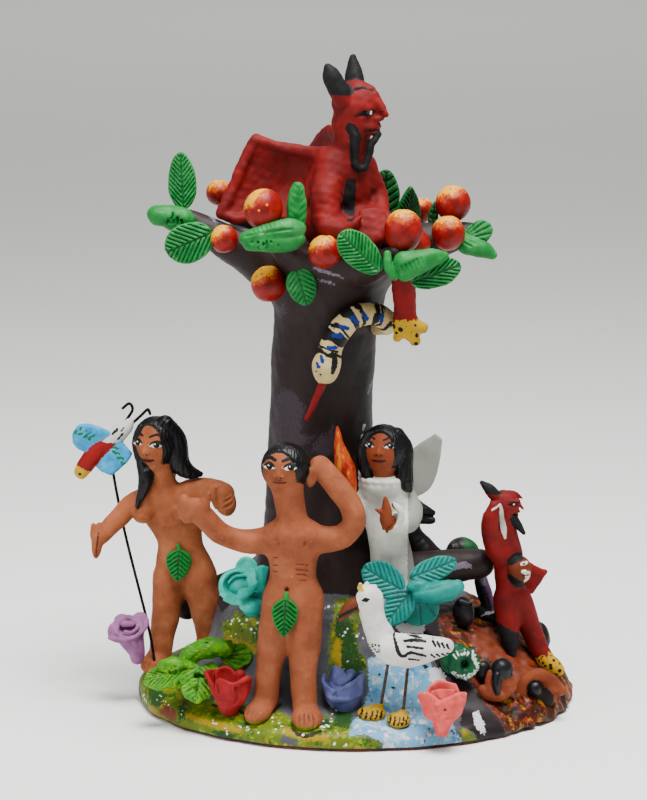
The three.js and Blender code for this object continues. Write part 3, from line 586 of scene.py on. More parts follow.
class Finish:
    """A painted clay material that is built up coat by coat."""

    def __init__(self, name, colour, roughness):
        self.material = bpy.data.materials.new(name)
        self.material.use_nodes = True
        self.tree = self.material.node_tree
        self.shader = self.tree.nodes["Principled BSDF"]
        self.shader.inputs["IOR"].default_value = 1.47
        # Brushed acrylic on porous clay: the chalky skin scatters part of the gloss that its IOR would give.
        self.shader.inputs["Specular IOR Level"].default_value = 0.25
        self.place = node(self.tree, "TexCoord").outputs["Object"]
        self.colour = linear(colour)
        self.roughness = roughness
        self.bumps = []

    def noise(self, size, detail=2.0, roughness=0.5, stretch=(1.0, 1.0, 1.0)):
        place = self.place
        if stretch != (1.0, 1.0, 1.0):
            place = node(self.tree, "Mapping", {"Vector": place, "Scale": stretch}).outputs[0]
        return node(self.tree, "TexNoise", {
            "Vector": place, "Scale": per_mm(size), "Detail": detail, "Roughness": roughness}).outputs[0]

    def attribute(self, name):
        return node(self.tree, "Attribute", attribute_name=name).outputs["Fac"]

    def math(self, operation, a, b):
        return node(self.tree, "Math", {0: a, 1: b}, operation=operation).outputs[0]

    def ramp(self, value, low, high, to_low=0.0, to_high=1.0):
        return node(self.tree, "MapRange", {
            "Value": value, "From Min": low, "From Max": high, "To Min": to_low, "To Max": to_high},
            interpolation_type="SMOOTHSTEP").outputs[0]

    def mix(self, share, colour):
        """Lays a colour over what is there, by a share from 0 to 1."""
        if isinstance(colour, str):
            colour = linear(colour)
        made = node(self.tree, "Mix", data_type="RGBA")
        sockets = {"Factor_Float": share, "A_Color": self.colour, "B_Color": colour}
        for made_input in made.inputs:
            if made_input.identifier in sockets:
                give(self.tree, made_input, sockets[made_input.identifier])
        self.colour = next(o for o in made.outputs if o.identifier == "Result_Color")
        return self

    def mottle(self, darker, lighter, size, amount=0.5):
        """Uneven thickness of the paint or the clay, from swell to swell."""
        swell = self.noise(size, 3.0, 0.6)
        self.mix(self.ramp(swell, 0.5, 0.32, 0.0, amount), darker)
        self.mix(self.ramp(swell, 0.5, 0.68, 0.0, amount), lighter)
        return self

    def flecks(self, colour, size, share, amount=0.8):
        """Scattered specks, such as grit that shows or paint that has gone."""
        spots = self.noise(size, 1.0, 0.4)
        low = 0.5 + 0.28 * (1.0 - share)
        return self.mix(self.ramp(spots, low, low + 0.03, 0.0, amount), colour)

    def coat(self, attribute, colour, wobble=0.25, edge=0.12, thin=0.0, roughness=None):
        """A brushed patch with an uneven edge. Its paint may be thin in places."""
        uneven = self.ramp(self.noise(1.1, 2.0), 0.3, 0.7, -wobble, wobble)
        inside = self.math("ADD", self.attribute(attribute), uneven)
        share = self.ramp(inside, edge, -edge)
        if thin:
            share = self.math("MULTIPLY", share, self.ramp(self.noise(0.8, 2.0), 0.3, 0.5, 1.0 - thin, 1.0))
        self.mix(share, colour)
        if roughness is not None:
            self.roughness = node(self.tree, "Mix", {0: share, 2: self.roughness, 3: roughness}).outputs[0]
        return self

    def coats(self, *rows):
        """Coats over one another, each a patch's name, a colour, its wobble, its edge and how thin it is."""
        for row in rows:
            self.coat(*row)

    def dabs(self, attribute, rows, detail, roughness, soft, edge=(0.3, -0.8), stretch=(1.0, 1.0, 1.0)):
        """Dabs on one painted patch, in rows of a colour, a size and where the noise's swells begin."""
        inside = self.ramp(self.attribute(attribute), *edge)
        for colour, size, low in rows:
            spots = self.ramp(self.noise(size, detail, roughness, stretch), low, low + soft)
            self.mix(self.math("MULTIPLY", inside, spots), colour)

    def share_of_spots(self, attribute, colour, size, share=0.34):
        """Brushed spots, about size millimetres apart, on one painted patch alone."""
        links = {"Vector": self.place, "Scale": per_mm(size)}
        cells = node(self.tree, "TexVoronoi", links).outputs["Distance"]
        inside = self.ramp(self.attribute(attribute), 0.0, -0.3)
        return self.mix(self.math("MULTIPLY", self.ramp(cells, share, share - 0.08), inside), colour)

    def dots(self, places, radius, colour):
        """Small round dabs at places in millimetres, on the surface that faces the front."""
        for place in places:
            links = {0: self.place, 1: [p * MM for p in place]}
            off = node(self.tree, "VectorMath", links, operation="SUBTRACT").outputs[0]
            flat = node(self.tree, "VectorMath", {0: off, 1: (1.0, 0.2, 1.0)},
                        operation="MULTIPLY").outputs[0]
            gap = node(self.tree, "VectorMath", {0: flat}, operation="LENGTH").outputs["Value"]
            self.mix(self.ramp(gap, (radius + 0.08) * MM, (radius - 0.08) * MM), colour)
        return self

    def bump(self, height, depth):
        """Raises the surface by up to depth millimetres where height is 1."""
        links = {"Height": height, "Distance": depth * MM, "Strength": 1.0}
        if self.bumps:
            links["Normal"] = self.bumps[-1]
        self.bumps.append(node(self.tree, "Bump", links).outputs[0])
        return self

    def clay_grain(self, fine=0.05, coarse=0.12):
        """The skin of hand-smoothed clay: a fine grain, and shallow marks of fingers and brush."""
        self.bump(self.noise(0.45, 3.0, 0.6), fine)
        return self.bump(self.noise(2.6, 2.0, 0.5), coarse)

    def cover(self, piece, fine=0.05, coarse=0.12):
        """Gives a piece this paint, with the skin of hand-smoothed clay."""
        piece.data.materials.append(self.clay_grain(fine, coarse).finish())

    def finish(self):
        give(self.tree, self.shader.inputs["Base Color"], self.colour)
        give(self.tree, self.shader.inputs["Roughness"], self.roughness)
        if self.bumps:
            give(self.tree, self.shader.inputs["Normal"], self.bumps[-1])
        return self.material


def lay_veins(piece, blades):
    """Where some leaves' faces are painted darker: in their pressed veins."""
    where = points_of(piece)
    found = np.full(len(where[0]), PAINT_REACH)
    for blade in blades:
        u, v, w = blade.local(where)
        inside = blade.half_width(u / blade.length) - np.abs(v)
        faced = (w > -0.3) & (w < blade.thick + blade.arch) & (inside > 0.4)
        found = np.minimum(found, np.where(faced, blade.groove(u, v) - 0.11 * blade.vein, PAINT_REACH))
    lay(piece, "veins", found)


def leaf_paint(name, colour, groove_colour, lighter, gloss=0.55):
    """Leaf paint, uneven from place to place, and darker in the pressed veins."""
    finish = Finish(name, colour, gloss)
    finish.mottle(groove_colour, lighter, 6.0, 0.35)
    finish.coat("veins", groove_colour, 0.12, edge=0.15, thin=0.6)
    return finish.clay_grain(0.04, 0.08).finish()


# The tree and the mound

SECTORS = [
    # angle, top's edge, bank's foot, top, low, rim, belly
    [-180, 0.62, 0.71, 45, 19, 10, 0],
    [-160, 0.6, 0.76, 46, 16, 8, 0],
    [-130, 0.51, 0.74, 47, 13, 7, 0],
    [-90, 0.47, 0.7, 47, 13, 7, 0],
    [-62, 0.5, 0.78, 45, 12, 7, 0],
    [-45, 0.45, 0.92, 36, 9, 5, 0.5],
    [-25, 0.4, 0.95, 38, 11, 6, 0.8],
    [0, 0.4, 0.95, 40, 12, 7, 1],
    [45, 0.5, 0.95, 42, 12, 7, 1],
    [90, 0.58, 0.92, 45, 12, 7, 0.8],
    [135, 0.58, 0.85, 45, 15, 8, 0.5],
    [180, 0.62, 0.71, 45, 19, 10, 0],
]


def ground_polar(x, y):
    """Where a point of the mound lies: its share of the way to the rim, and its angle in degrees."""
    across, along = x / BASE_RX, (y - BASE_Y) / BASE_RY
    return np.sqrt(across**2 + along**2), np.degrees(np.arctan2(along, across))


def mound_height(x, y):
    fraction, degrees = ground_polar(x, y)
    table = np.array(SECTORS, float)
    k = np.clip(np.searchsorted(table[:, 0], degrees) - 1, 0, len(table) - 2)
    t = smoothstep(table[k, 0], table[k + 1, 0], degrees)
    edge, foot, top, low, rim, belly = ((table[k] + (table[k + 1] - table[k]) * t[..., None])[..., 1:]).T
    edge, foot, top, low, rim, belly = (v.T for v in (edge, foot, top, low, rim, belly))
    fall = np.clip((fraction - edge) / (foot - edge), 0.0, 1.0)
    fall = fall * fall * (3 - 2 * fall) * (1 - belly) + fall * fall * belly
    bank = top + (low - top) * fall
    crest = top + 4 * (1 - np.clip(fraction / edge, 0.0, 1.0) ** 2)
    apron = low + (rim - low) * np.clip((fraction - foot) / (1 - foot), 0.0, 1.0)
    return np.where(fraction <= edge, crest, np.where(fraction <= foot, bank, apron))


class Mound:
    """The mound as one shape: its uneven top, its oval rim and its flat underside."""

    box = (np.array([-BASE_RX, BASE_Y - BASE_RY, 0.0]), np.array([BASE_RX, BASE_Y + BASE_RY, 52.0]))

    def distance(self, where):
        x, y, z = where
        flat_x, flat_y = np.broadcast_arrays(x[..., 0], y[..., 0])
        height = mound_height(flat_x, flat_y)
        for _ in range(3):
            spread = np.pad(height, 1, mode="edge")
            height = (height * 2 + spread[2:, 1:-1] + spread[:-2, 1:-1] + spread[1:-1, 2:]
                      + spread[1:-1, :-2]) / 6
        cell = flat_x[1, 0] - flat_x[0, 0]
        steep = np.hypot(*np.gradient(height, cell))
        above = (z - height[..., None]) / np.sqrt(1 + steep**2)[..., None]
        fraction = ground_polar(flat_x, flat_y)[0]
        past = np.hypot(flat_x, flat_y - BASE_Y) * (1 - 1 / np.maximum(fraction, 0.05))
        lean = 0.9 * np.exp(-((z / 1.2) ** 2))
        return np.maximum(soft_max(above, past[..., None] + lean, 4.0), -z)


ROOTS = [
    [[-28, -4, 54, 10], [-54, -15, 46, 4.5]],
    [[6, -5, 60, 10], [20, -10, 57.4, 8.6], [38, -11, 59.4, 7.8], [51.6, -12, 61.2, 6.8]],
    [[4, 12, 54, 10], [32, 28, 43, 5]], [[-32, 16, 54, 10], [-48, 32, 44, 4.5]],
    [[-34, 14, 50, 9], [-58, 16, 42, 7], [-73, 16, 34, 5.6]],
]
BRANCHES = [
    [[-30, -5, 183, 12], [-46, -9, 194, 9.4], [-57, -9.4, 199.4, 7.2], [-70, -9.6, 207, 4.6]],
    [[10, -4, 191, 11], [28, -5, 196.5, 8.6], [47, -7, 201, 5]],
    [[-24, -22, 190, 7.5], [-36, -38.6, 206, 3.8]],
    [[3, -27, 189, 6.6], [12, -41, 195.6, 5], [15, -43, 198, 4.2]],
    [[-30, 8, 191, 9], [-54.6, 7.4, 209.4, 4]], [[8, 12, 191, 8], [26.8, 15, 204.4, 3.8]],
    [[-10, 20, 188, 8.5], [-9, 38, 200, 5]],
]


def tree_shapes():
    x, y, r = TRUNK_X, TRUNK_Y, TRUNK_R
    trunk = Roll([[x + 1, y, 42, 34], [x + 1, y, 58, 30.5], [x, y, 68, 26.6], [x - 1, y, 84, 24],
                  [x - 1, y, 120, r], [x + 0.5, y, 156, r], [x + 2, y, 172, r + 0.5]], 5.0)
    crown = Stack([[164, x + 2, y, r - 2, r - 2], [178, x + 3, y - 2, r + 2.5, r + 1.5],
                   [190, x + 5, y - 5, 30, 27], [CROWN_Z, x + 6, y - 6, 31, 27]], 4.0)
    return trunk, crown


# Painted patches of the front, as corners [across, seen height] or brush lines [across, seen height,
# radius], in millimetres.
TRUNK_WEAR = [
    [[-31, 131.6], [-27, 130], [-23.7, 126], [-21.6, 123], [-23, 117], [-23.3, 112], [-18.3, 111],
     [-19.6, 108.4], [-28, 105.4], [-35.6, 105.2], [-36, 118], [-33.3, 127.4]],
    [[-17.5, 109], [-11.3, 114], [-8.8, 116], [-9.7, 104.6], [-14.6, 102], [-18.8, 105.5]],
    [[-33.6, 165.5], [-30.3, 166], [-29.4, 161.6], [-32.4, 160]],
]
SCUFFS = [
    [[-18, 180, 0.5], [-14, 178.5, 0.7], [-6, 176, 0.4]], [[-16, 175, 0.4], [-10, 173.5, 0.6]],
    [[4.5, 129, 0.4], [5.6, 132, 0.5], [6.6, 134.5, 0.3]],
    [[-44, 197, 1.6], [-56, 200.5, 2.2], [-60, 202, 1]], [[40, 191.5, 1.6], [46, 194, 1.8]],
    [[37, 55.4, 1.2], [44, 57, 1.5], [48, 56.4, 0.8]],
]
WATER = [[4, 20], [4.7, 7], [2, -1.3], [-2.4, -4.7], [-5.3, -14], [17, -18], [34, -18], [46, -17.5], [40, -9],
         [37, -1.6], [34.4, 6.7], [31.2, 14], [30, 20], [17.5, 22]]
DARK_STRIP = [[28, 42], [34.6, 42.3], [34.7, 30], [37, 20.6], [46.5, 9.7], [51.7, 2.2], [58.4, -4.6],
              [63.6, -17], [51, -18], [47.4, -9], [41.6, -6.4], [43.4, 2.7], [39, 10.7], [34.5, 14.3],
              [30, 20.8], [25, 31]]
FIRE = [[35.1, 42.3], [46, 58], [95, 58], [110, 10], [95, -22], [63.6, -17], [58.4, -4.6], [51.7, 2.2],
        [46.5, 9.7], [37, 20.6], [34.7, 30]]
BARE_CLAY = [
    [[51, 31.3], [61, 31], [68.7, 24], [73.8, 16.6], [71.3, 9.4], [67.5, 5], [61.3, 9], [59.5, 15.7],
     [51, 20], [48, 26]],
    [[-82.5, -3], [-79.5, -0.2], [-75, -2.8], [-74.6, -6.6], [-77.6, -6.4], [-82, -4.6]],
]
BANK_GRASS = [
    [[-56.6, 31.7], [-51, 36.7], [-42.5, 37], [-38.7, 32.7], [-39.5, 26.5], [-42.5, 21.5], [-49, 21],
     [-55.7, 25.7]],
    [[-8.5, 45], [2, 44], [2.4, 39], [-1, 27.3], [4.3, 17], [2, 6], [-5.2, 0], [-11.3, 0], [-11.3, 27]],
]
DARK_GRASS = [
    [[-59.2, -9.7], [-55.4, -8.2], [-50, -9.9], [-50.5, -13.8], [-56.3, -12.8]],
    [[-88, 5.8], [-84, 6.7], [-80.3, 3], [-82, -2], [-86.7, -2]],
    [[-5.2, 3], [-2.3, 1], [-2.4, -5.7], [-5, -7.4], [-9.3, -5.7], [-9.3, -0.7]],
    [[-9, 36], [-3, 38], [-1, 27], [3, 17], [1, 8], [-8, 10], [-10, 24]],
    [[-74, -1], [-71.5, 1], [-70, -4.5], [-74, -7]],
]
YELLOW_GRASS = [
    [[-54, 26, 1.6], [-48, 24, 2], [-43, 22, 1.4]], [[-8, 27, 1.4], [-8.6, 22, 1.7], [-7.6, 17, 1.2]],
    [[-70, -4, 1], [-60, -6.4, 1.4], [-48, -8.4, 1]], [[-30, -8, 1.2], [-20, -10.4, 1.3], [-12, -10, 0.8]],
    [[6, 9, 1], [6, 5, 1.3], [4, 1, 1]], [[-86, -3, 1], [-82, -6, 0.8]],
]
GREY_CLAY = [
    [[-30.3, 6.6], [-25, 10.8], [-23.7, 2.8], [-25.2, -4.8], [-30.2, -1.5]],
    [[-30.4, -9.5], [-23.5, -11.7], [-25.5, -13.8], [-31.6, -12.4]],
]
TUFTS = [
    [[-5.3, -9.7], [2.8, -9], [9.6, -12], [8.8, -18], [-3.3, -18]],
    [[41.5, -7.5], [44, -7.2], [49, -12.3], [49.5, -18], [44, -18]],
]
WHITE_CHIPS = [
    [[14.7, 34.5], [28.6, 33], [27.6, 29.8], [17.6, 30]],
    [[29, 15.6], [34, 15.6], [36.6, 12.3], [35.2, 6.7], [30.7, 9]],
    [[47, -2.2], [49.5, -1.5], [51.6, -5.5], [52.3, -10.4], [50.2, -9.9], [47.4, -5.9]],
]
BLOSSOM = [
    [[-88, 6, 1.2], [-86.8, 5.5, 1]], [[-90.6, 2, 1], [-88.6, -0.8, 1]],
    [[-84, 2.3, 1.4], [-80.8, 0.4, 1.4]], [[-78.5, -0.8, 1], [-77, -1.8, 1]],
    [[-72, -3.2, 1.2], [-69.4, -4, 1]], [[-62, -4.7, 1.2], [-58, -5.4, 1.4]],
    [[-54, -8.5, 1], [-52.4, -10.5, 1]], [[-47.6, -6, 1.4], [-43.5, -7.6, 1.6]],
    [[-41, -8.8, 1], [-38.6, -11, 1.2]], [[-35.8, -4, 1.6], [-31.2, -7.6, 1.6]],
    [[-24, -9.2, 0.8], [-18, -10.4, 0.8]], [[-53, 33.3, 1.4], [-42, 34.6, 1.8]],
    [[-47.6, 32, 1.4], [-42, 29.7, 1.4]], [[-52, 28.4, 1.6], [-48.8, 26, 1.6]],
    [[-13.4, 38.4, 1.2], [-9.2, 42, 1.2]], [[-8, 29.4, 1.6], [-3, 31.3, 1.4]],
    [[-1, 31, 1.6], [1.5, 27.3, 1.4]], [[-7, 14.8, 1.4], [-3, 18, 1.4]],
    [[-11.4, -4, 1.4], [-9.3, -1.4, 1.2]], [[-14.6, -5.7, 1.6], [-9.4, -9, 1.6]],
    [[-12, -12, 1], [-5.3, -13, 1.2]], [[-44, -14, 0.8], [-40, -15, 0.8]],
]
FOOT_SHADOWS = [
    [[-48.5, -1.8, 0.4], [-43.3, -3.4, 0.6], [-36.7, -2.8, 0.6], [-31.5, 1, 0.5]],
    [[-27, -7, 0.4], [-24.3, -9, 0.8], [-20.3, -9.6, 0.8], [-15.2, -7.8, 0.5]],
    [[-60, 0.4, 0.4], [-54, -1.4, 0.6], [-50, -0.6, 0.4]],
]
WATER_CRACKS = [
    [[4.5, 6, 0.25], [6, 2, 0.3], [9, 0, 0.25]], [[26, -14, 0.2], [29, -7, 0.3]],
    [[33, -12, 0.2], [35, -6, 0.3]], [[38, -8, 0.3], [41, -12, 0.25]], [[14, 8, 0.5], [16, 7.4, 0.5]],
    [[8.6, 13.4, 0.6], [9.4, 13, 0.6]], [[27.6, 16.4, 0.9], [28.4, 16, 0.8]],
]


def outlined(corners, across, up):
    """The distance to a flat outline of [across, up] corners, less than 0 inside it."""
    gap = np.full(len(across), 1e6)
    inside = np.zeros(len(across), bool)
    for (ax, ay), (bx, by) in zip(corners, corners[1:] + corners[:1]):
        ex, ey = bx - ax, by - ay
        t = np.clip(((across - ax) * ex + (up - ay) * ey) / (ex**2 + ey**2), 0.0, 1.0)
        gap = np.minimum(gap, np.hypot(across - ax - t * ex, up - ay - t * ey))
        level = (ay > up) != (by > up)
        inside ^= level & (across < ax + ex * (up - ay) / (ey or 1e-9))
    return np.where(inside, -gap, gap)


def lay_patches(piece, name, outlines, across, up, shown):
    found = np.full(len(across), PAINT_REACH)
    for corners in outlines:
        found = np.minimum(found, outlined(corners, across, up))
    lay(piece, name, np.where(shown, found, PAINT_REACH))


def seen_height(y, z):
    """The height along a plane that leans back as far as the front view looks down."""
    return z * math.cos(CAMERA_ELEVATION) + y * math.sin(CAMERA_ELEVATION)


def fire_ground(x, y, z):
    """Where the ground is dabbed to look like fire: right of the dark strip, and round to the back."""
    up = seen_height(y, z)
    front = outlined(FIRE, x, up)
    return np.where(z > 50, PAINT_REACH, np.where(y < 0, front, np.minimum(48 - x, 60 - y)))


def paint_ground(piece):
    x, y, z = where = points_of(piece)
    up = seen_height(y, z)
    fraction = ground_polar(x, y)[0]
    front = (y < -14) & (z < 52)
    fire = fire_ground(x, y, z)
    lay(piece, "fire", fire)
    uneven = 3.0 * ripple(where, 24.0, 21)
    rim = np.maximum((0.8 - fraction) * 80 + uneven, z - 44)
    left = np.maximum(x + 72 + uneven, z - 30)
    tuft = np.minimum(outlined(TUFTS[0], x, up), outlined(TUFTS[1], x, up))
    bank = np.minimum(outlined(BANK_GRASS[0], x, up), outlined(BANK_GRASS[1], x, up))
    front_grass = np.minimum(np.minimum(bank, tuft), np.maximum(up + 0.5 + 0.1 * (x + 40), x + 2))
    grass = np.minimum(np.where(front, front_grass, rim), left)
    lay(piece, "grass", np.maximum(grass, -fire))
    lay_patches(piece, "water", [WATER], x, up, front & (tuft > 0))
    lay_patches(piece, "strip", [DARK_STRIP], x, up, front | (z < 50) & (y < 0) & (x < 64))
    for name, outlines in (("bare", BARE_CLAY), ("dark_grass", DARK_GRASS), ("grey_clay", GREY_CLAY),
                           ("white", WHITE_CHIPS)):
        lay_patches(piece, name, outlines, x, up, front)
    for name, lines in (("yellow", YELLOW_GRASS), ("blossom", BLOSSOM), ("foot_shadow", FOOT_SHADOWS),
                        ("crack", WATER_CRACKS)):
        lay(piece, name, drawn(lines, x, up, front))


def paint_bark(piece):
    x, y, z = points_of(piece)
    up = seen_height(y, z)
    bank_top = mound_height(x, y)
    roots = nearest([Roll(points) for points in ROOTS], (x, y, z)) - 1.5
    trunk = np.minimum(53 - z + 2 * ripple((x, y, z), 15.0, 22), roots)
    lay(piece, "bark", np.maximum(trunk, 0.8 - (z - bank_top)))
    lay_patches(piece, "bark_wear", TRUNK_WEAR, x, up, (y < -4) & (z > 55))
    lay(piece, "scuff", drawn(SCUFFS, x, up, (y < 2) & (z > 55)))
    lay(piece, "shade", drawn([[[8, 112, 5], [4, 128, 4], [1, 150, 4]]], x, up, (y < 0) & (z > 60)))


def ground_and_bark_paint():
    """Brown bark paint, and over the grey ground: grass, water, fire and blossom, dabbed coat by coat."""
    finish = Finish("acrylic paint on fired clay, ground", "#434349", 0.55)
    finish.mottle("#2b2a2f", "#616067", 14.0, 0.5)
    finish.coat("grass", "#546400", 1.6, edge=0.5)
    finish.dabs("grass", (("#1f4400", 5.0, 0.52), ("#8a7e00", 4.0, 0.53), ("#749400", 3.0, 0.54),
                          ("#0d3915", 8.0, 0.58)), 3.0, 0.6, 0.13)
    finish.coats(("dark_grass", "#103908", 0.9, 0.6, 0.3), ("yellow", "#917700", 0.6, 0.6, 0.4),
                 ("grey_clay", "#47454c", 0.6, 0.5), ("water", "#5d95b6", 0.5, 0.25))
    finish.dabs("water", (("#97b1bd", 5.0, 0.5), ("#337aaa", 7.0, 0.56), ("#cfcac6", 3.4, 0.54)),
                3.0, 0.65, 0.14, (0.1, -0.5))
    finish.coats(("crack", "#1d110e", 0.15), ("strip", "#170d10", 0.3, 0.2), ("fire", "#441100", 1.2, 0.4))
    finish.dabs("fire", (("#1c0601", 6.0, 0.48), ("#7a1f00", 4.0, 0.54), ("#2c2604", 5.0, 0.56),
                         ("#945e00", 3.4, 0.56), ("#3c0600", 2.6, 0.57)), 4.0, 0.7, 0.05,
                         stretch=(1.0, 1.0, 0.5))
    finish.coats(("bare", "#682a14", 0.8, 0.8), ("white", "#c6c2c2", 0.4), ("foot_shadow", "#1d1800", 0.2))
    finish.share_of_spots("blossom", "#ddddd8", 2.1)
    finish.coat("bark", "#1b0e0c", 0.5, edge=0.3)
    inside = finish.ramp(finish.attribute("bark"), 0.2, -0.4)
    grain = finish.ramp(finish.noise(5.0, 4.0, 0.6, (1.0, 1.0, 0.25)), 0.46, 0.66, 0.0, 0.6)
    finish.mix(finish.math("MULTIPLY", inside, grain), "#281816")
    finish.coats(("shade", "#090404", 1.0, 2.0, 0.3), ("bark_wear", "#352b33", 1.0, 1.0, 0.7),
                 ("scuff", "#68606d", 0.35, 0.2, 0.5))
    height = node(finish.tree, "SeparateXYZ", {0: finish.place}).outputs["Z"]
    finish.mix(finish.ramp(height, 1.7 * MM, 1.5 * MM), "#140b09")
    finish.mix(finish.ramp(height, 0.9 * MM, 0.7 * MM), "#872b00")
    return finish


def make_tree_and_mound():
    clay = Clay([-97, -83, -2.2], [97, 79, 216], 1.1)
    trunk, crown = tree_shapes()
    clay.add(Mound(), 1.0)
    clay.field = np.minimum(clay.field, REACH)
    clay.add(trunk, 4.0)
    clay.add(crown, 5.0)
    clay.add(ROOTS + BRANCHES, 4.5)
    clay.knead(0.25, 17.0, 3)
    clay.knead(0.1, 6.0, 4)
    clay.knead(0.55, 5.0, 5, lambda x, y, z: smoothstep(0.0, -4.0, fire_ground(x, y, z)))
    floor = clay.low[2] + clay.cell * np.arange(clay.shape[2])
    clay.field = np.maximum(clay.field, -floor[None, None, :].astype(np.float32))
    piece = clay.piece("tree_and_mound_clay", "bark_and_ground", "tree_and_mound")
    paint_ground(piece)
    paint_bark(piece)
    ground_and_bark_paint().cover(piece, 0.06, 0.14)


# The people: faces, skin and hair

def model_face(clay, head, scale=1.0, eye_v=2.8, tip_v=-0.6, mouth_v=-3.6):
    """A plain modelled face: nose with its wings, eyeballs, lips and chin."""
    s = scale
    clay.add(head.ridge([[0, eye_v + 1.4, -1.0, 0.8 * s], [0, 0.5 * (eye_v + tip_v), -0.3, 0.9 * s],
                         [0, tip_v, 0.5, 1.2 * s]]), 0.9)
    for side in (-1, 1):
        clay.add(head.knob(side * 1.3 * s, tip_v - 0.4, 0.0, [0.9 * s, 0.9 * s, 0.8 * s]), 0.6)
        clay.add(head.knob(side * 4.4 * s, eye_v, -0.7, [2.3 * s, 1.2 * s, 1.3 * s]), 0.8)
        clay.cut(head.knob(side * 0.9 * s, tip_v - 1.1, 0.9, [0.35, 0.7, 0.35]), 0.3)
    clay.add(head.ridge([[-2.4 * s, mouth_v + 0.4, -0.3, 0.5], [0, mouth_v + 0.6, 0.1, 0.7 * s],
                         [2.4 * s, mouth_v + 0.4, -0.3, 0.5]]), 0.5)
    clay.add(head.ridge([[-1.8 * s, mouth_v - 0.6, -0.3, 0.5], [1.8 * s, mouth_v - 0.6, -0.3, 0.5]]), 0.5)
    clay.cut(head.ridge([[-2.6 * s, mouth_v, 0.3, 0.3], [0, mouth_v - 0.1, 0.7, 0.3],
                         [2.6 * s, mouth_v, 0.3, 0.3]]), 0.3)
    clay.add(head.knob(0, -0.82 * head.half[2], -0.6, [2.6 * s, 2.0 * s, 1.8 * s]), 1.6)


def paint_face(piece, head, eyes, brows, lips, nostrils):
    """Lays out the features: eyes of [u, v, half width, half height], and brush lines for the rest."""
    u, v, w = head.local(points_of(piece))
    shown = w > 0.15 * head.half[1]
    whites = [[[a - b, c, 0.3 * d], [a, c + 0.1, d], [a + b, c, 0.3 * d]] for a, c, b, d in eyes]
    lids = [[[a - b, c - 0.1, 0.3], [a - 0.3 * b, c + d, 0.5], [a + 0.4 * b, c + 0.9 * d, 0.5],
             [a + b, c, 0.35]] for a, c, b, d in eyes]
    irises = [[[a + 0.2, c + 0.1, 1.05 * d]] for a, c, b, d in eyes]
    holes = [[[side * nostrils[0], nostrils[1], 0.42]] for side in (-1, 1)]
    lay(piece, "eye_white", drawn(whites, u, v, shown))
    lay(piece, "black", drawn(lids + irises + holes + brows, u, v, shown))
    lay(piece, "lips", drawn(lips, u, v, shown))


def paint_head(finish, lips, head, eyes):
    """The paint of the features that paint_face laid out, and the glints of the eyes."""
    finish.coats(("lips", lips, 0.1), ("eye_white", EYE_WHITE, 0.1), ("black", INK, 0.1))
    finish.dots([head.front(a - 0.35, c + 0.45) for a, c, b, d in eyes], 0.3, GLINT)


def terracotta(name, colour, darker, lighter):
    """Bare fired red clay, rubbed smooth: dull, a little uneven, with dark and light grit."""
    finish = Finish(name, colour, 0.72)
    finish.mottle(darker, lighter, 9.0, 0.55)
    finish.flecks("#390f02", 0.9, 0.12, 0.5)
    finish.flecks("#c27c58", 1.3, 0.1, 0.35)
    return finish


def skin(name, colour, darker, lighter, lips, head, eyes):
    """Terracotta skin with a face and glossier black hair painted on it, and painted shade in its knife cuts.
    """
    finish = terracotta(name, colour, darker, lighter)
    # Painted shade: dark brown in the knife cuts of toes, ribs, navel and palm, and in the groove between the
    # legs.
    finish.coat("painted_shade_in_cuts", "#4c1803", 0.1, edge=0.25)
    paint_head(finish, lips, head, eyes)
    finish.coat("hair", HAIR, 0.15, roughness=0.38)
    return finish


def combed_locks(routes):
    """Rolled locks of hair with combed grooves."""
    return [Combed(Roll(points, 1.6), points[1][:2], 16, 0.4) for points in routes]


def lay_hair(piece, parts):
    """Paints the combed parts, and a hair's breadth beyond them."""
    lay(piece, "hair", nearest([part.shape for part in parts], points_of(piece)) - 0.42)


# The man

MAN_HEAD = Lump([-29.8, -53.4, 111.6], [9, 8.8, 9.8], -15.0)
MAN_EYES = [[-4.3, 2.7, 2.6, 1.35], [4.6, 2.7, 2.9, 1.35]]
MAN_HAIR = Combed(Without(Oval([-29.4, -52.2, 112.4], [10, 9.6, 10.2]),
                          MAN_HEAD.oval(-1.4, -1.4, 8.5, [8.4, 9, 10.8]),
                          Oval([-29.6, -54, 100], [13, 12, 7.5])), [-29.8, -50], 46, 0.45)
MAN_TORSO = Stack([[50, -26.6, -54, 9, 6.2], [58, -26.3, -54, 10.4, 7.6], [70, -26.4, -54, 9.6, 6.8],
                   [80, -26.6, -54, 11.2, 7], [90, -26.6, -54, 9.4, 5.8]])
MAN_LIMBS = [
    [[-26.6, -54, 86, 7.6], [-27, -54, 94, 6.2], [-28.4, -54, 104, 6.6]],
    [[-30, -54, 84, 6.4], [-38, -54, 82.2, 5.6], [-46, -54.5, 82, 4.9], [-56, -57, 86.2, 4.5],
     [-62, -60, 93.4, 4.7], [-66, -61, 97.6, 4.4]],
    [[-23, -54, 84.4, 6.4], [-14, -54.6, 82.8, 5.6], [-6, -56, 84.6, 5.1], [-1.6, -58, 91, 4.9],
     [-3.4, -57, 98.4, 4.9], [-10, -54, 106.6, 4.8], [-15.6, -51.6, 112.6, 4.4]],
    [[-31.4, -54, 58, 7.8], [-34.4, -53.6, 40, 6.6], [-36.2, -53.2, 28, 5.6], [-37.6, -54, 14, 5.2]],
    [[-21.4, -54, 58, 7.8], [-21.6, -55.4, 40, 6.9], [-22.2, -57.2, 28, 5.8], [-21.6, -59, 14, 5.3]],
]
MAN_FEET = [Lump([-40.6, -60, 11.5], [5.6, 8.4, 4.2], -24, -12),
            Lump([-20.8, -66, 10.6], [6.6, 8.4, 4.2], 4, -12)]
MAN_TOES = [[-3, -0.6, 1.8], [-4.4, -1.8, 0.6, 3]]
MAN_EAR = [-18.8, -54.2, 108.8]
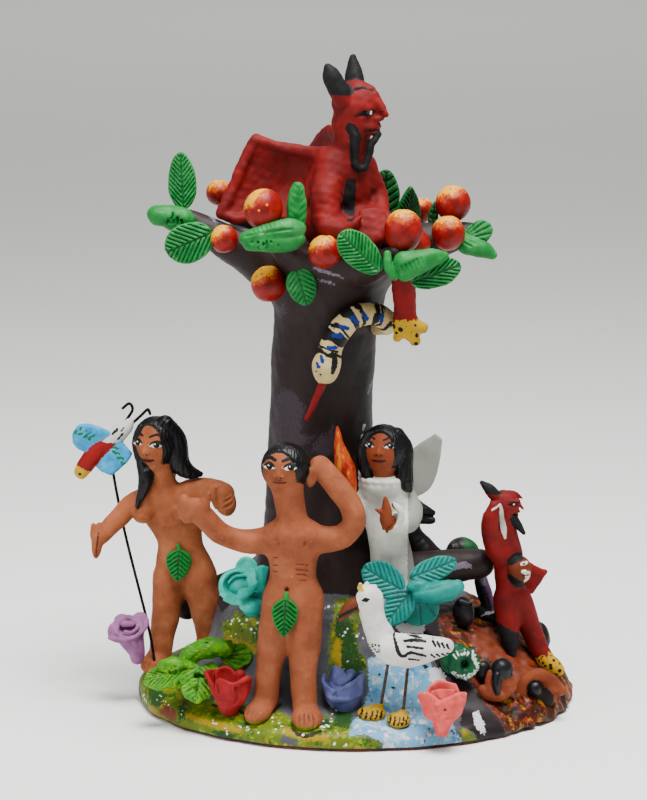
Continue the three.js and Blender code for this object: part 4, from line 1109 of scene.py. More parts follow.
MAN_RIBS = [[[-25.2, 73.9, 0.35], [-22.6, 73.7, 0.4], [-20.4, 73.2, 0.3]],
            [[-25, 71.5, 0.35], [-22.4, 71.3, 0.4], [-20, 70.6, 0.3]],
            [[-24.8, 69.5, 0.35], [-22, 69.3, 0.4], [-20, 68.4, 0.3]],
            [[-24, 67.2, 0.3], [-21.2, 66.9, 0.35]],
            [[-34.5, 76.2, 0.3], [-32.8, 76.4, 0.35]], [[-34.5, 73, 0.3], [-32.7, 73.1, 0.35]],
            [[-34.3, 70.3, 0.3], [-32.8, 70.4, 0.3]]]
LEG_GROOVE = [[-27.2, -61, 47, 0.4], [-27.8, -61.4, 40, 0.6], [-28.8, -61.2, 31, 0.9]]


def toe_cuts(foot, grooves):
    """Knife cuts that part the toes, each at its place across the foot."""
    start, end = 0.36 * foot.half[1], 0.9 * foot.half[1]
    return [Roll([[*foot.top(0.75 * u, start, 0.1), 0.35],
                  [*foot.top(0.9 * u, 0.5 * (start + end), 0.0), 0.6],
                  [*foot.top(u, end, 0.0), 0.45]], 1.0) for u in grooves]


def add_man_hand(clay):
    """The raised hand by the woman's breast: a mitten with its thumb up."""
    clay.add(Oval([-69.6, -62.4, 97.6], [3.4, 3.4, 6.4], (0, -8, 0)), 2.0)
    clay.add([[-63.6, -61.2, 97, 3.8], [-61.8, -62.2, 100.4, 2.4], [-60, -63, 104, 1]], 1.2, 1.5)
    clay.cut([[-66.8, -65.4, 102.4, 0.6], [-67.6, -66, 99.4, 0.4], [-68.6, -66.2, 96, 0.25]], 0.6, 1.5)
    clay.cut([[-71.6, -65.2, 93.6, 0.3], [-70.4, -66, 96.4, 0.35]], 0.4, 1.5)


def add_man_chest(clay):
    """Nipples as pressed discs, a navel, and knife cuts for the ribs."""
    for x in (-33.2, -22.8):
        clay.add(Oval(MAN_TORSO.front(x, 82.6, -0.1), [1.8, 1.1, 1.8]), 0.15)
        clay.cut(MAN_TORSO.line([[x + 0.7, 84.0, 0.22], [x + 1.3, 82.6, 0.3], [x + 0.7, 81.2, 0.22]], 0.5),
                 0.2)
    clay.cut(Oval(MAN_TORSO.front(-28.8, 63.4), [0.9, 1.2, 1.1]), 0.4)
    for rib in MAN_RIBS:
        clay.cut(MAN_TORSO.line(rib, 0.1), 0.35)


def make_man():
    clay = Clay([-80, -77, 5], [6, -42, 126], 0.42)
    clay.add(MAN_TORSO)
    clay.add(MAN_LIMBS, 3.0)
    toes = [cut for foot, grooves in zip(MAN_FEET, MAN_TOES) for cut in toe_cuts(foot, grooves)]
    clay.add(MAN_FEET, 2.2)
    clay.cut(toes + [Roll(LEG_GROOVE, 1.5)], 0.3)
    clay.add(MAN_HEAD, 2.2)
    model_face(clay, MAN_HEAD, 1.12)
    clay.add(Oval(MAN_EAR, [2.5, 1.8, 4.9], (0, 12, 0)), 0.6)
    clay.cut(Oval([MAN_EAR[0], MAN_EAR[1] - 2.0, MAN_EAR[2]], [1.2, 1.3, 3], (0, 12, 0)), 0.5)
    add_man_hand(clay)
    add_man_chest(clay)
    clay.knead(0.14, 9.0, 11)
    clay.add(MAN_HAIR, 0.3)
    piece = clay.piece("man_clay", "skin_light", "man")
    x, y, z = where = points_of(piece)
    paint_face(piece, MAN_HEAD, MAN_EYES, [[[-7, 4.8, 0.4], [-4.6, 6, 0.7], [-1.8, 5.4, 0.6]],
                                           [[1.4, 5.2, 0.6], [4.4, 6.1, 0.8], [7.6, 4.8, 0.4]]],
               [[[-2.6, -3.6, 0.35], [0.2, -3.7, 0.55], [2.8, -3.5, 0.35]]], [0.95, -1.6])
    cuts = drawn(MAN_RIBS + [[[-28.8, 63.3, 0.9]]], x, z, y < -57)
    # Painted shade in the cuts of the ribs, navel and toes, and in the groove between the legs.
    lay(piece, "painted_shade_in_cuts", np.minimum(cuts, nearest(toes + [Roll(LEG_GROOVE, 1.5)], where)) + 0.1)
    lay_hair(piece, [MAN_HAIR])
    finish = skin("fired terracotta, light", "#824325", "#622e12", "#9a5737", "#4a1107", MAN_HEAD, MAN_EYES)
    finish.coat("grass_rim", "#596700", thin=0.6)
    lay(piece, "grass_rim", np.where(y < -50, z - 9.4, PAINT_REACH))
    finish.cover(piece)


def fig_leaf(name, stalk, blade, node_name):
    """A bright green leaf with pressed veins on a short thick stalk."""
    low = np.minimum(stalk[0][:3], blade.box[0]) - 4
    high = np.maximum(stalk[0][:3], blade.box[1]) + 4
    clay = Clay(low, high, 0.3)
    clay.add(blade, 0.3)
    clay.add(stalk, 0.8, 1.0)
    piece = clay.piece(name, "leaf_green", node_name)
    lay_veins(piece, [blade])
    piece.data.materials.append(leaf_paint("acrylic leaf green, " + name, "#006a20", "#002c06", "#147e30"))


def make_fig_leaves():
    fig_leaf("man_leaf", [[-29, -61.2, 61.8, 0.9], [-29.2, -61.8, 59.4, 1.3], [-29.6, -62, 56, 0.9]],
             Blade([-29.3, -62, 59.8], [-30.2, -61.9, 43.2], 10.8, 2.2, fold=0.1, vein=2.0, press=0.8,
                   belly=0.34, blunt=0.9), "man_fig_leaf")
    fig_leaf("woman_leaf", [[-75.4, -5.6, 67.6, 0.8], [-75, -6.2, 65.4, 0.9], [-75, -6.4, 62, 0.8]],
             Blade([-75, -6.2, 65.6], [-75.6, -6.4, 51.8], 11.0, 2.2, fold=0.1, vein=2.0, press=0.6,
                   belly=0.3, blunt=0.7),
             "woman_fig_leaf")


# The woman

WOMAN_HEAD = Lump([-85, -1, 109.6], [8.4, 8.4, 10.6], -26.0)
WOMAN_EYES = [[-4.2, 2.3, 2.4, 1.2], [4.4, 2, 2.8, 1.3]]
WOMAN_HAIR = Combed(Without(Oval([-84.6, 0.4, 110.6], [10, 9.6, 11.4]),
                            WOMAN_HEAD.oval(-0.4, -1.0, 8.6, [7.8, 9, 12.4]),
                            Oval([-85, -1, 96], [13, 12, 7.5])), [-85, 2], 40, 0.45)
WOMAN_LOCKS = [
    [[-90.6, -2, 117.4, 2], [-92.8, -2, 111, 1.9], [-90.4, -4.6, 102.4, 2.4], [-88.6, -6.2, 97, 3.3],
     [-90.2, -7, 91, 2.3], [-92.6, -7.6, 84.8, 0.9]],
    [[-80.6, -2, 119, 4], [-76.2, -0.6, 112, 4.6], [-75, -1.2, 103, 4.6], [-71.4, -1, 98.6, 3.4],
     [-66, 0.4, 96.8, 1.4]],
    [[-84, 5, 116, 5], [-82, 7, 106, 5], [-80, 7, 97, 3.6], [-79, 6.4, 90, 1.8]],
]
WOMAN_TORSO = Stack([[52, -73, 2, 9.6, 6.4], [58, -73.4, 2, 11.6, 7.8], [67, -74.9, 2, 9.9, 6.9],
                     [79, -78.4, 1.4, 12.8, 7], [90, -79.6, 1, 11.6, 5.8]])
WOMAN_LIMBS = [
    [[-80.5, 1, 88, 6.4], [-82, -0.4, 95, 5.4], [-84, -1, 104, 5.6]],
    [[-87, 0, 86.4, 6.2], [-95.4, -1.4, 83.4, 4.9], [-101, -4.6, 78.4, 4.2], [-107.5, -8.8, 72.6, 3.9]],
    [[-70, 1, 88.6, 6.2], [-62, 1.5, 90, 5], [-56, -1, 89, 4.6]],
    [[-79.2, 2, 52, 7.6], [-81.2, 1.4, 36, 6.3], [-83, 0, 24, 5.2], [-84.3, -1, 16, 4.9]],
    [[-67, 2, 52, 7.8], [-64.2, 3.4, 36, 6.8], [-62.8, 5, 25, 5.7], [-62.6, 5.6, 20, 5.4]],
]
WOMAN_FEET = [Lump([-86.4, -4.6, 15.6], [5.4, 7.8, 4], -14, -12),
              Lump([-63.6, 2, 20.4], [5.4, 7, 3.8], 6, -12)]
WOMAN_TOES = [[-2.8, -0.8, 1.4, 3.4], [-1.6, 1.6]]
FIST_GROOVES = [
    [[-59.8, -12.2, 92.6, 0.3], [-58, -12.8, 91.4, 0.45], [-56.4, -12, 91, 0.3]],
    [[-58.6, -12.4, 88.2, 0.3], [-56, -12.8, 89.6, 0.5], [-53.2, -11, 91, 0.3]],
    [[-58.4, -12.4, 86, 0.3], [-55.6, -12.8, 87.6, 0.5], [-52.4, -10.8, 89.4, 0.3]],
    [[-57.6, -12.2, 84, 0.3], [-55.2, -12.4, 85.4, 0.5], [-52, -10.6, 87.2, 0.3]],
]


def add_woman_hands(clay):
    """The closed hand with finger grooves and thumb, and the open hand that hangs at her side."""
    clay.add(Oval([-55.4, -7.4, 87.4], [4.8, 5.2, 7], (0, -14, 0)), 1.4)
    clay.add([[-60.6, -9.8, 93, 1.6], [-60, -11, 89.4, 1.8], [-58.8, -10.6, 85.4, 1.3]], 0.7, 1.2)
    clay.cut(FIST_GROOVES, 0.35, 1.0)
    clay.add(Oval([-109.2, -9.5, 70.6], [2.6, 3.6, 8.2], (0, 6, 0)), 1.6)
    clay.add([[-109.6, -10, 73, 2.4], [-110.6, -11, 77.6, 1.2]], 0.8, 1.2)
    clay.cut([[-108.4, -13.2, 74.6, 0.5], [-109.2, -13.6, 69, 0.5], [-109.8, -13.2, 64.4, 0.3]], 0.5, 1.2)


def make_woman():
    clay = Clay([-116, -17, 9], [-46, 16, 125], 0.42)
    clay.add(WOMAN_TORSO)
    clay.add(WOMAN_LIMBS, 3.0)
    toes = [cut for foot, grooves in zip(WOMAN_FEET, WOMAN_TOES) for cut in toe_cuts(foot, grooves)]
    clay.add(WOMAN_FEET, 2.0)
    clay.cut(toes, 0.3)
    for x, y, z in ((-90.4, -5.2, 80.8), (-74, -5, 80.4)):
        clay.add(Oval([x, y, z], [4.3, 3.6, 4.2]), 1.6)
        clay.add(Oval([x - 0.4, y - 3.4, z - 0.6], [1, 0.7, 1]), 0.4)
    clay.add(WOMAN_HEAD, 2.0)
    model_face(clay, WOMAN_HEAD, 1.0, eye_v=2.1, tip_v=-1.2, mouth_v=-4.9)
    add_woman_hands(clay)
    clay.knead(0.14, 9.0, 12)
    locks = combed_locks(WOMAN_LOCKS)
    clay.add([WOMAN_HAIR] + locks, 0.5)
    clay.cut([[-89.6, -8.6, 117.6, 0.4], [-87.6, -4, 121, 0.5], [-86.4, 1, 121.8, 0.4]], 0.4, 1.0)
    piece = clay.piece("woman_clay", "skin_brown", "woman")
    x, y, z = where = points_of(piece)
    paint_face(piece, WOMAN_HEAD, WOMAN_EYES, [[[-6.6, 5, 0.3], [-4.4, 5.9, 0.5], [-2.2, 5.4, 0.4]],
                                               [[1.4, 5.2, 0.4], [4.4, 6.2, 0.55], [7.4, 4.6, 0.3]]],
               [[[-2.4, -4.7, 0.5], [0.2, -5, 0.85], [2.8, -4.7, 0.5]]], [0.95, -2.3])
    palm = drawn([[[-108.4, 74.6, 0.3], [-109.2, 69, 0.4], [-109.8, 64.4, 0.3]]], x, z, y < -8)
    # Painted shade in the palm's cut and between the toes.
    lay(piece, "painted_shade_in_cuts", np.minimum(palm, nearest(toes, where) + 0.1))
    lay_hair(piece, [WOMAN_HAIR] + locks)
    finish = skin("fired terracotta, brown", "#8e4c2a", "#6a3012", "#a86440", "#3a0502", WOMAN_HEAD,
                  WOMAN_EYES)
    finish.cover(piece)


# The angel

ANGEL_HEAD = Lump([10.4, -28.4, 113], [7.9, 8, 9.8], -13.0)
ANGEL_EYES = [[-4.4, 4.1, 2.2, 1.1], [4.4, 4.1, 2.6, 1.1]]
ANGEL_HAIR = Combed(Without(Oval([10.8, -27.2, 114], [9.8, 9.4, 10.6]),
                            ANGEL_HEAD.oval(-0.4, 0.2, 8.4, [7.2, 9, 11]),
                            Oval([10.4, -30, 101], [12, 12, 7.5])), [11, -26], 38, 0.45)
ANGEL_LOCKS = [
    [[4.6, -29, 120, 2.4], [2.2, -29.4, 114, 2.8], [2.8, -31, 107.6, 2.8], [4.4, -32, 103.6, 1.9]],
    [[16.4, -27.6, 120.4, 3], [19.4, -27.4, 114.4, 3.6], [19, -28.6, 107, 4], [20, -30, 101, 3.2],
     [21.6, -31.4, 98, 1.4]],
    [[11, -22, 118, 5.4], [12, -20.5, 108, 5.6], [13, -20.6, 99, 4.2], [13, -20, 92, 2]],
]
ANGEL_ROBE = Stack([[44, 15.8, -26, 10.4, 9], [64, 14.8, -26, 9.2, 7.8], [77, 12.8, -26, 8.7, 6.8],
                    [90, 12, -26, 10.4, 6.8], [99, 11.4, -26.5, 7, 5.4]], 4.0)
ANGEL_SLEEVES = [
    [[17.6, -26, 95, 5.4], [22, -28, 89, 5.2], [21, -33, 84.6, 4.8], [15.6, -37.4, 85.4, 4.4]],
    [[6, -26, 95, 5.2], [1.6, -28.4, 91, 4.6], [-1.6, -31.4, 89, 3.8]],
]
ANGEL_WINGS = [
    [[[17, -21.5, 94], [17, -21, 101], [17, -21, 107]],
     [[24.6, -17.6, 92.4], [24.6, -17.2, 102], [24.4, -17, 111.6]],
     [[31.4, -16, 98.2], [31, -16, 107], [29.6, -16, 115]],
     [[34.4, -16, 113.6], [34.4, -16, 115.4], [32.4, -16, 117.2]]],
    [[[9, -21, 94], [9, -20.6, 100], [9, -20, 107]],
     [[4, -17, 93], [3.4, -16, 102], [3.8, -14.6, 112.6]],
     [[-1, -12.6, 98], [-0.4, -12, 108], [1.4, -11.8, 118]],
     [[0.2, -11.6, 117.4], [1.2, -11.6, 119.4], [2.8, -12, 120.8]]],
]


def add_angel_hand(clay):
    clay.cut(Oval([14.6, -39.6, 87], [3, 3, 3.4], (0, -30, 0)), 0.8)
    clay.add([[14.9, -39.4, 93.4, 1.3], [17.6, -39.6, 90.6, 1.5], [16.8, -39.8, 85.6, 1.6],
              [12.4, -40, 82.6, 1.3]], 0.5, 1.2)
    clay.add([[14, -38.2, 87, 2], [11.6, -40.4, 87.2, 2.8], [11.8, -40.8, 91, 2.5],
              [11.3, -41, 96.6, 0.9]], 0.4, 1.2)
    clay.add([[11, -41.2, 90.4, 1.9], [7.4, -41.6, 91.9, 0.8]], 0.7, 1.2)
    clay.add([[11.4, -40.6, 86.6, 2.2], [10.6, -40, 83.6, 1]], 0.7, 1.2)


def angel_hand_shapes():
    """What is painted as skin on the raised hand: a little thicker than the hand itself."""
    return shapes_of([[[13.6, -39.6, 86.4, 1.6], [11.6, -40.4, 86.8, 3.2], [11.8, -40.8, 90.4, 3],
                       [11.3, -41, 95.6, 1.6]],
                      [[11, -41.2, 90.4, 2.4], [7.4, -41.6, 91.9, 1.4]],
                      [[11.4, -40.6, 86.6, 2.6], [10.6, -40, 83.6, 1.6]]], 1.2)


def make_angel():
    clay = Clay([-9, -47, 40], [38, -6, 127], 0.42)
    clay.add(ANGEL_ROBE)
    clay.add(ANGEL_SLEEVES, 2.0)
    clay.add([[11.2, -27, 98, 5.2], [10.8, -28, 105, 5]], 1.5)
    clay.add(Oval([9.6, -28.6, 99.6], [9.4, 7.6, 5]), 2.0)
    for angle in np.radians(np.arange(150, 400, 21)):
        clay.add(Oval([9.8 + 8.0 * math.cos(angle), -28.4 + 6.6 * math.sin(angle), 103.2 - 0.3 * angle],
                      [1.9, 1.7, 1.5]), 0.5)
    clay.add([panel(rows, 3.0, 1.1) for rows in ANGEL_WINGS], 0.8)
    clay.add(ANGEL_HEAD, 1.6)
    model_face(clay, ANGEL_HEAD, 0.95, eye_v=4.1, tip_v=1.6, mouth_v=-1.9)
    add_angel_hand(clay)
    clay.knead(0.14, 9.0, 13)
    locks = combed_locks(ANGEL_LOCKS)
    clay.add([ANGEL_HAIR] + locks, 0.5)
    piece = clay.piece("angel_clay", "robe_white", "angel")
    x, y, z = where = points_of(piece)
    paint_face(piece, ANGEL_HEAD, ANGEL_EYES, [[[-6.2, 6.2, 0.3], [-4.2, 7, 0.45], [-2.4, 6.6, 0.35]],
                                               [[1.6, 6.5, 0.4], [4.2, 7.3, 0.5], [6.8, 5.8, 0.3]]],
               [[[-2.4, -1.8, 0.5], [0, -2, 0.8], [2.4, -1.8, 0.5]]], [0.9, 0.5])
    neck = Roll([[11, -29, 103.6, 5], [10.8, -28.6, 108, 6]])
    face = np.where(z > 104, ANGEL_HEAD.distance(where) - 2.6, PAINT_REACH)
    bare = np.minimum(nearest(angel_hand_shapes(), where),
                      np.where(z > 103.6, neck.distance(where), PAINT_REACH)) - 0.9
    lay(piece, "skin", np.minimum(face, bare))
    lay_hair(piece, [ANGEL_HAIR] + locks)
    lay(piece, "wing", 20.8 - x + 0.2 * np.clip(z - 104, 0, 6))
    robe_paint().cover(piece)


def robe_paint():
    """White acrylic on fired clay: dull, greyer and whiter from place to place, with small pits and worn
    specks.
    """
    finish = Finish("acrylic white on fired clay, robe", "#c8c9bf", 0.68)
    finish.mottle("#979b94", "#dadad2", 8.0, 0.5)
    finish.flecks("#4c433b", 0.8, 0.1, 0.7)
    finish.coats(("wing", "#8a8a82", 0.2), ("skin", "#753213", 0.15))
    paint_head(finish, "#3a0502", ANGEL_HEAD, ANGEL_EYES)
    finish.coat("hair", HAIR, 0.15, roughness=0.4)
    return finish


# The horned figures

def red_paint(name):
    """Dull brushed red acrylic, darker and lighter from place to place, with small patches of salmon red."""
    finish = Finish(name, "#620000", 0.7)
    finish.mottle("#3c0000", "#7e0200", 9.0, 0.5)
    finish.mottle("#4c0000", "#8c1c15", 3.0, 0.15)
    return finish


TREE_HEAD = Lump([-0.6, -14, 254], [8.6, 10.2, 11.2], 66.0)
TREE_TORSO = Stack([[197, -8, -10, 11, 9.6], [210, -7, -11, 11.6, 10], [222, -5.6, -12, 11.2, 9.2],
                    [231, -5, -12, 9.4, 7.6], [236, -5, -12, 6.6, 6]])
TREE_LIMBS = [
    [[-5, -12, 230, 8], [-3, -13, 237, 7.8], [-2.4, -13.4, 246, 8.4]],
    [[-10.6, -16, 231, 6.4], [-12.6, -21, 222, 6.8], [-13.4, -26.4, 213, 6.2], [-12.4, -31, 207.4, 4.8],
     [-6, -35, 207, 3.9], [-1.8, -36.4, 209.2, 3], [0.8, -37, 212.2, 1]],
    [[2, -8, 228, 6.4], [8, -7, 217, 4.8], [9.5, -16, 208.5, 4]],
    [[-13, -13, 231, 4.6], [-18, -14.6, 221, 4.4], [-22, -14, 211, 3.4]],
    [[-5, -13, 205, 9], [6, -20, 206, 7.6], [14.4, -25.5, 202.5, 6.6], [17.8, -27, 192, 5.8],
     [19, -26.4, 178, 5.2], [19.4, -26, 168, 4.8]],
    [[-14, -16, 205, 9], [-6, -29, 204, 6.8], [6, -34, 202.6, 4.6]],
]
TREE_THIGH = [[[1.6, -32, 213.4], [6, -31, 214], [10.6, -30, 213]],
              [[2, -35, 207], [7, -35, 207.6], [12, -34, 206]],
              [[5, -36.6, 202.4], [8, -36.8, 202.8], [11, -36, 201.6]]]
TREE_HORNS = [
    [[-5.6, -18, 257.6, 4.8], [-9.2, -20, 264, 4.4], [-11.2, -20.4, 268, 3.6], [-12.4, -20.6, 270.6, 2.2]],
    [[-1, -9, 259, 4.8], [-1.4, -8.2, 265, 4.1], [-1.7, -7.6, 269.6, 3.3], [-1.9, -7.2, 273.2, 2.1]],
]
TREE_BEARD = [
    [[-3, -20.8, 246.4, 1.6], [-1.2, -21.2, 242.6, 1.9], [-1.2, -21, 236.8, 1.9], [-0.4, -20.8, 230.8, 1.9],
     [2.6, -20.2, 229.8, 1.9], [4.8, -19.6, 236, 1.9], [5.6, -19.4, 239.6, 1.9], [8.4, -18.4, 243.2, 1.5]],
]
TREE_WINGS = [
    [[[-8, -14, 235.4], [-11, -14, 227], [-13, -15, 217], [-14, -16, 207]],
     [[-29, -7, 237.2], [-28, -4, 228], [-31, -4.6, 217], [-35, -9.4, 208]],
     [[-42.6, -5.4, 240], [-47.6, -6, 230], [-52.6, -8.4, 219], [-57, -11, 208.6]]],
    [[[-6, -8, 240], [-6.4, -6, 230], [-7, -4, 219], [-8, -6, 208]],
     [[-10.5, 8, 243], [-11, 9, 233], [-12.5, 12, 221], [-14, 16, 209.6]],
     [[-15, 18, 239], [-16, 19.5, 231], [-17.6, 22, 222], [-19.4, 25, 213.6]],
     [[-20, 28, 230.2], [-21.4, 30.4, 226.6], [-23, 33, 222.8], [-24.4, 35.4, 219.8]]],
]
WING_BONES = [
    [[-8, -12, 234.4, 3.4], [-19, -9.6, 234.2, 2.4], [-30, -7.2, 236.4, 2.2], [-41.6, -5.4, 239.4, 2.5]],
    [[-41.6, -5.4, 239.4, 2.5], [-45.4, -6, 233, 2.8], [-50.6, -8, 221, 2.7], [-56.2, -11, 209.8, 2.3]],
    [[-56.2, -11, 209.8, 2.3], [-50, -12.5, 207.4, 2.5], [-44, -12, 208.8, 1.8]],
    [[-5, -8, 237, 3], [-10.5, 8, 241, 2.2], [-15, 18, 237.2, 2], [-20, 28, 228.8, 1.8],
     [-24, 34.6, 220.6, 1.6]],
]
YELLOW_FOOT = [
    [[19.4, -26.4, 168, 5.4], [22.4, -27, 165.4, 4.2], [26.8, -27.6, 165, 2.7]],
    [[19.6, -26.8, 166.2, 4.8], [22, -27.6, 162.2, 3.3], [23.4, -28, 159.9, 2.5]],
    [[18.4, -26.6, 166, 4.2], [17.2, -27.2, 162.8, 3], [16.2, -27.6, 161, 2.3]],
]


def add_tree_face(clay):
    """A sharp profile that runs straight from the top of the head to the nose, and a heavy jaw."""
    head = TREE_HEAD
    clay.add(head.oval(0, -7.4, 5.0, [6.2, 5.6, 4.6]), 1.5)
    clay.add(head.ridge([[0, 7, -1.8, 2.2], [0, 3.2, -1, 2.2], [0, -0.6, 1.4, 2], [0, -2.8, 3.4, 1.5]]), 1.4)
    clay.add(head.ridge([[-1.4, -4.2, 0.4, 1.5], [0, -4, 1.6, 1.7], [1.4, -4.2, 0.4, 1.5]]), 1.2)
    for v, reach, r in ((-7.5, 10.2, 1.1), (-9.9, 9.8, 1.2)):
        clay.add([[*head.at(-2.6, v, reach - 1.8), 0.8], [*head.at(0, v, reach), r],
                  [*head.at(2.6, v, reach - 1.8), 0.8]], 0.7, 1.0)
    clay.cut([[*head.at(-5.0, -9.2, 6.8), 0.4], [*head.at(-1.6, -8.7, 10.4), 0.4],
              [*head.at(2.4, -8.7, 10.2), 0.35]], 0.3, 1.0)
    clay.cut(head.ridge([[-7.6, -2.6, 0.4, 0.9], [-4.6, -1.8, 0.4, 1.2], [-2.2, -1.4, 0.6, 0.7]]), 0.9)
    clay.add(head.knob(-4.6, -1.9, -0.9, [2.6, 1.1, 1.5]), 0.6)
    clay.cut(head.ridge([[-6.2, 7.4, 0.3, 0.3], [-3.6, 8.4, 0.3, 0.45], [-1.4, 7, 0.5, 0.35]]), 0.3)
    clay.add(Oval([-9, -16, 255], [2.2, 2.6, 3.6]), 1.5)


def make_tree_figure():
    clay = Clay([-64, -43, 153], [32, 42, 279], 0.55)
    clay.add(TREE_TORSO)
    clay.add(TREE_LIMBS, 3.0)
    clay.add([panel(rows, 3.4, 1.2) for rows in TREE_WINGS], 4.0)
    clay.add(WING_BONES, 1.2)
    clay.add(panel(TREE_THIGH, 3.0, 1.2), 1.0)
    clay.add(TREE_HEAD, 2.5)
    add_tree_face(clay)
    horns, beard = shapes_of(TREE_HORNS, 1.2), shapes_of(TREE_BEARD, 1.2)
    foot = shapes_of(YELLOW_FOOT, 1.5)
    clay.add(horns + beard, 0.8)
    clay.add(foot, 0.7)
    clay.knead(0.2, 11.0, 21)
    clay.knead(0.1, 3.5, 22)
    piece = clay.piece("tree_figure_clay", "red_paint", "horned_figure_in_tree")
    x, y, z = where = points_of(piece)
    u, v, w = TREE_HEAD.local(where)
    lay(piece, "horns", nearest(horns, where) - 0.6 + np.clip(260.5 - z, 0, 2))
    chest = drawn([[[-2.8, 223.4, 2.2], [-3.4, 218, 2.6], [-3.4, 212.6, 2.2]]], x, z, y < -16)
    lay(piece, "beard", np.minimum(nearest(beard, where) - 0.45, chest))
    lines = [[[-7.6, -2.7, 0.3], [-5.6, -1.7, 1.2], [-4.2, -1.6, 1.4], [-1.6, -1.2, 0.3]],
             [[-6.2, 7.4, 0.3], [-3.6, 8.4, 0.5], [-1.4, 7, 0.35]], [[-5, -9.2, 0.3], [-1.6, -8.7, 0.5]]]
    lay(piece, "black", drawn(lines, u, v, w > 1.0))
    lay(piece, "yellow", nearest(foot, where) - 0.4 + np.clip(z - 168.0, 0.0, 3.0))
    finish = red_paint("acrylic red on fired clay, seated figure")
    finish.coats(("yellow", "#ae8600", 0.5), ("black", "#030203", 0.1))
    finish.dots([TREE_HEAD.front(-4.6, -1.2), TREE_HEAD.front(-4.6, -1.9)], 0.5, "#dad6cb")
    finish.coats(("horns", "#0a0a0c", 0.2), ("beard", "#060505", 0.25))
    finish.share_of_spots("yellow", "#060403", 3.2, 0.4)
    finish.cover(piece, 0.07, 0.16)


STAND_HEAD = Lump([61.6, -16, 87.6], [5.6, 6.4, 6.6], 62.0)
STAND_TORSO = Stack([[45, 65, -16, 6.6, 5.6], [58, 64, -16, 6.4, 5.6], [70, 63, -16, 6, 5.2],
                     [78, 62.4, -16, 4.4, 4.2]], 3.0)
STAND_LIMBS = [
    [[62.4, -16, 76, 4.4], [61.8, -16, 84, 4.6]],
    [[60.4, -19, 66, 4.4], [57.4, -21, 70, 4.2], [55.4, -22, 77, 3.9], [55.6, -22, 84, 3.6],
     [57, -21.8, 88.4, 2.6]],
    [[63, -16.4, 47, 6], [63.6, -19.4, 37, 5], [64.2, -21.6, 31, 3.9], [64.8, -23, 25, 2.2]],
    [[68, -15, 47, 5.6], [71.6, -14.4, 38, 5.1], [77, -15, 25, 4.2], [79.6, -16, 21, 4.1]],
]
STAND_HORNS = [
    [[58, -17.4, 91.6, 2.6], [55.2, -17.2, 94.6, 2.4], [52, -17, 97.4, 1.2]],
    [[63.6, -13.4, 91.6, 2], [66.4, -13, 91.2, 1.5], [69.2, -13, 89.8, 0.7]],
]
STAND_BEARD = [[65.4, -18.6, 82.4, 1.9], [67.4, -18.4, 79.4, 1.9], [69.6, -18, 76, 1]]
STAND_FOOT = [[79.4, -16.2, 20.6, 3.9], [82.6, -17.4, 18.6, 3.4], [85.6, -18.4, 16.4, 2.4]]
STAND_TAIL = [
    [[68.6, -12, 61.6, 2.6], [73.6, -10.4, 58, 2.6], [77, -9.4, 56.4, 2.2], [79.4, -9.4, 57, 1]],
    [[75.6, -9.6, 57, 2.4], [75.2, -10, 53, 2.2], [73.6, -11, 49.4, 1.6]],
]
BELLY_FACE = Lump([67.9, -20.4, 60.6], [5.4, 4.3, 6.4], 34.0)
STAND_FIN = [[[70, -11, 61], [70, -11, 54], [70.2, -11, 47]],
             [[74, -10.6, 59.2], [74, -10.8, 54], [73.6, -11, 49.6]],
             [[78.2, -10, 56.8], [77.6, -10.2, 55], [76.8, -10.4, 53.2]]]


def add_stand_face(clay):
    head = STAND_HEAD
    clay.add(head.ridge([[0, 2.4, 0, 1], [0, 0.6, 0.9, 0.9], [0, -0.8, 2.2, 0.8]]), 0.8)
    clay.add(head.ridge([[-3, 2.6, 0, 0.6], [0, 2.2, 0.5, 0.7], [3, 2.6, 0, 0.6]]), 0.7)
    clay.add(head.ridge([[-1.6, -2.4, 0.3, 0.7], [1.4, -2.4, 0.3, 0.7]]), 0.5)
    clay.add(head.ridge([[-1.4, -3.9, 0.3, 0.7], [1.2, -3.9, 0.3, 0.7]]), 0.5)
    clay.cut(head.ridge([[-3.2, -3.1, 0.6, 0.3], [2.4, -3.1, 0.9, 0.3]]), 0.25)
    clay.cut(head.ridge([[-4.4, 1.6, 0.2, 0.5], [-1.6, 0.9, 0.5, 0.4]]), 0.4)
    clay.cut(head.ridge([[-5, 4.6, 0.2, 0.3], [-3.6, 3.6, 0.3, 0.3]]), 0.25)


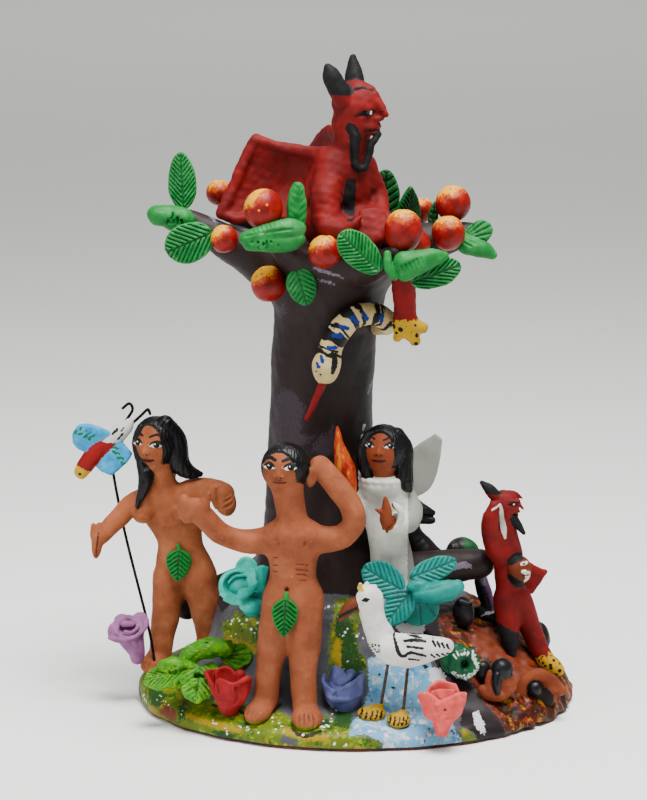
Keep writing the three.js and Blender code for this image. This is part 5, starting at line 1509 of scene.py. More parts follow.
def lay_out_standing_figure(piece, horn, beard, foot):
    x, y, z = where = points_of(piece)
    u, v, w = STAND_HEAD.local(where)
    ahead = BELLY_FACE.local(where)[2]
    hoof = z - 36.0 + 0.5 * (x - 64.0) + np.where(x > 69.4, 30.0, 0.0)
    dark = horn.distance(where) - 0.5 + np.clip(93.4 - z, 0.0, 2.0)
    lay(piece, "black", np.minimum(np.minimum(dark, beard.distance(where) - 0.4), hoof))
    lay(piece, "eye", drawn([[[-4.2, 1.4, 0.3], [-2.8, 1.2, 0.75], [-1.2, 0.9, 0.3]],
                             [[-3.4, 2.6, 0.3], [-0.8, 1.9, 0.35]],
                             [[-3, -3.1, 0.25], [1.6, -3.1, 0.3]]], u, v, w > 1.0))
    stroke = drawn([[[55.9, 87.6, 0.3], [59.4, 89, 0.5], [60.2, 84, 0.9], [61, 79, 1.2], [61.8, 74.6, 0.5]]],
                   x, z, y < -18)
    lay(piece, "white", stroke)
    lay(piece, "belly", np.where(ahead > -1.4, BELLY_FACE.distance(where) - 0.4, PAINT_REACH))
    hair = [[[63.9, 64.8, 1.4], [66.2, 66.4, 1.6], [68.8, 66.6, 1]],
            [[64.2, 58, 1.5], [66.6, 55.6, 2], [69.4, 54.2, 1.3]],
            [[69, 59.4, 0.25], [73.4, 58.8, 0.3]], [[69.4, 64.1, 0.35], [69.8, 64.1, 0.35]]]
    lay(piece, "belly_black", drawn(hair, x, z, y < -13.0))
    teeth = [[[69, 61.2, 0.7], [71, 60, 1.3], [71.4, 57.8, 1.1], [70.2, 56.4, 0.6]],
             [[68.6, 64.2, 0.6], [69.6, 64.3, 0.8], [70.8, 64.3, 0.6]]]
    lay(piece, "teeth", drawn(teeth, x, z, y < -13.0))
    lay(piece, "yellow", foot.distance(where) - 0.35)


def make_standing_figure():
    clay = Clay([47, -28, 11], [90, -4, 101], 0.42)
    clay.add(STAND_TORSO)
    clay.add(STAND_LIMBS, 2.0)
    clay.add(STAND_HEAD, 1.6)
    add_stand_face(clay)
    clay.add(panel(STAND_FIN, 3.0, 1.1), 0.8)
    clay.add(BELLY_FACE, 0.6)
    clay.add(BELLY_FACE.ridge([[-1.8, 0.6, 0, 0.8], [0, 0.4, 0.5, 0.9], [1.8, 0.6, 0, 0.8]]), 0.5)
    clay.cut(BELLY_FACE.ridge([[-2.2, -1.6, 0.4, 0.4], [0, -1.9, 0.7, 0.5], [2.2, -1.6, 0.4, 0.4]]), 0.3)
    horns = shapes_of(STAND_HORNS, 1.2)
    tail, foot, beard = shapes_of(STAND_TAIL, 1.2), Roll(STAND_FOOT, 1.2), Roll(STAND_BEARD, 1.0)
    clay.add(horns + tail + [foot, beard], 0.7)
    clay.cut([[59.6, -24.4, 88.2, 0.3], [60.6, -23.8, 81, 0.4], [61.4, -23.2, 74, 0.3]], 0.3, 1.0)
    clay.knead(0.14, 7.0, 23)
    piece = clay.piece("standing_figure_clay", "red_paint", "horned_figure_standing")
    lay_out_standing_figure(piece, horns[0], beard, foot)
    finish = red_paint("acrylic red on fired clay, standing figure")
    finish.coats(("belly", "#5a2105", 0.3), ("teeth", "#d3ccb9", 0.1), ("belly_black", "#050405", 0.15),
                 ("yellow", "#ae8600", 0.4), ("eye", "#030203", 0.1))
    finish.dots([STAND_HEAD.front(-2.6, 1.3)], 0.42, "#dad6cb")
    finish.coats(("white", "#c3bdb3", 0.12), ("black", "#08090b", 0.3))
    finish.share_of_spots("yellow", "#060403", 2.4, 0.38)
    finish.cover(piece, 0.06, 0.14)


# The snake and the flame sword

SNAKE_BODY = [[8, -8, 163, 4.6], [12.4, -16, 164.8, 4.8], [9.6, -20, 168.4, 4.8], [3.6, -23, 170, 4.8],
              [-3, -25.6, 168, 4.9], [-8, -28, 163, 4.9], [-11, -29, 157, 5], [-12.4, -29.6, 151, 5.6],
              [-13.2, -29.6, 146.4, 4.6]]
SNAKE_TONGUE = [[-13.8, -29.6, 143.6, 1.9], [-16.8, -28.8, 136, 1.7], [-20.6, -27.6, 127.2, 1.2]]
# Each black band's middle and half width, in millimetres along the body from its hidden end
SNAKE_BANDS = [[13, 0.9], [17.5, 0.6], [20, 1.3], [26, 0.7], [30, 1.9], [36.4, 0.7], [40, 2.1],
               [46.8, 0.8]]
SNAKE_SPOTS = [15.4, 23.2, 28, 33.6, 38, 43.4]


def make_snake():
    clay = Clay([-26, -37, 123], [20, -2, 177], 0.42)
    body, tongue = Roll(SNAKE_BODY, 1.5), Roll(SNAKE_TONGUE, 1.5)
    clay.add(body, 0.8)
    clay.add(Oval([-13.2, -30.2, 149.4], [5.6, 4.6, 6.2], (0, 8, 0)), 1.5)
    clay.cut([[-17.6, -33.4, 144.6, 0.4], [-13.6, -35.4, 143.6, 0.5], [-9.4, -33.4, 145, 0.4]], 0.4, 1.0)
    clay.add(tongue, 0.5)
    clay.knead(0.12, 7.0, 31)
    piece = clay.piece("snake_clay", "snake_cream", "snake")
    x, y, z = where = points_of(piece)
    along = body.along(where) + 0.5 * np.sin(1.1 * x + 0.4 * z)
    bands = np.min([np.abs(along - middle) - half for middle, half in SNAKE_BANDS], axis=0)
    side = drawn([[[-9.4, 155, 0.9], [-9.4, 151.6, 1.3], [-10.2, 147.6, 0.8]], [[-15.2, 146.9, 0.4]],
                  [[-16.9, 148, 0.4]], [[-16.6, 158.4, 0.5], [-12.4, 157.4, 0.4], [-8.2, 156, 0.5]]], x, z,
                  y < -27)
    lay(piece, "black", np.where(tongue.distance(where) < 0.6, 3.0, np.minimum(bands, side)))
    path = body.path
    steps = np.concatenate([[0.0], np.cumsum(np.linalg.norm(np.diff(path[:, :3], axis=0), axis=1))])
    ovals = [[[-15, 154.4, 0.6], [-14.4, 152.6, 0.9]], [[-16.6, 151.6, 0.6], [-16, 150, 0.8]]]
    for spot in SNAKE_SPOTS:
        (a, b), (c, d) = [[np.interp(s, steps, path[:, k]) for k in (0, 2)] for s in (spot - 0.7, spot + 0.7)]
        ovals.append([[a + b - d, b + c - a, 0.85], [c - b + d, d - c + a, 0.85]])
    lay(piece, "blue", drawn(ovals, x, z, y < -18))
    lay(piece, "tongue", tongue.distance(where) - 0.5 + np.clip(z - 144.6, 0, 2))
    finish = Finish("acrylic cream on fired clay", "#b9a470", 0.6)
    finish.mottle("#907642", "#d0c198", 5.0, 0.4)
    finish.coats(("black", "#060405", 0.15), ("blue", "#002474", 0.2), ("tongue", "#730000", 0.2))
    finish.cover(piece)


FLAME = [[-4.2, -36.6, 88, 1.8], [-3.6, -35.2, 96, 3], [-4.6, -34.4, 104, 4.4], [-5.8, -34, 110, 3.9],
         [-7.6, -34, 117, 2.3], [-8.3, -34, 125, 0.7]]


def make_flame_sword():
    clay = Clay([-14, -43, 82], [4, -27, 129], 0.4)
    clay.add(FLAME, 0.5, 1.5)
    clay.knead(0.1, 6.0, 33)
    piece = clay.piece("flame_sword_clay", "flame_orange", "flame_sword")
    finish = Finish("acrylic orange on fired clay", "#a83400", 0.6)
    streaks = finish.noise(3.2, 3.0, 0.6, (1.0, 1.0, 0.35))
    finish.mix(finish.ramp(streaks, 0.52, 0.42), "#7c0800")
    finish.mix(finish.ramp(streaks, 0.56, 0.63), "#c06c00")
    finish.cover(piece)


# The crane and the butterfly

CRANE_BODY = [[4.6, -62, 60, 5.7], [5.8, -62, 53, 5.2], [8, -62, 46.6, 5.5], [12, -62, 40, 6.5],
              [20, -62, 38, 7.1], [29, -62, 39, 5.4], [35.6, -62, 40, 3.4]]
CRANE_BEAK = [[1, -62.4, 58.2, 3.4], [-2.6, -62.6, 57, 2.9], [-5.2, -62.4, 54.2, 2.3], [-7.3, -62, 50.8, 1]]
CRANE_WING = [[[10, -66.4, 44.4], [9.6, -68.8, 40.6], [11.4, -68.4, 35.4]],
              [[18, -67.4, 45], [18, -69.8, 40], [19, -68.6, 34.2]],
              [[27, -66, 43.4], [27.4, -68.2, 39.6], [27.6, -67, 35.2]],
              [[36, -63.8, 42.4], [36.6, -64.6, 40.2], [36.2, -64.2, 38]]]
CRANE_FEET = [
    {"side": "left", "toe": [5.6, -63.5, 11.7], "half": [6, 4.6, 3], "foot": [9.4, -60.5, 13.6],
     "hip": [12.6, -62, 34.6]},
    {"side": "right", "toe": [16.6, -68, 10.4], "half": [5, 4.8, 3], "foot": [18.4, -65, 12.6],
     "hip": [20.4, -62.5, 32]},
]


def crane_strokes():
    """The painted feathers of the wing and tail, as [x, z, radius] lines."""
    wing = [[[14.5, 45.5, 0.5], [16.4, 39.6, 0.9], [18.4, 38.3, 0.7], [21.3, 39.7, 0.7], [27.3, 37.9, 0.5]],
            [[18.5, 44.3, 0.5], [23, 44.2, 0.7], [27.3, 43.5, 0.4]], [[19.7, 42.2, 0.5], [26.1, 41.1, 0.5]],
            [[20.5, 36.9, 0.5], [24.5, 36.1, 0.4]]]
    tail = [[[30.2 + 1.9 * k, 43.4 - 0.6 * k, 0.5], [31.4 + 1.8 * k, 41.4 - 0.5 * k, 0.4]] for k in range(4)]
    low = [[[29.6 + 2.2 * k, 38.2 - 0.1 * k, 0.5], [31.0 + 2.2 * k, 36.8 + 0.1 * k, 0.4]] for k in range(4)]
    return wing + tail + low


def breast_dots():
    rng = np.random.default_rng(5)
    return [[[6.6 + 5.0 * a - 2.2 * b, 42.0 - 6.4 * b, 0.46]] for b in np.linspace(0, 1, 7)
            for a in rng.uniform(-0.45, 0.55, 4)]


def make_crane():
    clay = Clay([-12, -74, 29], [42, -54, 70], 0.4)
    body, beak = Roll(CRANE_BODY, 1.5), Roll(CRANE_BEAK, 1.2)
    clay.add(body, 1.0)
    clay.add(beak, 1.0)
    clay.cut([[-7.4, -64.4, 51.6, 0.3], [-4.8, -65.4, 54, 0.4], [0.2, -65.8, 57, 0.3]], 0.3, 1.0)
    crest = [[[0.6, -62.4, 64.6, 1.4], [0.8, -62.6, 66, 1.1]],
             [[2.8, -62.2, 64.8, 1.5], [3.6, -62.2, 66.4, 1]], [[5.6, -62, 64.4, 1.5], [7, -62, 65.2, 0.9]]]
    clay.add(crest, 0.7, 1.0)
    clay.add(panel(CRANE_WING, 2.4, 1.0), 0.9)
    for k in range(4):
        z = 37.4 - 0.9 * k
        clay.cut([[31, -65.4, z + 2.6, 0.25], [37, -63.6, z + 0.6, 0.2]], 0.3, 1.2)
    clay.knead(0.14, 6.0, 41)
    piece = clay.piece("crane_clay", "crane_white", "crane")
    x, y, z = where = points_of(piece)
    face = y < -61
    lay(piece, "black", drawn(crane_strokes() + breast_dots(), x, z, face))
    mouth = [[[-7.6, 52.6, 0.5], [-4.8, 54.6, 0.7], [-0.8, 56.8, 0.7]]]
    lay(piece, "mouth", drawn(mouth, x, z, face))
    lay(piece, "eye", drawn([[[1.8, 60.4, 0.4], [3.1, 60.8, 1], [4.6, 61.2, 0.35]]], x, z, face))
    lay(piece, "beak", np.maximum(beak.distance(where) - 0.5, x - 0.6 + 0.25 * (z - 56)))
    lay(piece, "yellow", drawn([[[0.4, 65.8, 1], [1.4, 64.2, 1]]], x, z, face))
    finish = Finish("acrylic white on fired clay, crane", "#cfcdc6", 0.62)
    finish.mottle("#a5a29b", "#dedcd6", 5.0, 0.4)
    finish.flecks("#675f56", 0.9, 0.06, 0.5)
    finish.coats(("yellow", "#b39700", 0.3), ("beak", "#5b270f", 0.25), ("mouth", "#070403", 0.15),
                 ("eye", INK, 0.1), ("black", "#0b0c0e", 0.12))
    finish.cover(piece, 0.05, 0.14)


def wire_piece(name, points, node_name, colour="#110d0c"):
    """A length of iron wire, dark and a little rusty."""
    places = np.array([p[:3] for p in points])
    clay = Clay(places.min(axis=0) - 2.0, places.max(axis=0) + 2.0, 0.3)
    clay.add(points, 0.2, 1.0)
    piece = clay.piece(name, "iron_wire", node_name)
    finish = Finish("iron wire, " + name, colour, 0.5)
    finish.shader.inputs["Metallic"].default_value = 0.6
    finish.mottle("#040302", "#392920", 2.5, 0.5)
    finish.bump(finish.noise(0.5, 2.0), 0.04)
    piece.data.materials.append(finish.finish())


def make_crane_feet():
    for shape in CRANE_FEET:
        toe, half, name = shape["toe"], shape["half"], "crane_foot_" + shape["side"]
        low, high = np.array(toe) - np.array(half) - 2, np.array(toe) + np.array(half) + 3
        clay = Clay(low, high, 0.35)
        lump = Lump(toe, half, 0, -10)
        clay.add(lump, 0.5)
        clay.add([[*shape["foot"], 1.7], [*lump.top(0.2 * half[0], -0.3 * half[1], -1.0), 2.0]], 0.9)
        for u in (-0.5, 0.0, 0.5):
            clay.cut([[*lump.top(u * half[0] * 0.7, 0.35 * half[1], 0.2), 0.3],
                      [*lump.top(u * half[0], 0.85 * half[1], 0.1), 0.4]], 0.3, 1.0)
        clay.knead(0.1, 5.0, 42)
        piece = clay.piece(name + "_clay", "foot_yellow", name)
        x, y, z = points_of(piece)
        lines = [[[toe[0] + a * half[0], toe[2] + 1.9, 0.32],
                  [toe[0] + a * half[0] - 0.9, toe[2] - 0.6, 0.42]]
                 for a in (-0.62, -0.28, 0.08, 0.42, 0.72)]
        lay(piece, "black", drawn(lines, x, z, y < toe[1] + 1.0))
        finish = Finish("acrylic yellow on fired clay, " + name, "#a67e00", 0.6)
        finish.mottle("#6b5000", "#c5a100", 3.0, 0.5)
        finish.coat("black", "#080604", 0.3)
        finish.cover(piece)
        wire_piece("crane_leg_wire_" + shape["side"], [[*shape["foot"], WIRE_R], [*shape["hip"], WIRE_R]],
                   "crane_leg_" + shape["side"], "#4c3929")


WING_LEFT = [[[-110, 1.2, 106], [-110.6, 1, 107.4], [-107, 0.6, 110], [-101, 1, 112.6]],
             [[-113.4, 0.6, 107.4], [-112.8, 0.2, 110.4], [-109, 0, 113], [-104.4, 0.2, 114.4]],
             [[-117, -0.4, 109], [-116.2, -0.6, 112.4], [-112.8, -0.8, 115.6], [-108.4, -0.4, 116.4]],
             [[-118.3, -1, 111.4], [-118.5, -1, 114.6], [-116.4, -1, 117.6], [-113.2, -1, 118]]]
WING_RIGHT = [[[-110.4, 0.6, 102.4], [-108, 0.8, 106.6], [-104.6, 0.8, 110], [-101.6, 0.8, 112]],
              [[-107.6, 0, 99.4], [-104.6, 0.2, 103.4], [-101.4, 0.2, 106.4], [-98.6, 0.3, 109]],
              [[-103.8, -0.8, 97.8], [-100.6, -0.6, 100.2], [-97.6, -0.6, 103], [-95.6, -0.4, 106]]]
BUTTERFLY_HEAD = [[[-104.6, 1.6, 110.4, 3.4], [-100.4, 2, 114.6, 3.6], [-98.4, 2, 117, 2.7]],
                  [[-101.4, 2.2, 112, 3], [-97.4, 2, 116.4, 3], [-96, 2, 118.6, 2.2]]]
BUTTERFLY_BODY = [[-104, 1.6, 110.8, 3.2], [-109.4, 1.6, 107, 3.9], [-113.4, 1.2, 102, 3.8],
                  [-116.4, 1, 97.6, 3]]


def make_butterfly():
    clay = Clay([-124, -8, 90], [-90, 10, 124], 0.4)
    clay.add([panel(WING_LEFT, 3.0, 1.2), panel(WING_RIGHT, 3.0, 1.2)], 0.8)
    head, body = shapes_of(BUTTERFLY_HEAD, 1.2), Roll(BUTTERFLY_BODY, 1.2)
    clay.add(body, 0.6)
    for k in range(5):
        clay.cut([[-107.4 - 1.7 * k, -3.6, 109.6 - 1.9 * k, 0.3],
                  [-109.2 - 1.7 * k, -3.4, 106.0 - 1.9 * k, 0.35]], 0.3, 1.0)
    clay.add(head, 0.5)
    clay.knead(0.1, 5.0, 43)
    piece = clay.piece("butterfly_clay", "butterfly_blue", "butterfly")
    x, y, z = where = points_of(piece)
    lay(piece, "head", nearest(head, where) - 0.35 + np.clip(111.4 - z, 0.0, 2.0))
    lay(piece, "body", body.distance(where) - 0.4)
    lay(piece, "tail", np.maximum(body.distance(where) - 0.4, z - 99.6 + 0.5 * (x + 115)))
    stripes = [[[-118.4 + 1.9 * k, 115.6 - 1.0 * k, 0.6],
                [-115.4 + 1.8 * k, 117.6 - 1.0 * k, 0.3]] for k in range(4)]
    stripes += [[[-104.4 + 1.9 * k, 109.4 - 2.4 * k, 0.6],
                 [-100.6 + 1.1 * k, 108.4 - 2.2 * k, 0.4]] for k in range(4)]
    lay(piece, "green", drawn(stripes, x, z))
    marks = [[[-102.6, 114.6, 0.5], [-100.8, 116.4, 0.6]], [[-100.4, 112.6, 0.5], [-98.6, 114.6, 0.5]],
             [[-99, 116, 0.4], [-98, 117.4, 0.35]]]
    lay(piece, "black", drawn(marks + [[[-116.8, 97.4, 0.7]]], x, z, y < 1))
    finish = Finish("acrylic blue on fired clay", "#208ec2", 0.58)
    finish.mottle("#0b639a", "#63b4d2", 4.0, 0.5)
    finish.coats(("green", "#00682c", 0.4), ("body", "#7d0000", 0.2), ("tail", "#b79000", 0.3),
                 ("head", "#c4c2bd", 0.2), ("black", "#101114", 0.2))
    finish.cover(piece)


STALK = [[-104.6, 2.4, 107], [-98.6, 1, 73], [-88.6, -6, 33], [-85.4, -9, 15]]
ANTENNAE = {
    "left": [[-97.4, 2.4, 119.4], [-94.4, 2.8, 124.2], [-95.8, 3, 126.9], [-98.6, 3, 124.8]],
    "right": [[-94.6, 2.6, 118.4], [-90.8, 2.8, 121.8], [-88, 3, 124.4], [-87.1, 3, 122.4]],
}


def make_wires():
    wire_piece("stalk_wire", [[*p, WIRE_R] for p in STALK], "butterfly_stalk")
    for side, points in ANTENNAE.items():
        wire_piece("antenna_wire_" + side, [[*p, WIRE_R] for p in points], "antenna_" + side)


# The roses. Each is modelled in its own axes: u to the right, v up and w towards the eye.

ROSES = {
    "red": {
        "at": [-51.9, -56, 20.3], "paint": ["#860a10", "#5c0206", "#a8262a"],
        "body": [[-0.8, -7.6, -2, 4.4], [-0.6, -4.6, -1.1, 5.6], [0, -1.2, -0.3, 7.4]],
        "hollow": [[0, 6, 0.9], [6, 6.4, 7.6]],
        "petals": [
            [[[-6.2, -3, 2.6], [-7.2, -2.4, 0], [-6.4, -2, -3]],
             [[-7.6, 1.6, 3], [-8.8, 2.4, 0.2], [-7, 3, -3]],
             [[-9.6, 5.4, 1.6], [-10.2, 6.6, 0], [-6.6, 7.2, -2.6]]],
            [[[-6, 1, -1], [-2.6, 0, -2.4], [0.8, 1, -1]], [[-6.2, 6, -1], [-2.6, 6, -2.8], [1, 6, -1]],
             [[-4.6, 7.8, -1.4], [-2.6, 8.4, -2], [-0.4, 7.8, -1.4]]],
            [[[3, 2.4, 6.2], [6.2, 3.8, 4.2], [8, 3.6, 1]], [[3.4, -3, 5], [6, -2, 3.8], [7, -1, 1]],
             [[2.6, -6, 4.2], [4.4, -6, 3], [5, -5, 1]]],
            [[[-5.6, 3.4, 4.6], [-2.4, 3.2, 6.2], [1.2, 2, 7]],
             [[-6, -1, 4.2], [-2.4, -1, 6], [1.4, -2, 6.4]],
             [[-4.6, -5, 3.4], [-2, -5, 4.8], [1, -5, 4.8]]],
        ],
        "rolls": [
            [[3.7, 1, -1.4, 2.3], [3.8, 5.3, -1.2, 2.3]],
            [[-4.6, 4.2, 5, 0.7], [-1.6, 3, 6.6, 0.8], [0.8, 2.1, 7.2, 0.9], [3.8, 2.8, 6.4, 1.2],
             [6.6, 4.1, 4.2, 1.5], [7.8, 3.6, 2.2, 1.2]],
        ],
        "cuts": [[[2.2, 0.2, 7.2, 0.6], [3.3, -1.6, 6.8, 0.6], [3.2, -4.6, 5.6, 0.4]],
                 [[-5.4, 1.6, 5.2, 0.4], [-4.6, -1.4, 5.6, 0.4]], [[-5.8, 4.6, 3, 0.4], [-3.8, 3, 5.2, 0.4]]],
    },
    "blue": {
        "at": [-5.2, -55, 18.7], "paint": ["#424872", "#282c54", "#646a90"],
        "body": [[0.9, -9.2, -1.9, 3.8], [0.6, -5, -1, 5.8], [-0.3, -0.6, 0, 7.4]],
        "hollow": [[0, 7, 1], [6.2, 6.4, 7.6]],
        "petals": [
            [[[-5, -6, 4], [-7.4, -3, 2], [-7.2, -2, -2]], [[-5, -2.4, 6], [-8.2, 1.2, 3], [-8.1, 3.2, -1]],
             [[-4.6, 0.4, 6.4], [-8.8, 3.8, 3], [-8.6, 6.6, -1]]],
            [[[5.4, -4, 2], [6.8, -3, 0], [6.8, -2, -2]], [[6, 3, 2], [7.8, 3.6, 0], [7, 4, -2.4]],
             [[5.6, 6, 1], [7.6, 7.2, 0], [6.4, 7.8, -2]]],
            [[[-3, -4, 6], [2, -3, 6.2], [6.4, -1, 3.8]], [[-3, -0.6, 6.8], [1.4, 1.6, 6.6], [6.8, 4.2, 3.2]],
             [[-1.6, 1.4, 7], [2.6, 3.6, 6.2], [7.2, 6.4, 2.4]]],
            [[[-6, 2, 0], [-3.4, 2, 2.8], [0.8, 2, 3]], [[-5.6, 6.4, -0.4], [-3.4, 7.2, 2.2], [0.4, 6, 2.6]],
             [[-4.8, 9.6, -0.8], [-3.2, 9.8, 1.2], [-1, 8.6, 1.4]]],
        ],
        "rolls": [
            [[-1.6, 3, 4, 1.6], [0.8, 4.8, 3.6, 1.8], [2.2, 6.4, 1.6, 1.8]],
            [[-7.8, 2, 2, 1.1], [-6.2, -2, 5.2, 1.3], [-3, -2.9, 7, 1.4], [1.4, -2.8, 7, 1.1]],
            [[0.6, 0, -1, 2.8], [1.6, 4, -1, 3.2], [2.4, 6.4, -1.2, 2.6]],
            [[-3, 0.8, 7, 0.9], [1.4, 2.8, 6.8, 1.1], [6.8, 5.6, 2.8, 1]],
        ],
        "cuts": [[[-1.4, 7, 1.2, 0.35], [-0.6, 3.6, 2.6, 0.4], [1.6, 2.4, 2.6, 0.35]],
                 [[0.6, 8.2, 1.2, 0.3], [2.8, 7.4, 1.4, 0.35], [3.4, 4.4, 1.8, 0.35]],
                 [[-4.8, -1.2, 6.8, 0.5], [-3.6, -1.6, 7.4, 0.5]]],
    },
    "coral": {
        "at": [34.6, -75, 18.6], "paint": ["#c94643", "#a02826", "#de6c66"],
        "body": [[-0.8, -9.8, -2.1, 3], [-0.6, -6, -1.2, 4.3], [-0.2, -0.8, 0, 6.8]],
        "hollow": [[0, 6.6, 1.2], [5.6, 6, 7.4]],
        "petals": [
            [[[-6.4, -1, -1], [-0.6, -2, -3], [5.8, -1, -1]],
             [[-7.2, 4, -1], [-0.6, 4.6, -3.4], [6.2, 4, -1]],
             [[-5.4, 7.8, -1.4], [-1.4, 9.8, -2.6], [4.6, 8.4, -1.4]]],
            [[[-7, -4, 1], [-4.6, -5, 4.4], [-0.6, -5, 6]],
             [[-9, 1.6, 0.6], [-6.2, 2.6, 4.8], [-1.2, 0.4, 6.8]],
             [[-9.8, 4.4, -0.4], [-6.6, 5.2, 4.2], [-2.6, 2.4, 6.6]]],
            [[[-1.4, -5, 6.2], [3, -5, 5.2], [6.4, -3, 1.6]],
             [[-2.6, -0.6, 7], [3.4, 1, 6.4], [8.2, 2.2, 1.4]],
             [[-3, 1, 7.4], [2, 3.6, 6.4], [8.6, 5, 0.6]]],
            [[[-4.6, 2, 2], [-1.2, 3, 3.6], [3.6, 3, 1.6]],
             [[-4.8, 5.6, 1.4], [-1, 6.8, 2.6], [3.8, 6.2, 1]]],
        ],
        "rolls": [
            [[-2, 2.4, 0.6, 1.9], [0.8, 3.4, 1, 2.1], [2.4, 3.4, -0.4, 1.9]],
            [[-3.4, 1, 7, 1], [1.8, 3.4, 6.2, 1.2], [6, 4.8, 3.4, 1.2], [8.4, 5, 0.8, 1]],
            [[-9.6, 4.2, 0, 1], [-6.6, 5, 4, 1.2], [-3, 2.6, 6.4, 1]],
        ],
        "cuts": [[[-4.6, 6.6, 2.4, 0.35], [-2.6, 3.2, 3.9, 0.4], [0.2, 1.2, 4.4, 0.35]],
                 [[4.2, 5.6, 3, 0.35], [3.4, 2.6, 4.6, 0.35], [0.2, -0.4, 5.8, 0.35]],
                 [[1, -4.5, 6.8, 0.45], [3.8, -4.2, 6.4, 0.4]], [[3, -5.6, 5.2, 0.3], [2.6, -9, 3, 0.3]],
                 [[0.2, -0.6, 6.8, 0.6]]],
    },
    "aqua": {
        "at": [-47.1, -38, 59], "paint": ["#1aae9c", "#007c70", "#54c6b6"],
        "body": [[4, -9, -13, 5.4], [2, -3, -6, 6.6]],
        "petals": [
            [[[-3.4, 5, -3], [1.2, 4.6, -4], [5.8, 5, -3]],
             [[-2.6, 8.6, -3.2], [1.2, 8.6, -4.2], [5, 8.6, -3.2]],
             [[-0.6, 10.6, -3.4], [1.4, 11, -4], [3.4, 10.4, -3.4]]],
            [[[5, -2, 2.4], [6.6, -2.6, 1.6], [8, -2.4, 0.4]], [[5, 3, 1.6], [7.4, 3, 1], [9, 2.6, 0]],
             [[5.4, 6.8, 1], [7.8, 7.5, 0.6], [9.9, 7.1, -0.4]]],
            [[[-1, -2.6, 6.6], [2, -2, 6.4], [5.4, 0.6, 4.2]],
             [[-1.2, -4.8, 6.6], [1.4, -3.8, 6.8], [4.4, -2.2, 5.2]]],
        ],
        "cup": [[-2.8, -0.4, 0], [7.6, 6.6, 7.2]],
        "hollow": [[-2.2, 0.5, 4.8], [6, 7.2, 5.4]],
        "ovals": [[[3.4, 2.2, 0.2], [2.3, 2.6, 5]], [[3.3, -8.2, 0.6], [5.1, 5, 3.6]],
                  [[-1.8, -0.6, -0.6], [5, 2.2, 4.4]]],
        "rolls": [
            [[-6, 1.2, 1.6, 0.7], [-3.4, 3.7, 1.4, 0.8], [1.9, 4.2, 1.6, 0.7]],
            [[-9.2, -3.6, 3.6, 0.8], [-6.4, -4.6, 5.2, 1], [-1.6, -5, 6.4, 0.9]],
            [[-7.6, -5.6, 3.4, 1], [-4, -6.6, 5, 1.2], [-1, -6.9, 5.6, 1.1]],
            [[2.4, 5.8, 1.2, 0.8], [3.7, 6.7, 1.8, 0.9], [4.9, 5, 2.4, 0.9], [4.9, 1, 3.2, 0.9],
             [3.7, -1.4, 3.6, 0.7]],
            [[2.2, 3, 1.8, 0.6], [2.6, -0.4, 2.8, 0.6]],
            [[5.4, 1.2, 3.6, 1.1], [4.6, -1, 4.8, 1.3], [1.6, -1.8, 6, 1.4], [-0.4, -2.5, 6.4, 1.4],
             [-1.2, -5.2, 6.2, 1.3], [-1.4, -7, 5.6, 1]],
        ],
        "cuts": [[[3.4, 2.6, 3.2, 0.5], [3.5, 0.2, 3.8, 0.5]], [[5.9, 5.4, 3, 0.35], [5.7, 1.4, 3.6, 0.4]],
                 [[1.4, -6.2, 7, 0.9], [3.6, -4.8, 6.4, 0.9], [6, -2.2, 4.6, 0.7]]],
    },
    "lilac": {
        "at": [-96.6, -12, 32.2], "paint": ["#8a5680", "#673a60", "#a6789c"],
        "body": [[3.8, -12, -2, 3], [3.2, -8, -1.2, 4], [0.8, -2.5, -0.6, 5.8]],
        "cup": [[0.2, 1, 0.6], [7.4, 5.4, 5.6]],
        "hollow": [[0, 2.2, 4.6], [5.8, 5.6, 4.4]],
        "ovals": [[[-6.4, -0.8, 1.4], [2.4, 2.2, 3.8]], [[-2.6, 4, -1], [3.6, 1.8, 2.8]],
                  [[4.8, 4, -1.4], [3.8, 1.8, 3.6]]],
        "rolls": [
            [[-7.6, -3.2, 2.2, 1.2], [-4.2, -4, 3.8, 1.2], [0.4, -3.6, 5, 1.2], [4.4, -2, 4.4, 1.1],
             [7.4, 1.2, 1.8, 1.2], [7.8, 4, -0.6, 1.2]],
            [[-4.6, -0.6, 2.8, 0.9], [-3.6, 3.6, 1.4, 1.1], [0.2, 5.2, 0.8, 1.1], [3.8, 3.8, 1.4, 1.1],
             [4.2, 1.2, 3, 0.9], [1.6, -0.8, 3.8, 0.8], [-1.2, -0.4, 3.4, 0.7]],
            [[-1.8, 2.6, 1.2, 1.5], [1.8, 2.6, 1.2, 1.5]],
        ],
        "cuts": [[[-3, -1.4, 4.4, 0.5], [-2.4, 0.6, 3.4, 0.4]], [[1.2, 0.4, 4, 0.5], [2.2, 1.4, 3.6, 0.4]],
                 [[1.6, -5, 4.4, 0.35], [3, -8, 3.4, 0.35]], [[4.8, -5, 3.4, 0.3], [4.6, -9, 2.6, 0.3]]],
    },
}


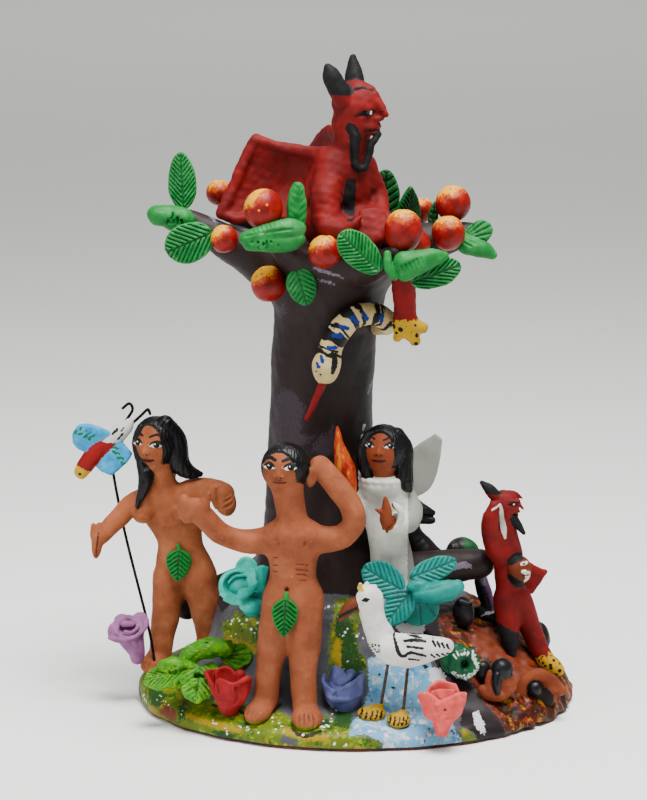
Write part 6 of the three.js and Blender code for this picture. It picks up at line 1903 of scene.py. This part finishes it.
def make_rose(name, shape):
    """A rose of pinched petals round a rolled bud, on a body that tapers to the ground."""
    spot = Lump(shape["at"], [1, 1, 1], 0, 12)
    parts = [Roll([[*spot.at(u, v, w), r] for u, v, w, r in points], 1.0)
             for points in [shape["body"]] + shape["rolls"]]
    parts += [spot.oval(*place, half) for place, half in shape.get("ovals", [])]
    petals = [panel([[spot.at(*p) for p in row] for row in rows], 1.8, 0.7)
              for rows in shape.get("petals", [])]
    clay = clay_for(parts + petals, 2.5, 0.4)
    clay.add(parts[0], 0.5)
    if "cup" in shape:
        place, half = shape["cup"]
        clay.add(spot.oval(*place, half), 1.5)
    place, half = shape["hollow"]
    clay.cut(spot.oval(*place, half), 0.8)
    clay.add(parts[1:] + petals, 0.5)
    for points in shape["cuts"]:
        route = [[*spot.at(u, v, w), r] for u, v, w, r in (points if len(points) > 1 else points * 2)]
        clay.cut(route, 0.4, 1.0)
    clay.knead(0.1, 6.0, 51)
    piece = clay.piece("rose_" + name + "_clay", "rose_" + name, "rose_" + name)
    colour, darker, lighter = shape["paint"]
    finish = Finish("matt acrylic on fired clay, rose " + name, colour, 0.72)
    finish.mottle(darker, lighter, 5.0, 0.45)
    finish.flecks(darker, 0.8, 0.08, 0.5)
    finish.cover(piece, 0.04, 0.1)


def make_roses():
    for name, shape in ROSES.items():
        make_rose(name, shape)


# The crown's leaves and fruits

CROWN_LEAVES = {
    1: Blade([-71.6, -8.6, 211], [-72.6, -8, 234.8], 12.0, 3.0, vein=2.1, press=0.6, belly=0.42, blunt=0.5,
             slope=1.25, fold=0.05),
    3: Blade([-59.2, -22, 203.8], [-78.4, -22, 195.4], 16.8, 3.2, vein=2.4, press=0.9, belly=0.55, blunt=0.48,
             slope=1.1, fold=0.04, arch=1.0),
    5: Blade([-25, -38, 205.6], [-24.4, -37, 226.6], 8.6, 4.4, (0.4, -0.9, 0), vein=3.0, press=0.25,
             blunt=0.4),
    6: Blade([-25, -30, 190.2], [-20.6, -31, 175], 12.4, 3.0, vein=2.2, press=0.6, blunt=0.5),
    7: Blade([8.8, -45.4, 191.2], [-7.4, -46, 207.2], 13.6, 3.2, vein=1.8, press=0.8, belly=0.6, blunt=0.46,
             arch=0.8),
    9: Blade([21, -45.6, 187], [41.2, -46, 194.4], 12.2, 3.0, vein=3.2, press=0.8, belly=0.55, blunt=0.5,
             slope=2.0),
    10: Blade([9.8, 13, 198], [12.4, 12, 224.8], 13.6, 3.0, vein=3.6, press=0.6, belly=0.5, blunt=0.5),
    11: Blade([20.4, 7, 197], [22.3, 2, 219.2], 14.4, 3.0, (0.5, -0.85, 0), vein=2.4, press=0.6, belly=0.2,
              blunt=0.75, slope=1.6),
    13: Blade([43.6, -12.6, 199.2], [55.4, -11, 204.6], 9.8, 3.0, (0, -0.9, 0.44), press=0.7, belly=0.6,
              blunt=0.5, fan=0.22),
    14: Blade([31, -1, 200.6], [32.2, 0, 213.6], 4.6, 2.6, vein=2.4, press=0.5, blunt=0.6),
}
ROLLED_LEAVES = {
    2: {"rolls": [[[-82.2, -12, 209.2, 4.4], [-76, -12.6, 208.6, 4.9], [-71.6, -13.2, 208, 4.5],
                   [-69.6, -13.6, 207.4, 3.2]],
                  [[-77, -13, 206.4, 3.4], [-73, -13, 205.4, 3.5], [-70.6, -13.6, 206, 2.6]]],
        "cuts": [[[-82.6, -15.8, 212, 0.5], [-79.6, -16.6, 211.8, 0.6]],
                 [[-78, -17, 211.8, 0.4], [-76.4, -17.2, 212.6, 0.5]],
                 [[-72.2, -17.6, 210.6, 0.5], [-70.8, -17.2, 211.8, 0.6]]],
        "pits": [[-78, -70.8, 205.6, 210.6, 18]], "depth": -17.2},
    4: {"rolls": [[[-44.6, -44, 204.6, 3.2], [-36, -43.6, 207, 3.9], [-28, -42, 208.4, 4.1],
                   [-23.8, -41, 208.2, 3]],
                  [[-43.4, -44, 202.6, 3.2], [-36, -43.8, 202.8, 3.9], [-28, -42, 202.8, 4.1],
                   [-24.2, -41, 204, 3]]],
        "cuts": [[[-45, -46.8, 206, 0.4], [-40, -47.4, 207.2, 0.6], [-34, -47.2, 208, 0.6],
                  [-27, -45.6, 208.6, 0.4]],
                 [[-41.4, -47.8, 204.6, 0.35], [-40.2, -47.2, 207.2, 0.4]],
                 [[-38, -47.8, 204.8, 0.35], [-37, -47.2, 207.6, 0.4]],
                 [[-34.8, -47.8, 205.2, 0.35], [-34, -47.2, 208, 0.4]]]
                + [[[-42.2 + 1.7 * k, -46.8, 207.4 + 0.5 * k, 0.35],
                    [-42.8 + 1.7 * k, -44.2, 209.8 + 0.42 * k, 0.5]]
                   for k in range(8)],
        "pits": [[-44, -28, 201, 205, 14]], "depth": -47.6},
    8: {"rolls": [[[18.4, -47, 195, 5], [23.6, -47.4, 195.8, 4.6], [29.6, -47, 197.4, 3.7],
                   [34.2, -46.4, 197.8, 2.2]],
                  [[18.6, -48.4, 191, 3.3], [23, -48.2, 192.6, 3], [28.4, -47.6, 195, 2.4]],
                  [[11.6, -47.6, 198.8, 1.7], [11.9, -48.8, 194, 2], [14.2, -49, 190, 1.8]]],
        "cuts": [[[14.2, -51, 197.4, 1.3], [13.9, -51.4, 195, 1.5], [14.6, -51.2, 192.6, 1.1]]]
                + [[[18.2 + 1.5 * k, -51.8, 191.4 + 0.7 * k, 0.35],
                    [17.4 + 1.5 * k, -51.6, 194.6 + 0.66 * k, 0.55]]
                   for k in range(10)]},
    12: {"rolls": [[[45.2, -12.8, 197, 4.4], [51, -13, 195.4, 3.8], [55.4, -13, 193, 2.3]],
                   [[43, -13.4, 200, 2.6], [46, -13, 198.8, 2.4]]],
         "cuts": [[[44.6, -16.4, 200.2, 0.35], [48, -16.6, 198.2, 0.4]],
                  [[43.6, -16.6, 198.6, 0.3], [46.6, -17, 197, 0.35]]]},
}


def put_crown_leaf(clay, number, blades, paint):
    clay.knead(0.1, 5.0, 60 + number)
    piece = clay.piece("crown_leaf_%d_clay" % number, "leaf_green", "crown_leaf_%d" % number)
    lay_veins(piece, blades)
    piece.data.materials.append(paint)


def make_crown_leaves():
    # Two copies of one leaf paint, as painted light: a lit one for most leaves, and a darker one, painted
    # shade, for the back leaves 10, 11 and 14.
    near = leaf_paint("acrylic leaf green, lit", "#0a6e28", "#01401a", "#46a05c")
    far = leaf_paint("acrylic leaf green, painted shade", "#004614", "#001e06", "#146a2c")
    for number, blade in CROWN_LEAVES.items():
        clay = clay_for([blade], 1, 0.36)
        clay.add(blade, 0.3)
        # The back leaves 10, 11 and 14 take the painted-shade copy.
        put_crown_leaf(clay, number, [] if number == 5 else [blade], far if number in (10, 11, 14) else near)
    rng = np.random.default_rng(8)
    for number, shape in ROLLED_LEAVES.items():
        parts = shapes_of(shape["rolls"], 1.2)
        clay = clay_for(parts, 2, 0.36)
        clay.add(parts, 0.8)
        clay.cut(shape["cuts"], 0.3, 0.8)
        for left, right, bottom, top, count in shape.get("pits", []):
            for _ in range(count):
                place = [rng.uniform(left, right), shape["depth"], rng.uniform(bottom, top)]
                clay.cut(Oval(place, [0.5, 1.2, 0.6]), 0.3)
        put_crown_leaf(clay, number, [], near)


# Each fruit: its middle, its radius, the height of the yellow above the middle, the way the yellow leans, and
# how much taller than wide it is
FRUITS = [
    [[-57.4, 5, 216], 5.5, 1.6, 0.1, 1.03], [[-38.3, -38, 215.6], 8.2, 5.6, 0.9, 1.03],
    [[-54.4, -21.6, 200.8], 5.8, 2.8, 0.9, 1.03], [[-36.5, -24, 182.6], 7.4, 3.0, 0.5, 1.03],
    [[-13.4, -36, 198], 6.9, 2.6, 0.4, 1.03], [[18, -40, 207], 7.8, 5.0, 0.1, 1.17],
    [[24, -22, 199.4], 5.8, 9.0, 0.0, 1.03], [[37, -18, 202.6], 7.0, 3.2, 0.1, 1.03],
    [[39.6, -4, 213], 7.5, 3.4, 0.3, 1.03], [[27.4, 14, 207.6], 5.1, 2.0, 0.2, 1.03],
]
FRUIT_DABS = [[-42.6, -45.2, 217.8], [-39.8, -46.2, 216.2], [-42, -44.6, 219.8], [-36.6, -46, 218.4]]


def make_fruits():
    finish = Finish("satin acrylic red and yellow, fruit", "#780200", 0.46)
    finish.mottle("#4c0000", "#981000", 4.0, 0.5)
    finish.coats(("yellow", "#a84000", 0.9, 1.2), ("top", "#d09200", 1.0, 0.6))
    streaks = finish.noise(1.6, 3.0, 0.6)
    share = finish.math("MULTIPLY", finish.ramp(streaks, 0.54, 0.66),
                        finish.ramp(finish.attribute("top"), 1.5, -1.0))
    finish.mix(share, "#ab3500")
    finish.coat("patch", "#5a0804", 0.5, edge=0.7, thin=0.8)
    finish.dots(FRUIT_DABS, 0.5, "#cb8600")
    paint = finish.clay_grain(0.03, 0.08).finish()
    for number, (centre, r, rise, lean, tall) in enumerate(FRUITS, 1):
        clay = Clay(np.array(centre) - r - 2, np.array(centre) + r + 3, 0.4)
        clay.add(Oval(centre, [r, r, r * tall]), 0.4)
        clay.cut(Oval([centre[0], centre[1], centre[2] + r * (tall + 0.09)], [1.2, 1.2, 1.4]), 1.2)
        clay.knead(0.16, 1.6 * r, 70 + number)
        piece = clay.piece("fruit_%d_clay" % number, "fruit_red", "fruit_%d" % number)
        where = points_of(piece)
        x, y, z = [w - c for w, c in zip(where, centre)]
        edge = rise - z + lean * x + 0.5 * ripple(where, 3.0, number, 5)
        lay(piece, "yellow", edge)
        lay(piece, "top", edge + 1.8)
        lay(piece, "patch", np.hypot(x - 0.1 * r, z - 0.1 * r) - 0.24 * r + np.where(y < 0, 0.0, PAINT_REACH))
        piece.data.materials.append(paint)


# The two leaf clusters by the water and in the grass

TURQUOISE_LEAVES = [
    Blade(base, tip, width, 2.8, (0.0, -0.9, 0.42), belly=0.5, blunt=0.5, vein=2.6, press=0.6, fold=0.05,
          slope=1.1)
    for base, tip, width in [([19, -42.6, 57.4], [2, -41.6, 67.6], 14.6),
                             ([21.4, -41.4, 62.6], [41, -37.6, 69.4], 10.6),
                             ([22, -43, 57.6], [11.6, -47.8, 45], 12.0)]
] + [Blade([25, -40.4, 56], [26.4, -41, 42.4], 16.6, 2.8, (0, -1, 0.2), belly=0.5, blunt=0.45, fan=0.5,
           press=0.3, fold=0.02)]


def make_turquoise_leaves():
    clay = Clay([-3, -54, 38], [49, -27, 76], 0.42)
    clay.add([[24.4, -40, 57, 4], [23, -33, 46, 5]], 1.0)
    clay.add(TURQUOISE_LEAVES, 0.4)
    clay.add([[25, -43.6, 56.6, 3.4], [31, -44.6, 57.2, 4.5], [37.4, -44, 58.4, 4.5],
              [41, -43.2, 59.6, 3.2]], 0.6)
    clay.cut([[24.6, -47.2, 58.8, 0.5], [31, -48, 60.4, 0.8], [37, -47, 62, 0.8], [41, -45.4, 62.6, 0.5]],
             0.4, 1.2)
    clay.add(Oval([24.6, -43.6, 60.2], [5, 3.2, 2.6], (0, -10, 0)), 0.6)
    for k in range(6):
        clay.cut([[22.0 + 1.2 * k, -47.0, 58.0 + 0.2 * k, 0.25],
                  [22.6 + 1.2 * k, -46.4, 60.6 + 0.2 * k, 0.3]], 0.25, 0.8)
    clay.cut(Oval([20, -46, 57.8], [1.2, 2.4, 1]), 0.5)
    clay.knead(0.12, 6.0, 81)
    piece = clay.piece("turquoise_leaves_clay", "leaf_turquoise", "leaf_cluster_turquoise")
    lay_veins(piece, TURQUOISE_LEAVES)
    piece.data.materials.append(leaf_paint("satin acrylic turquoise", "#00746a", "#004a44", "#009488", 0.5))


GREEN_LEAVES = [
    Blade([-57, -35.6, 27.4], [-43.4, -34.4, 28.2], 11.6, 2.8, (0, -0.8, 0.6), belly=0.6, blunt=0.45,
          fan=0.22, press=0.6),
    Blade([-70, -45, 24.4], [-88.6, -47.6, 20.6], 13.0, 3.0, (0, -0.6, 0.8), belly=0.5, blunt=0.5, vein=2.2,
          press=0.7, slope=1.4),
    Blade([-64.6, -44.6, 26.6], [-66.6, -57.6, 14.6], 15.6, 3.2, (0, -0.85, 0.52), belly=0.45, blunt=0.5,
          vein=2.6, press=0.6, slope=0.9, arch=1.2),
]


def make_green_leaves():
    clay = Clay([-93, -63, 9], [-38, -22, 38], 0.44)
    clay.add(Oval([-61, -38, 20.6], [6.5, 6, 5]), 1.0)
    clay.add([[-72, -44, 21, 4.5], [-66, -42, 20, 5]], 1.0)
    clay.add(GREEN_LEAVES, 0.4)
    clay.add([[-79.6, -43.6, 26, 3.4], [-76, -43.4, 26.2, 3.9], [-71, -42.4, 24.6, 3.9],
              [-68.6, -42, 23.6, 3.2]], 0.5)
    clay.add(Oval([-69.4, -38, 28.4], [5.4, 4.4, 3.8], (0, -24, 0)), 0.4)
    clay.add([[-68, -38.6, 30.6, 3.8], [-61, -37.4, 31.8, 4.6], [-54.6, -36, 31.2, 4]], 0.4)
    clay.cut([[-61.8, -38.6, 33.6, 0.4], [-65, -41.4, 31.4, 0.55], [-68, -42.4, 28.4, 0.5]], 0.4, 1.2)
    for k in range(4):
        clay.cut([[-76.8 + 1.9 * k, -47.2, 25.2 - 0.5 * k, 0.3],
                  [-74.2 + 1.9 * k, -46.6, 27.0 - 0.6 * k, 0.3]], 0.25, 1.0)
    clay.add([[-69.4, -47.6, 25, 1.2], [-73, -49.4, 22.8, 1.4], [-76, -50.4, 21, 1]], 0.5)
    rng = np.random.default_rng(12)
    for _ in range(16):
        place = [rng.uniform(-67, -61), -54.0, rng.uniform(18.0, 24.0)]
        clay.cut(Oval([place[0], place[1] + 0.8 * (place[2] - 18.0), place[2]], [0.4, 1.6, 0.5]), 0.25)
    clay.knead(0.3, 4.4, 82)
    piece = clay.piece("green_leaves_clay", "leaf_lime", "leaf_cluster_green")
    lay_veins(piece, GREEN_LEAVES)
    finish = Finish("satin acrylic yellow green", "#3c8600", 0.46)
    finish.mottle("#155a00", "#78b000", 4.0, 0.5)
    streaks = finish.noise(2.4, 3.0, 0.6, (1.0, 1.0, 2.2))
    finish.mix(finish.ramp(streaks, 0.56, 0.68, 0.0, 0.7), "#9aa100")
    finish.coat("veins", "#1a5200", 0.2, edge=0.2, thin=0.8)
    finish.cover(piece, 0.05, 0.12)


# The dark heads and small figures round the root, and the ring coil

def dark_piece(name, node_name, low, high, shapes, cuts=()):
    clay = Clay(low, high, 0.42)
    clay.add(shapes, 0.9)
    clay.cut(cuts, 0.35, 1.0)
    clay.knead(0.12, 6.0, 90)
    return clay.piece(name, "black_paint", node_name)


def paint_small_head(head):
    x, y, z = points_of(head)
    lay(head, "green", 45.4 - x + 0.3 * ripple([x, y, z], 4.0, 2, 5))
    finish = Finish("satin acrylic black and green, small head", "#100e0c", 0.45)
    finish.mottle("#050403", "#1f1c19", 5.0, 0.5)
    finish.coat("green", "#0a481f", 0.6, edge=0.9)
    finish.dots([[47.2, -4.6, 69.4], [46.5, -5, 67.9], [50.8, -4, 66.9]], 0.55, "#d8dbd3")
    finish.cover(head, 0.04, 0.12)


def paint_small_figure(figure):
    x, y, z = points_of(figure)
    mauve = np.maximum(39.4 - z, 55.2 - x + 0.3 * (47 - z))
    lay(figure, "mauve", mauve + np.where(y < -1.0, 0.0, PAINT_REACH))
    lay(figure, "white", drawn([[[52.8, 37, 0.3], [55.4, 38.4, 0.55], [58, 38.8, 0.3]]], x, z, y < -5))
    finish = Finish("satin acrylic black and mauve, small figure", "#100d10", 0.45)
    finish.mottle("#050405", "#221c23", 5.0, 0.5)
    finish.coats(("mauve", "#593e5e", 0.4, 0.5), ("white", "#bfbbb8", 0.3))
    finish.cover(figure, 0.04, 0.12)


def make_dark_pieces():
    finish = Finish("satin acrylic black on fired clay", "#0d0d10", 0.42)
    finish.mottle("#030304", "#1c1c22", 6.0, 0.5)
    finish.mix(finish.ramp(finish.noise(9.0, 2.0), 0.52, 0.66, 0.0, 0.5), "#1d100c")
    black = finish.clay_grain(0.04, 0.14).finish()
    dog = dark_piece("dog_head_clay", "dark_dog", [14, -6, 52], [42, 13, 90], [
        Roll([[34, 2, 58, 5.6], [28, 3, 62.4, 6.4], [23.8, 3.6, 69, 5], [22.6, 4, 75, 4.4],
              [23, 3.6, 80, 5]]),
        Oval([23.8, 2.6, 81.4], [4.6, 4.4, 4.6]),
        Roll([[24.6, 2, 81.4, 3.9], [28.8, 1.6, 80.9, 2.6], [32.2, 1.4, 79.8, 1.5]], 1.2),
        Roll([[24.6, 2, 78, 3.2], [29.6, 1.6, 76.6, 2], [32.2, 1.4, 76.6, 1.5]], 1.2),
        Roll([[21, 0.8, 83.6, 1.6], [20, 0.4, 86.6, 1]], 1.0),
    ], [[[26.6, -2.6, 82.6, 0.6], [28, -2.6, 82.2, 0.6]], [[29.4, -1.4, 78.8, 0.6], [33.4, 0.6, 78.2, 0.6]]])
    head = dark_piece("head_behind_root_clay", "dark_head_behind_root", [34, -8, 51], [56, 9, 72], [
        Oval([45, 1, 62], [7.4, 5.8, 7.4]), Oval([40.8, -1.4, 64.4], [2.6, 3, 3.6]),
    ], [[[40.6, -5.4, 66, 0.4], [42.4, -5.4, 64.4, 0.5], [42, -5.2, 61.6, 0.4]]])
    under = dark_piece("head_under_root_clay", "dark_head_under_root", [39, -26, 31], [53, -11, 51], [
        Oval([44.8, -18, 41.5], [4.6, 4.8, 7], (0, -6, 0)),
        Roll([[43.4, -21, 47, 1.5], [47.4, -21.6, 46.2, 1.3]], 1.0),
    ], [[[42.2, -23.4, 46, 0.4], [45, -23.8, 46.8, 0.4], [48.4, -22, 45.4, 0.4]]])
    figure = dark_piece("figure_by_root_clay", "dark_figure_by_root", [47, -13, 29], [67, 5, 56], [
        Roll([[53, 0, 50, 3.2], [54.6, -3, 45, 3.4], [56.4, -4, 40, 2.8]]),
        Roll([[52.6, -4.4, 37.8, 3.4], [57, -5, 36.4, 3.9], [61, -5, 34, 3]]),
    ], [[[52, -4.6, 46.6, 0.4], [53.6, -7, 41.6, 0.5]]])
    behind = dark_piece("head_behind_leg_clay", "dark_head_behind_leg", [72, -10, 18], [86, 5, 36], [
        Oval([78.6, -3, 27], [4, 4.2, 6.4], (0, -16, 0))])
    low_head = dark_piece("low_head_clay", "dark_head_low", [46, -48, 17], [58, -36, 30], [
        Oval([52, -42, 23.2], [3.5, 3.5, 4.6])])
    for piece in (dog, under, behind, low_head):
        piece.data.materials.append(black)
    paint_small_head(head)
    paint_small_figure(figure)


CROUCH_CAP = [Oval([59.6, -45.6, 25.2], [4.6, 4.6, 4.6]),
              Roll([[57.6, -49, 23.4, 2], [57.2, -50.4, 20, 1.8], [57.6, -50.8, 16.6, 1]], 1.0)]


def make_crouching_figure():
    clay = Clay([45, -54, 8], [70, -38, 33], 0.4)
    clay.add([Oval([59.8, -45, 18.6], [4.6, 4.4, 6.6]), Oval([59.4, -45.8, 24], [4.2, 4.2, 4.4]),
              [[62.8, -45.2, 21.4, 2.3], [64, -45.4, 17.6, 2.1], [61, -47.4, 14.8, 2]],
              [[54.8, -46.6, 24, 1.5], [54, -48, 19.6, 1.8], [55.4, -49.6, 15.6, 2]],
              [[58.6, -49.4, 14.8, 2.4], [54.4, -49, 15, 2.4], [51.4, -48.6, 17.4, 2.1]]], 0.6, 1.0)
    clay.cut([[55.6, -50.6, 22.6, 0.35], [55.4, -51.4, 17.4, 0.4]], 0.3, 1.0)
    clay.add(CROUCH_CAP, 0.4)
    clay.knead(0.1, 5.0, 93)
    piece = clay.piece("crouching_figure_clay", "skin_brown", "crouching_figure")
    lay(piece, "black", nearest(CROUCH_CAP, points_of(piece)) - 0.35)
    finish = terracotta("fired terracotta, crouching figure", "#6e2c10", "#4c1803", "#8a4422")
    finish.coat("black", "#0d0e11", 0.15, roughness=0.4)
    finish.cover(piece)


ARCH = [[67.6, -38, 9, 2.6], [68.6, -38, 15, 2.6], [71.4, -38, 19.6, 2.6], [75.6, -38, 20.6, 2.7],
        [80.4, -37, 18, 2.6], [84.6, -36, 13, 2.4]]
ARCH_BALL = Oval([73.8, -39.4, 15], [3.2, 3.2, 3.4])


def make_arched_figure():
    clay = Clay([62, -44, 5], [90, -30, 26], 0.4)
    # A flat oval fills the opening under the arch; where it shows inside the arch it is painted near-black,
    # as painted shade.
    clay.add(Oval([76, -35.4, 11.4], [7.2, 3, 7]), 0.6)
    clay.add(ARCH, 0.6, 1.2)
    clay.add(ARCH_BALL, 0.3)
    clay.knead(0.12, 5.0, 94)
    piece = clay.piece("arched_figure_clay", "skin_brown", "arched_figure")
    x, y, z = where = points_of(piece)
    inner = Roll(ARCH, 1.2).distance(where)
    # Painted shade: the front of the oval inside the arch.
    lay(piece, "dark", np.where((y < -36.0) & (x > 67.0) & (x < 82.0) & (z < 20.0), 0.9 - inner, PAINT_REACH))
    lay(piece, "black", ARCH_BALL.distance(where) - 0.3)
    finish = terracotta("fired terracotta, arched figure", "#743012", "#4c1a03", "#924c28")
    # Painted shade under the arch.
    finish.coat("dark", "#120402", 0.4, edge=0.4)
    finish.coat("black", "#0b0d12", 0.15, roughness=0.38)
    finish.cover(piece)


def ring_route(centre, across, up, tilt, tube):
    """A ring of clay that stands facing the front, turned by tilt degrees."""
    c, s = math.cos(math.radians(tilt)), math.sin(math.radians(tilt))
    return [[centre[0] + across * math.cos(a) * c, centre[1] + across * math.cos(a) * s,
             centre[2] + up * math.sin(a), tube]
            for a in np.radians(np.arange(0, 391, 30))]


def make_ring_coil():
    front, back = [43.9, -49, 28.6], [40.4, -45.2, 29.4]
    rings = [Roll(ring_route(front, 4.0, 4.4, 8, 2.75), 1.5), Roll(ring_route(back, 4.0, 4.4, 14, 2.7), 1.5)]
    clay = Clay([32, -54, 19], [52, -38, 38], 0.4)
    clay.add(rings, 0.4)
    clay.knead(0.1, 5.0, 95)
    piece = clay.piece("ring_coil_clay", "coil_green", "ring_coil")
    x, y, z = points_of(piece)
    rng = np.random.default_rng(9)
    flecks = []
    for turn in np.concatenate([np.linspace(-2.6, 0.9, 22), np.linspace(1.0, 2.4, 6)]):
        start, length = rng.uniform(3.8, 5.0), rng.uniform(0.8, 1.8)
        across, up = math.cos(turn), 1.05 * math.sin(turn)
        flecks.append([[front[0] + start * across, front[2] + start * up, 0.3],
                       [front[0] + (start + length) * across, front[2] + (start + length) * up, 0.38]])
    lay(piece, "white", drawn(flecks, x, z, y < -48.6))
    finish = Finish("satin acrylic dark green, ring coil", "#004826", 0.45)
    finish.mottle("#002216", "#0f683f", 4.0, 0.5)
    finish.coat("white", "#d2d6ce", 0.3)
    finish.cover(piece, 0.05, 0.12)


# Floor and light, in metres

FLOOR_WIDTH = 12.0


def add_stage():
    half = FLOOR_WIDTH / 2
    mesh = bpy.data.meshes.new("floor")
    mesh.from_pydata([(-half, -half, 0), (half, -half, 0), (half, half, 0), (-half, half, 0)], [],
                     [(0, 1, 2, 3)])
    floor = add_object("floor", mesh)
    finish = Finish("matt studio paper", "#f0f0ee", 0.95)
    floor.data.materials.append(finish.finish())


def add_light(name, place, size, energy, aim=(0.0, 0.0, 0.12)):
    data = bpy.data.lights.new(name, "AREA")
    data.size = size
    data.energy = energy
    light = add_object(name, data)
    light.location = place
    light.rotation_euler = (Vector(place) - Vector(aim)).to_track_quat("Z", "Y").to_euler()


def add_lights():
    world = bpy.data.worlds.new("studio")
    world.use_nodes = True
    background = world.node_tree.nodes["Background"]
    background.inputs["Color"].default_value = linear("#d4d4d2")
    background.inputs["Strength"].default_value = 0.5
    bpy.context.scene.world = world
    add_light("soft_box_above", (0.1, -0.2, 0.95), 0.5, 23.0)
    add_light("soft_box_left", (-0.7, -0.5, 0.5), 0.4, 3.6)
    add_light("backdrop_light", (0.0, 3.4, 2.2), 2.4, 30.0, (0.0, 3.4, 0.0))


add_camera()
make_tree_and_mound()
make_man()
make_fig_leaves()
make_woman()
make_angel()
make_tree_figure()
make_standing_figure()
make_snake()
make_flame_sword()
make_crane()
make_crane_feet()
make_butterfly()
make_wires()
make_roses()
make_crown_leaves()
make_fruits()
make_turquoise_leaves()
make_green_leaves()
make_dark_pieces()
make_crouching_figure()
make_arched_figure()
make_ring_coil()
for made in PIECES:
    thin_out(made)
add_stage()
add_lights()
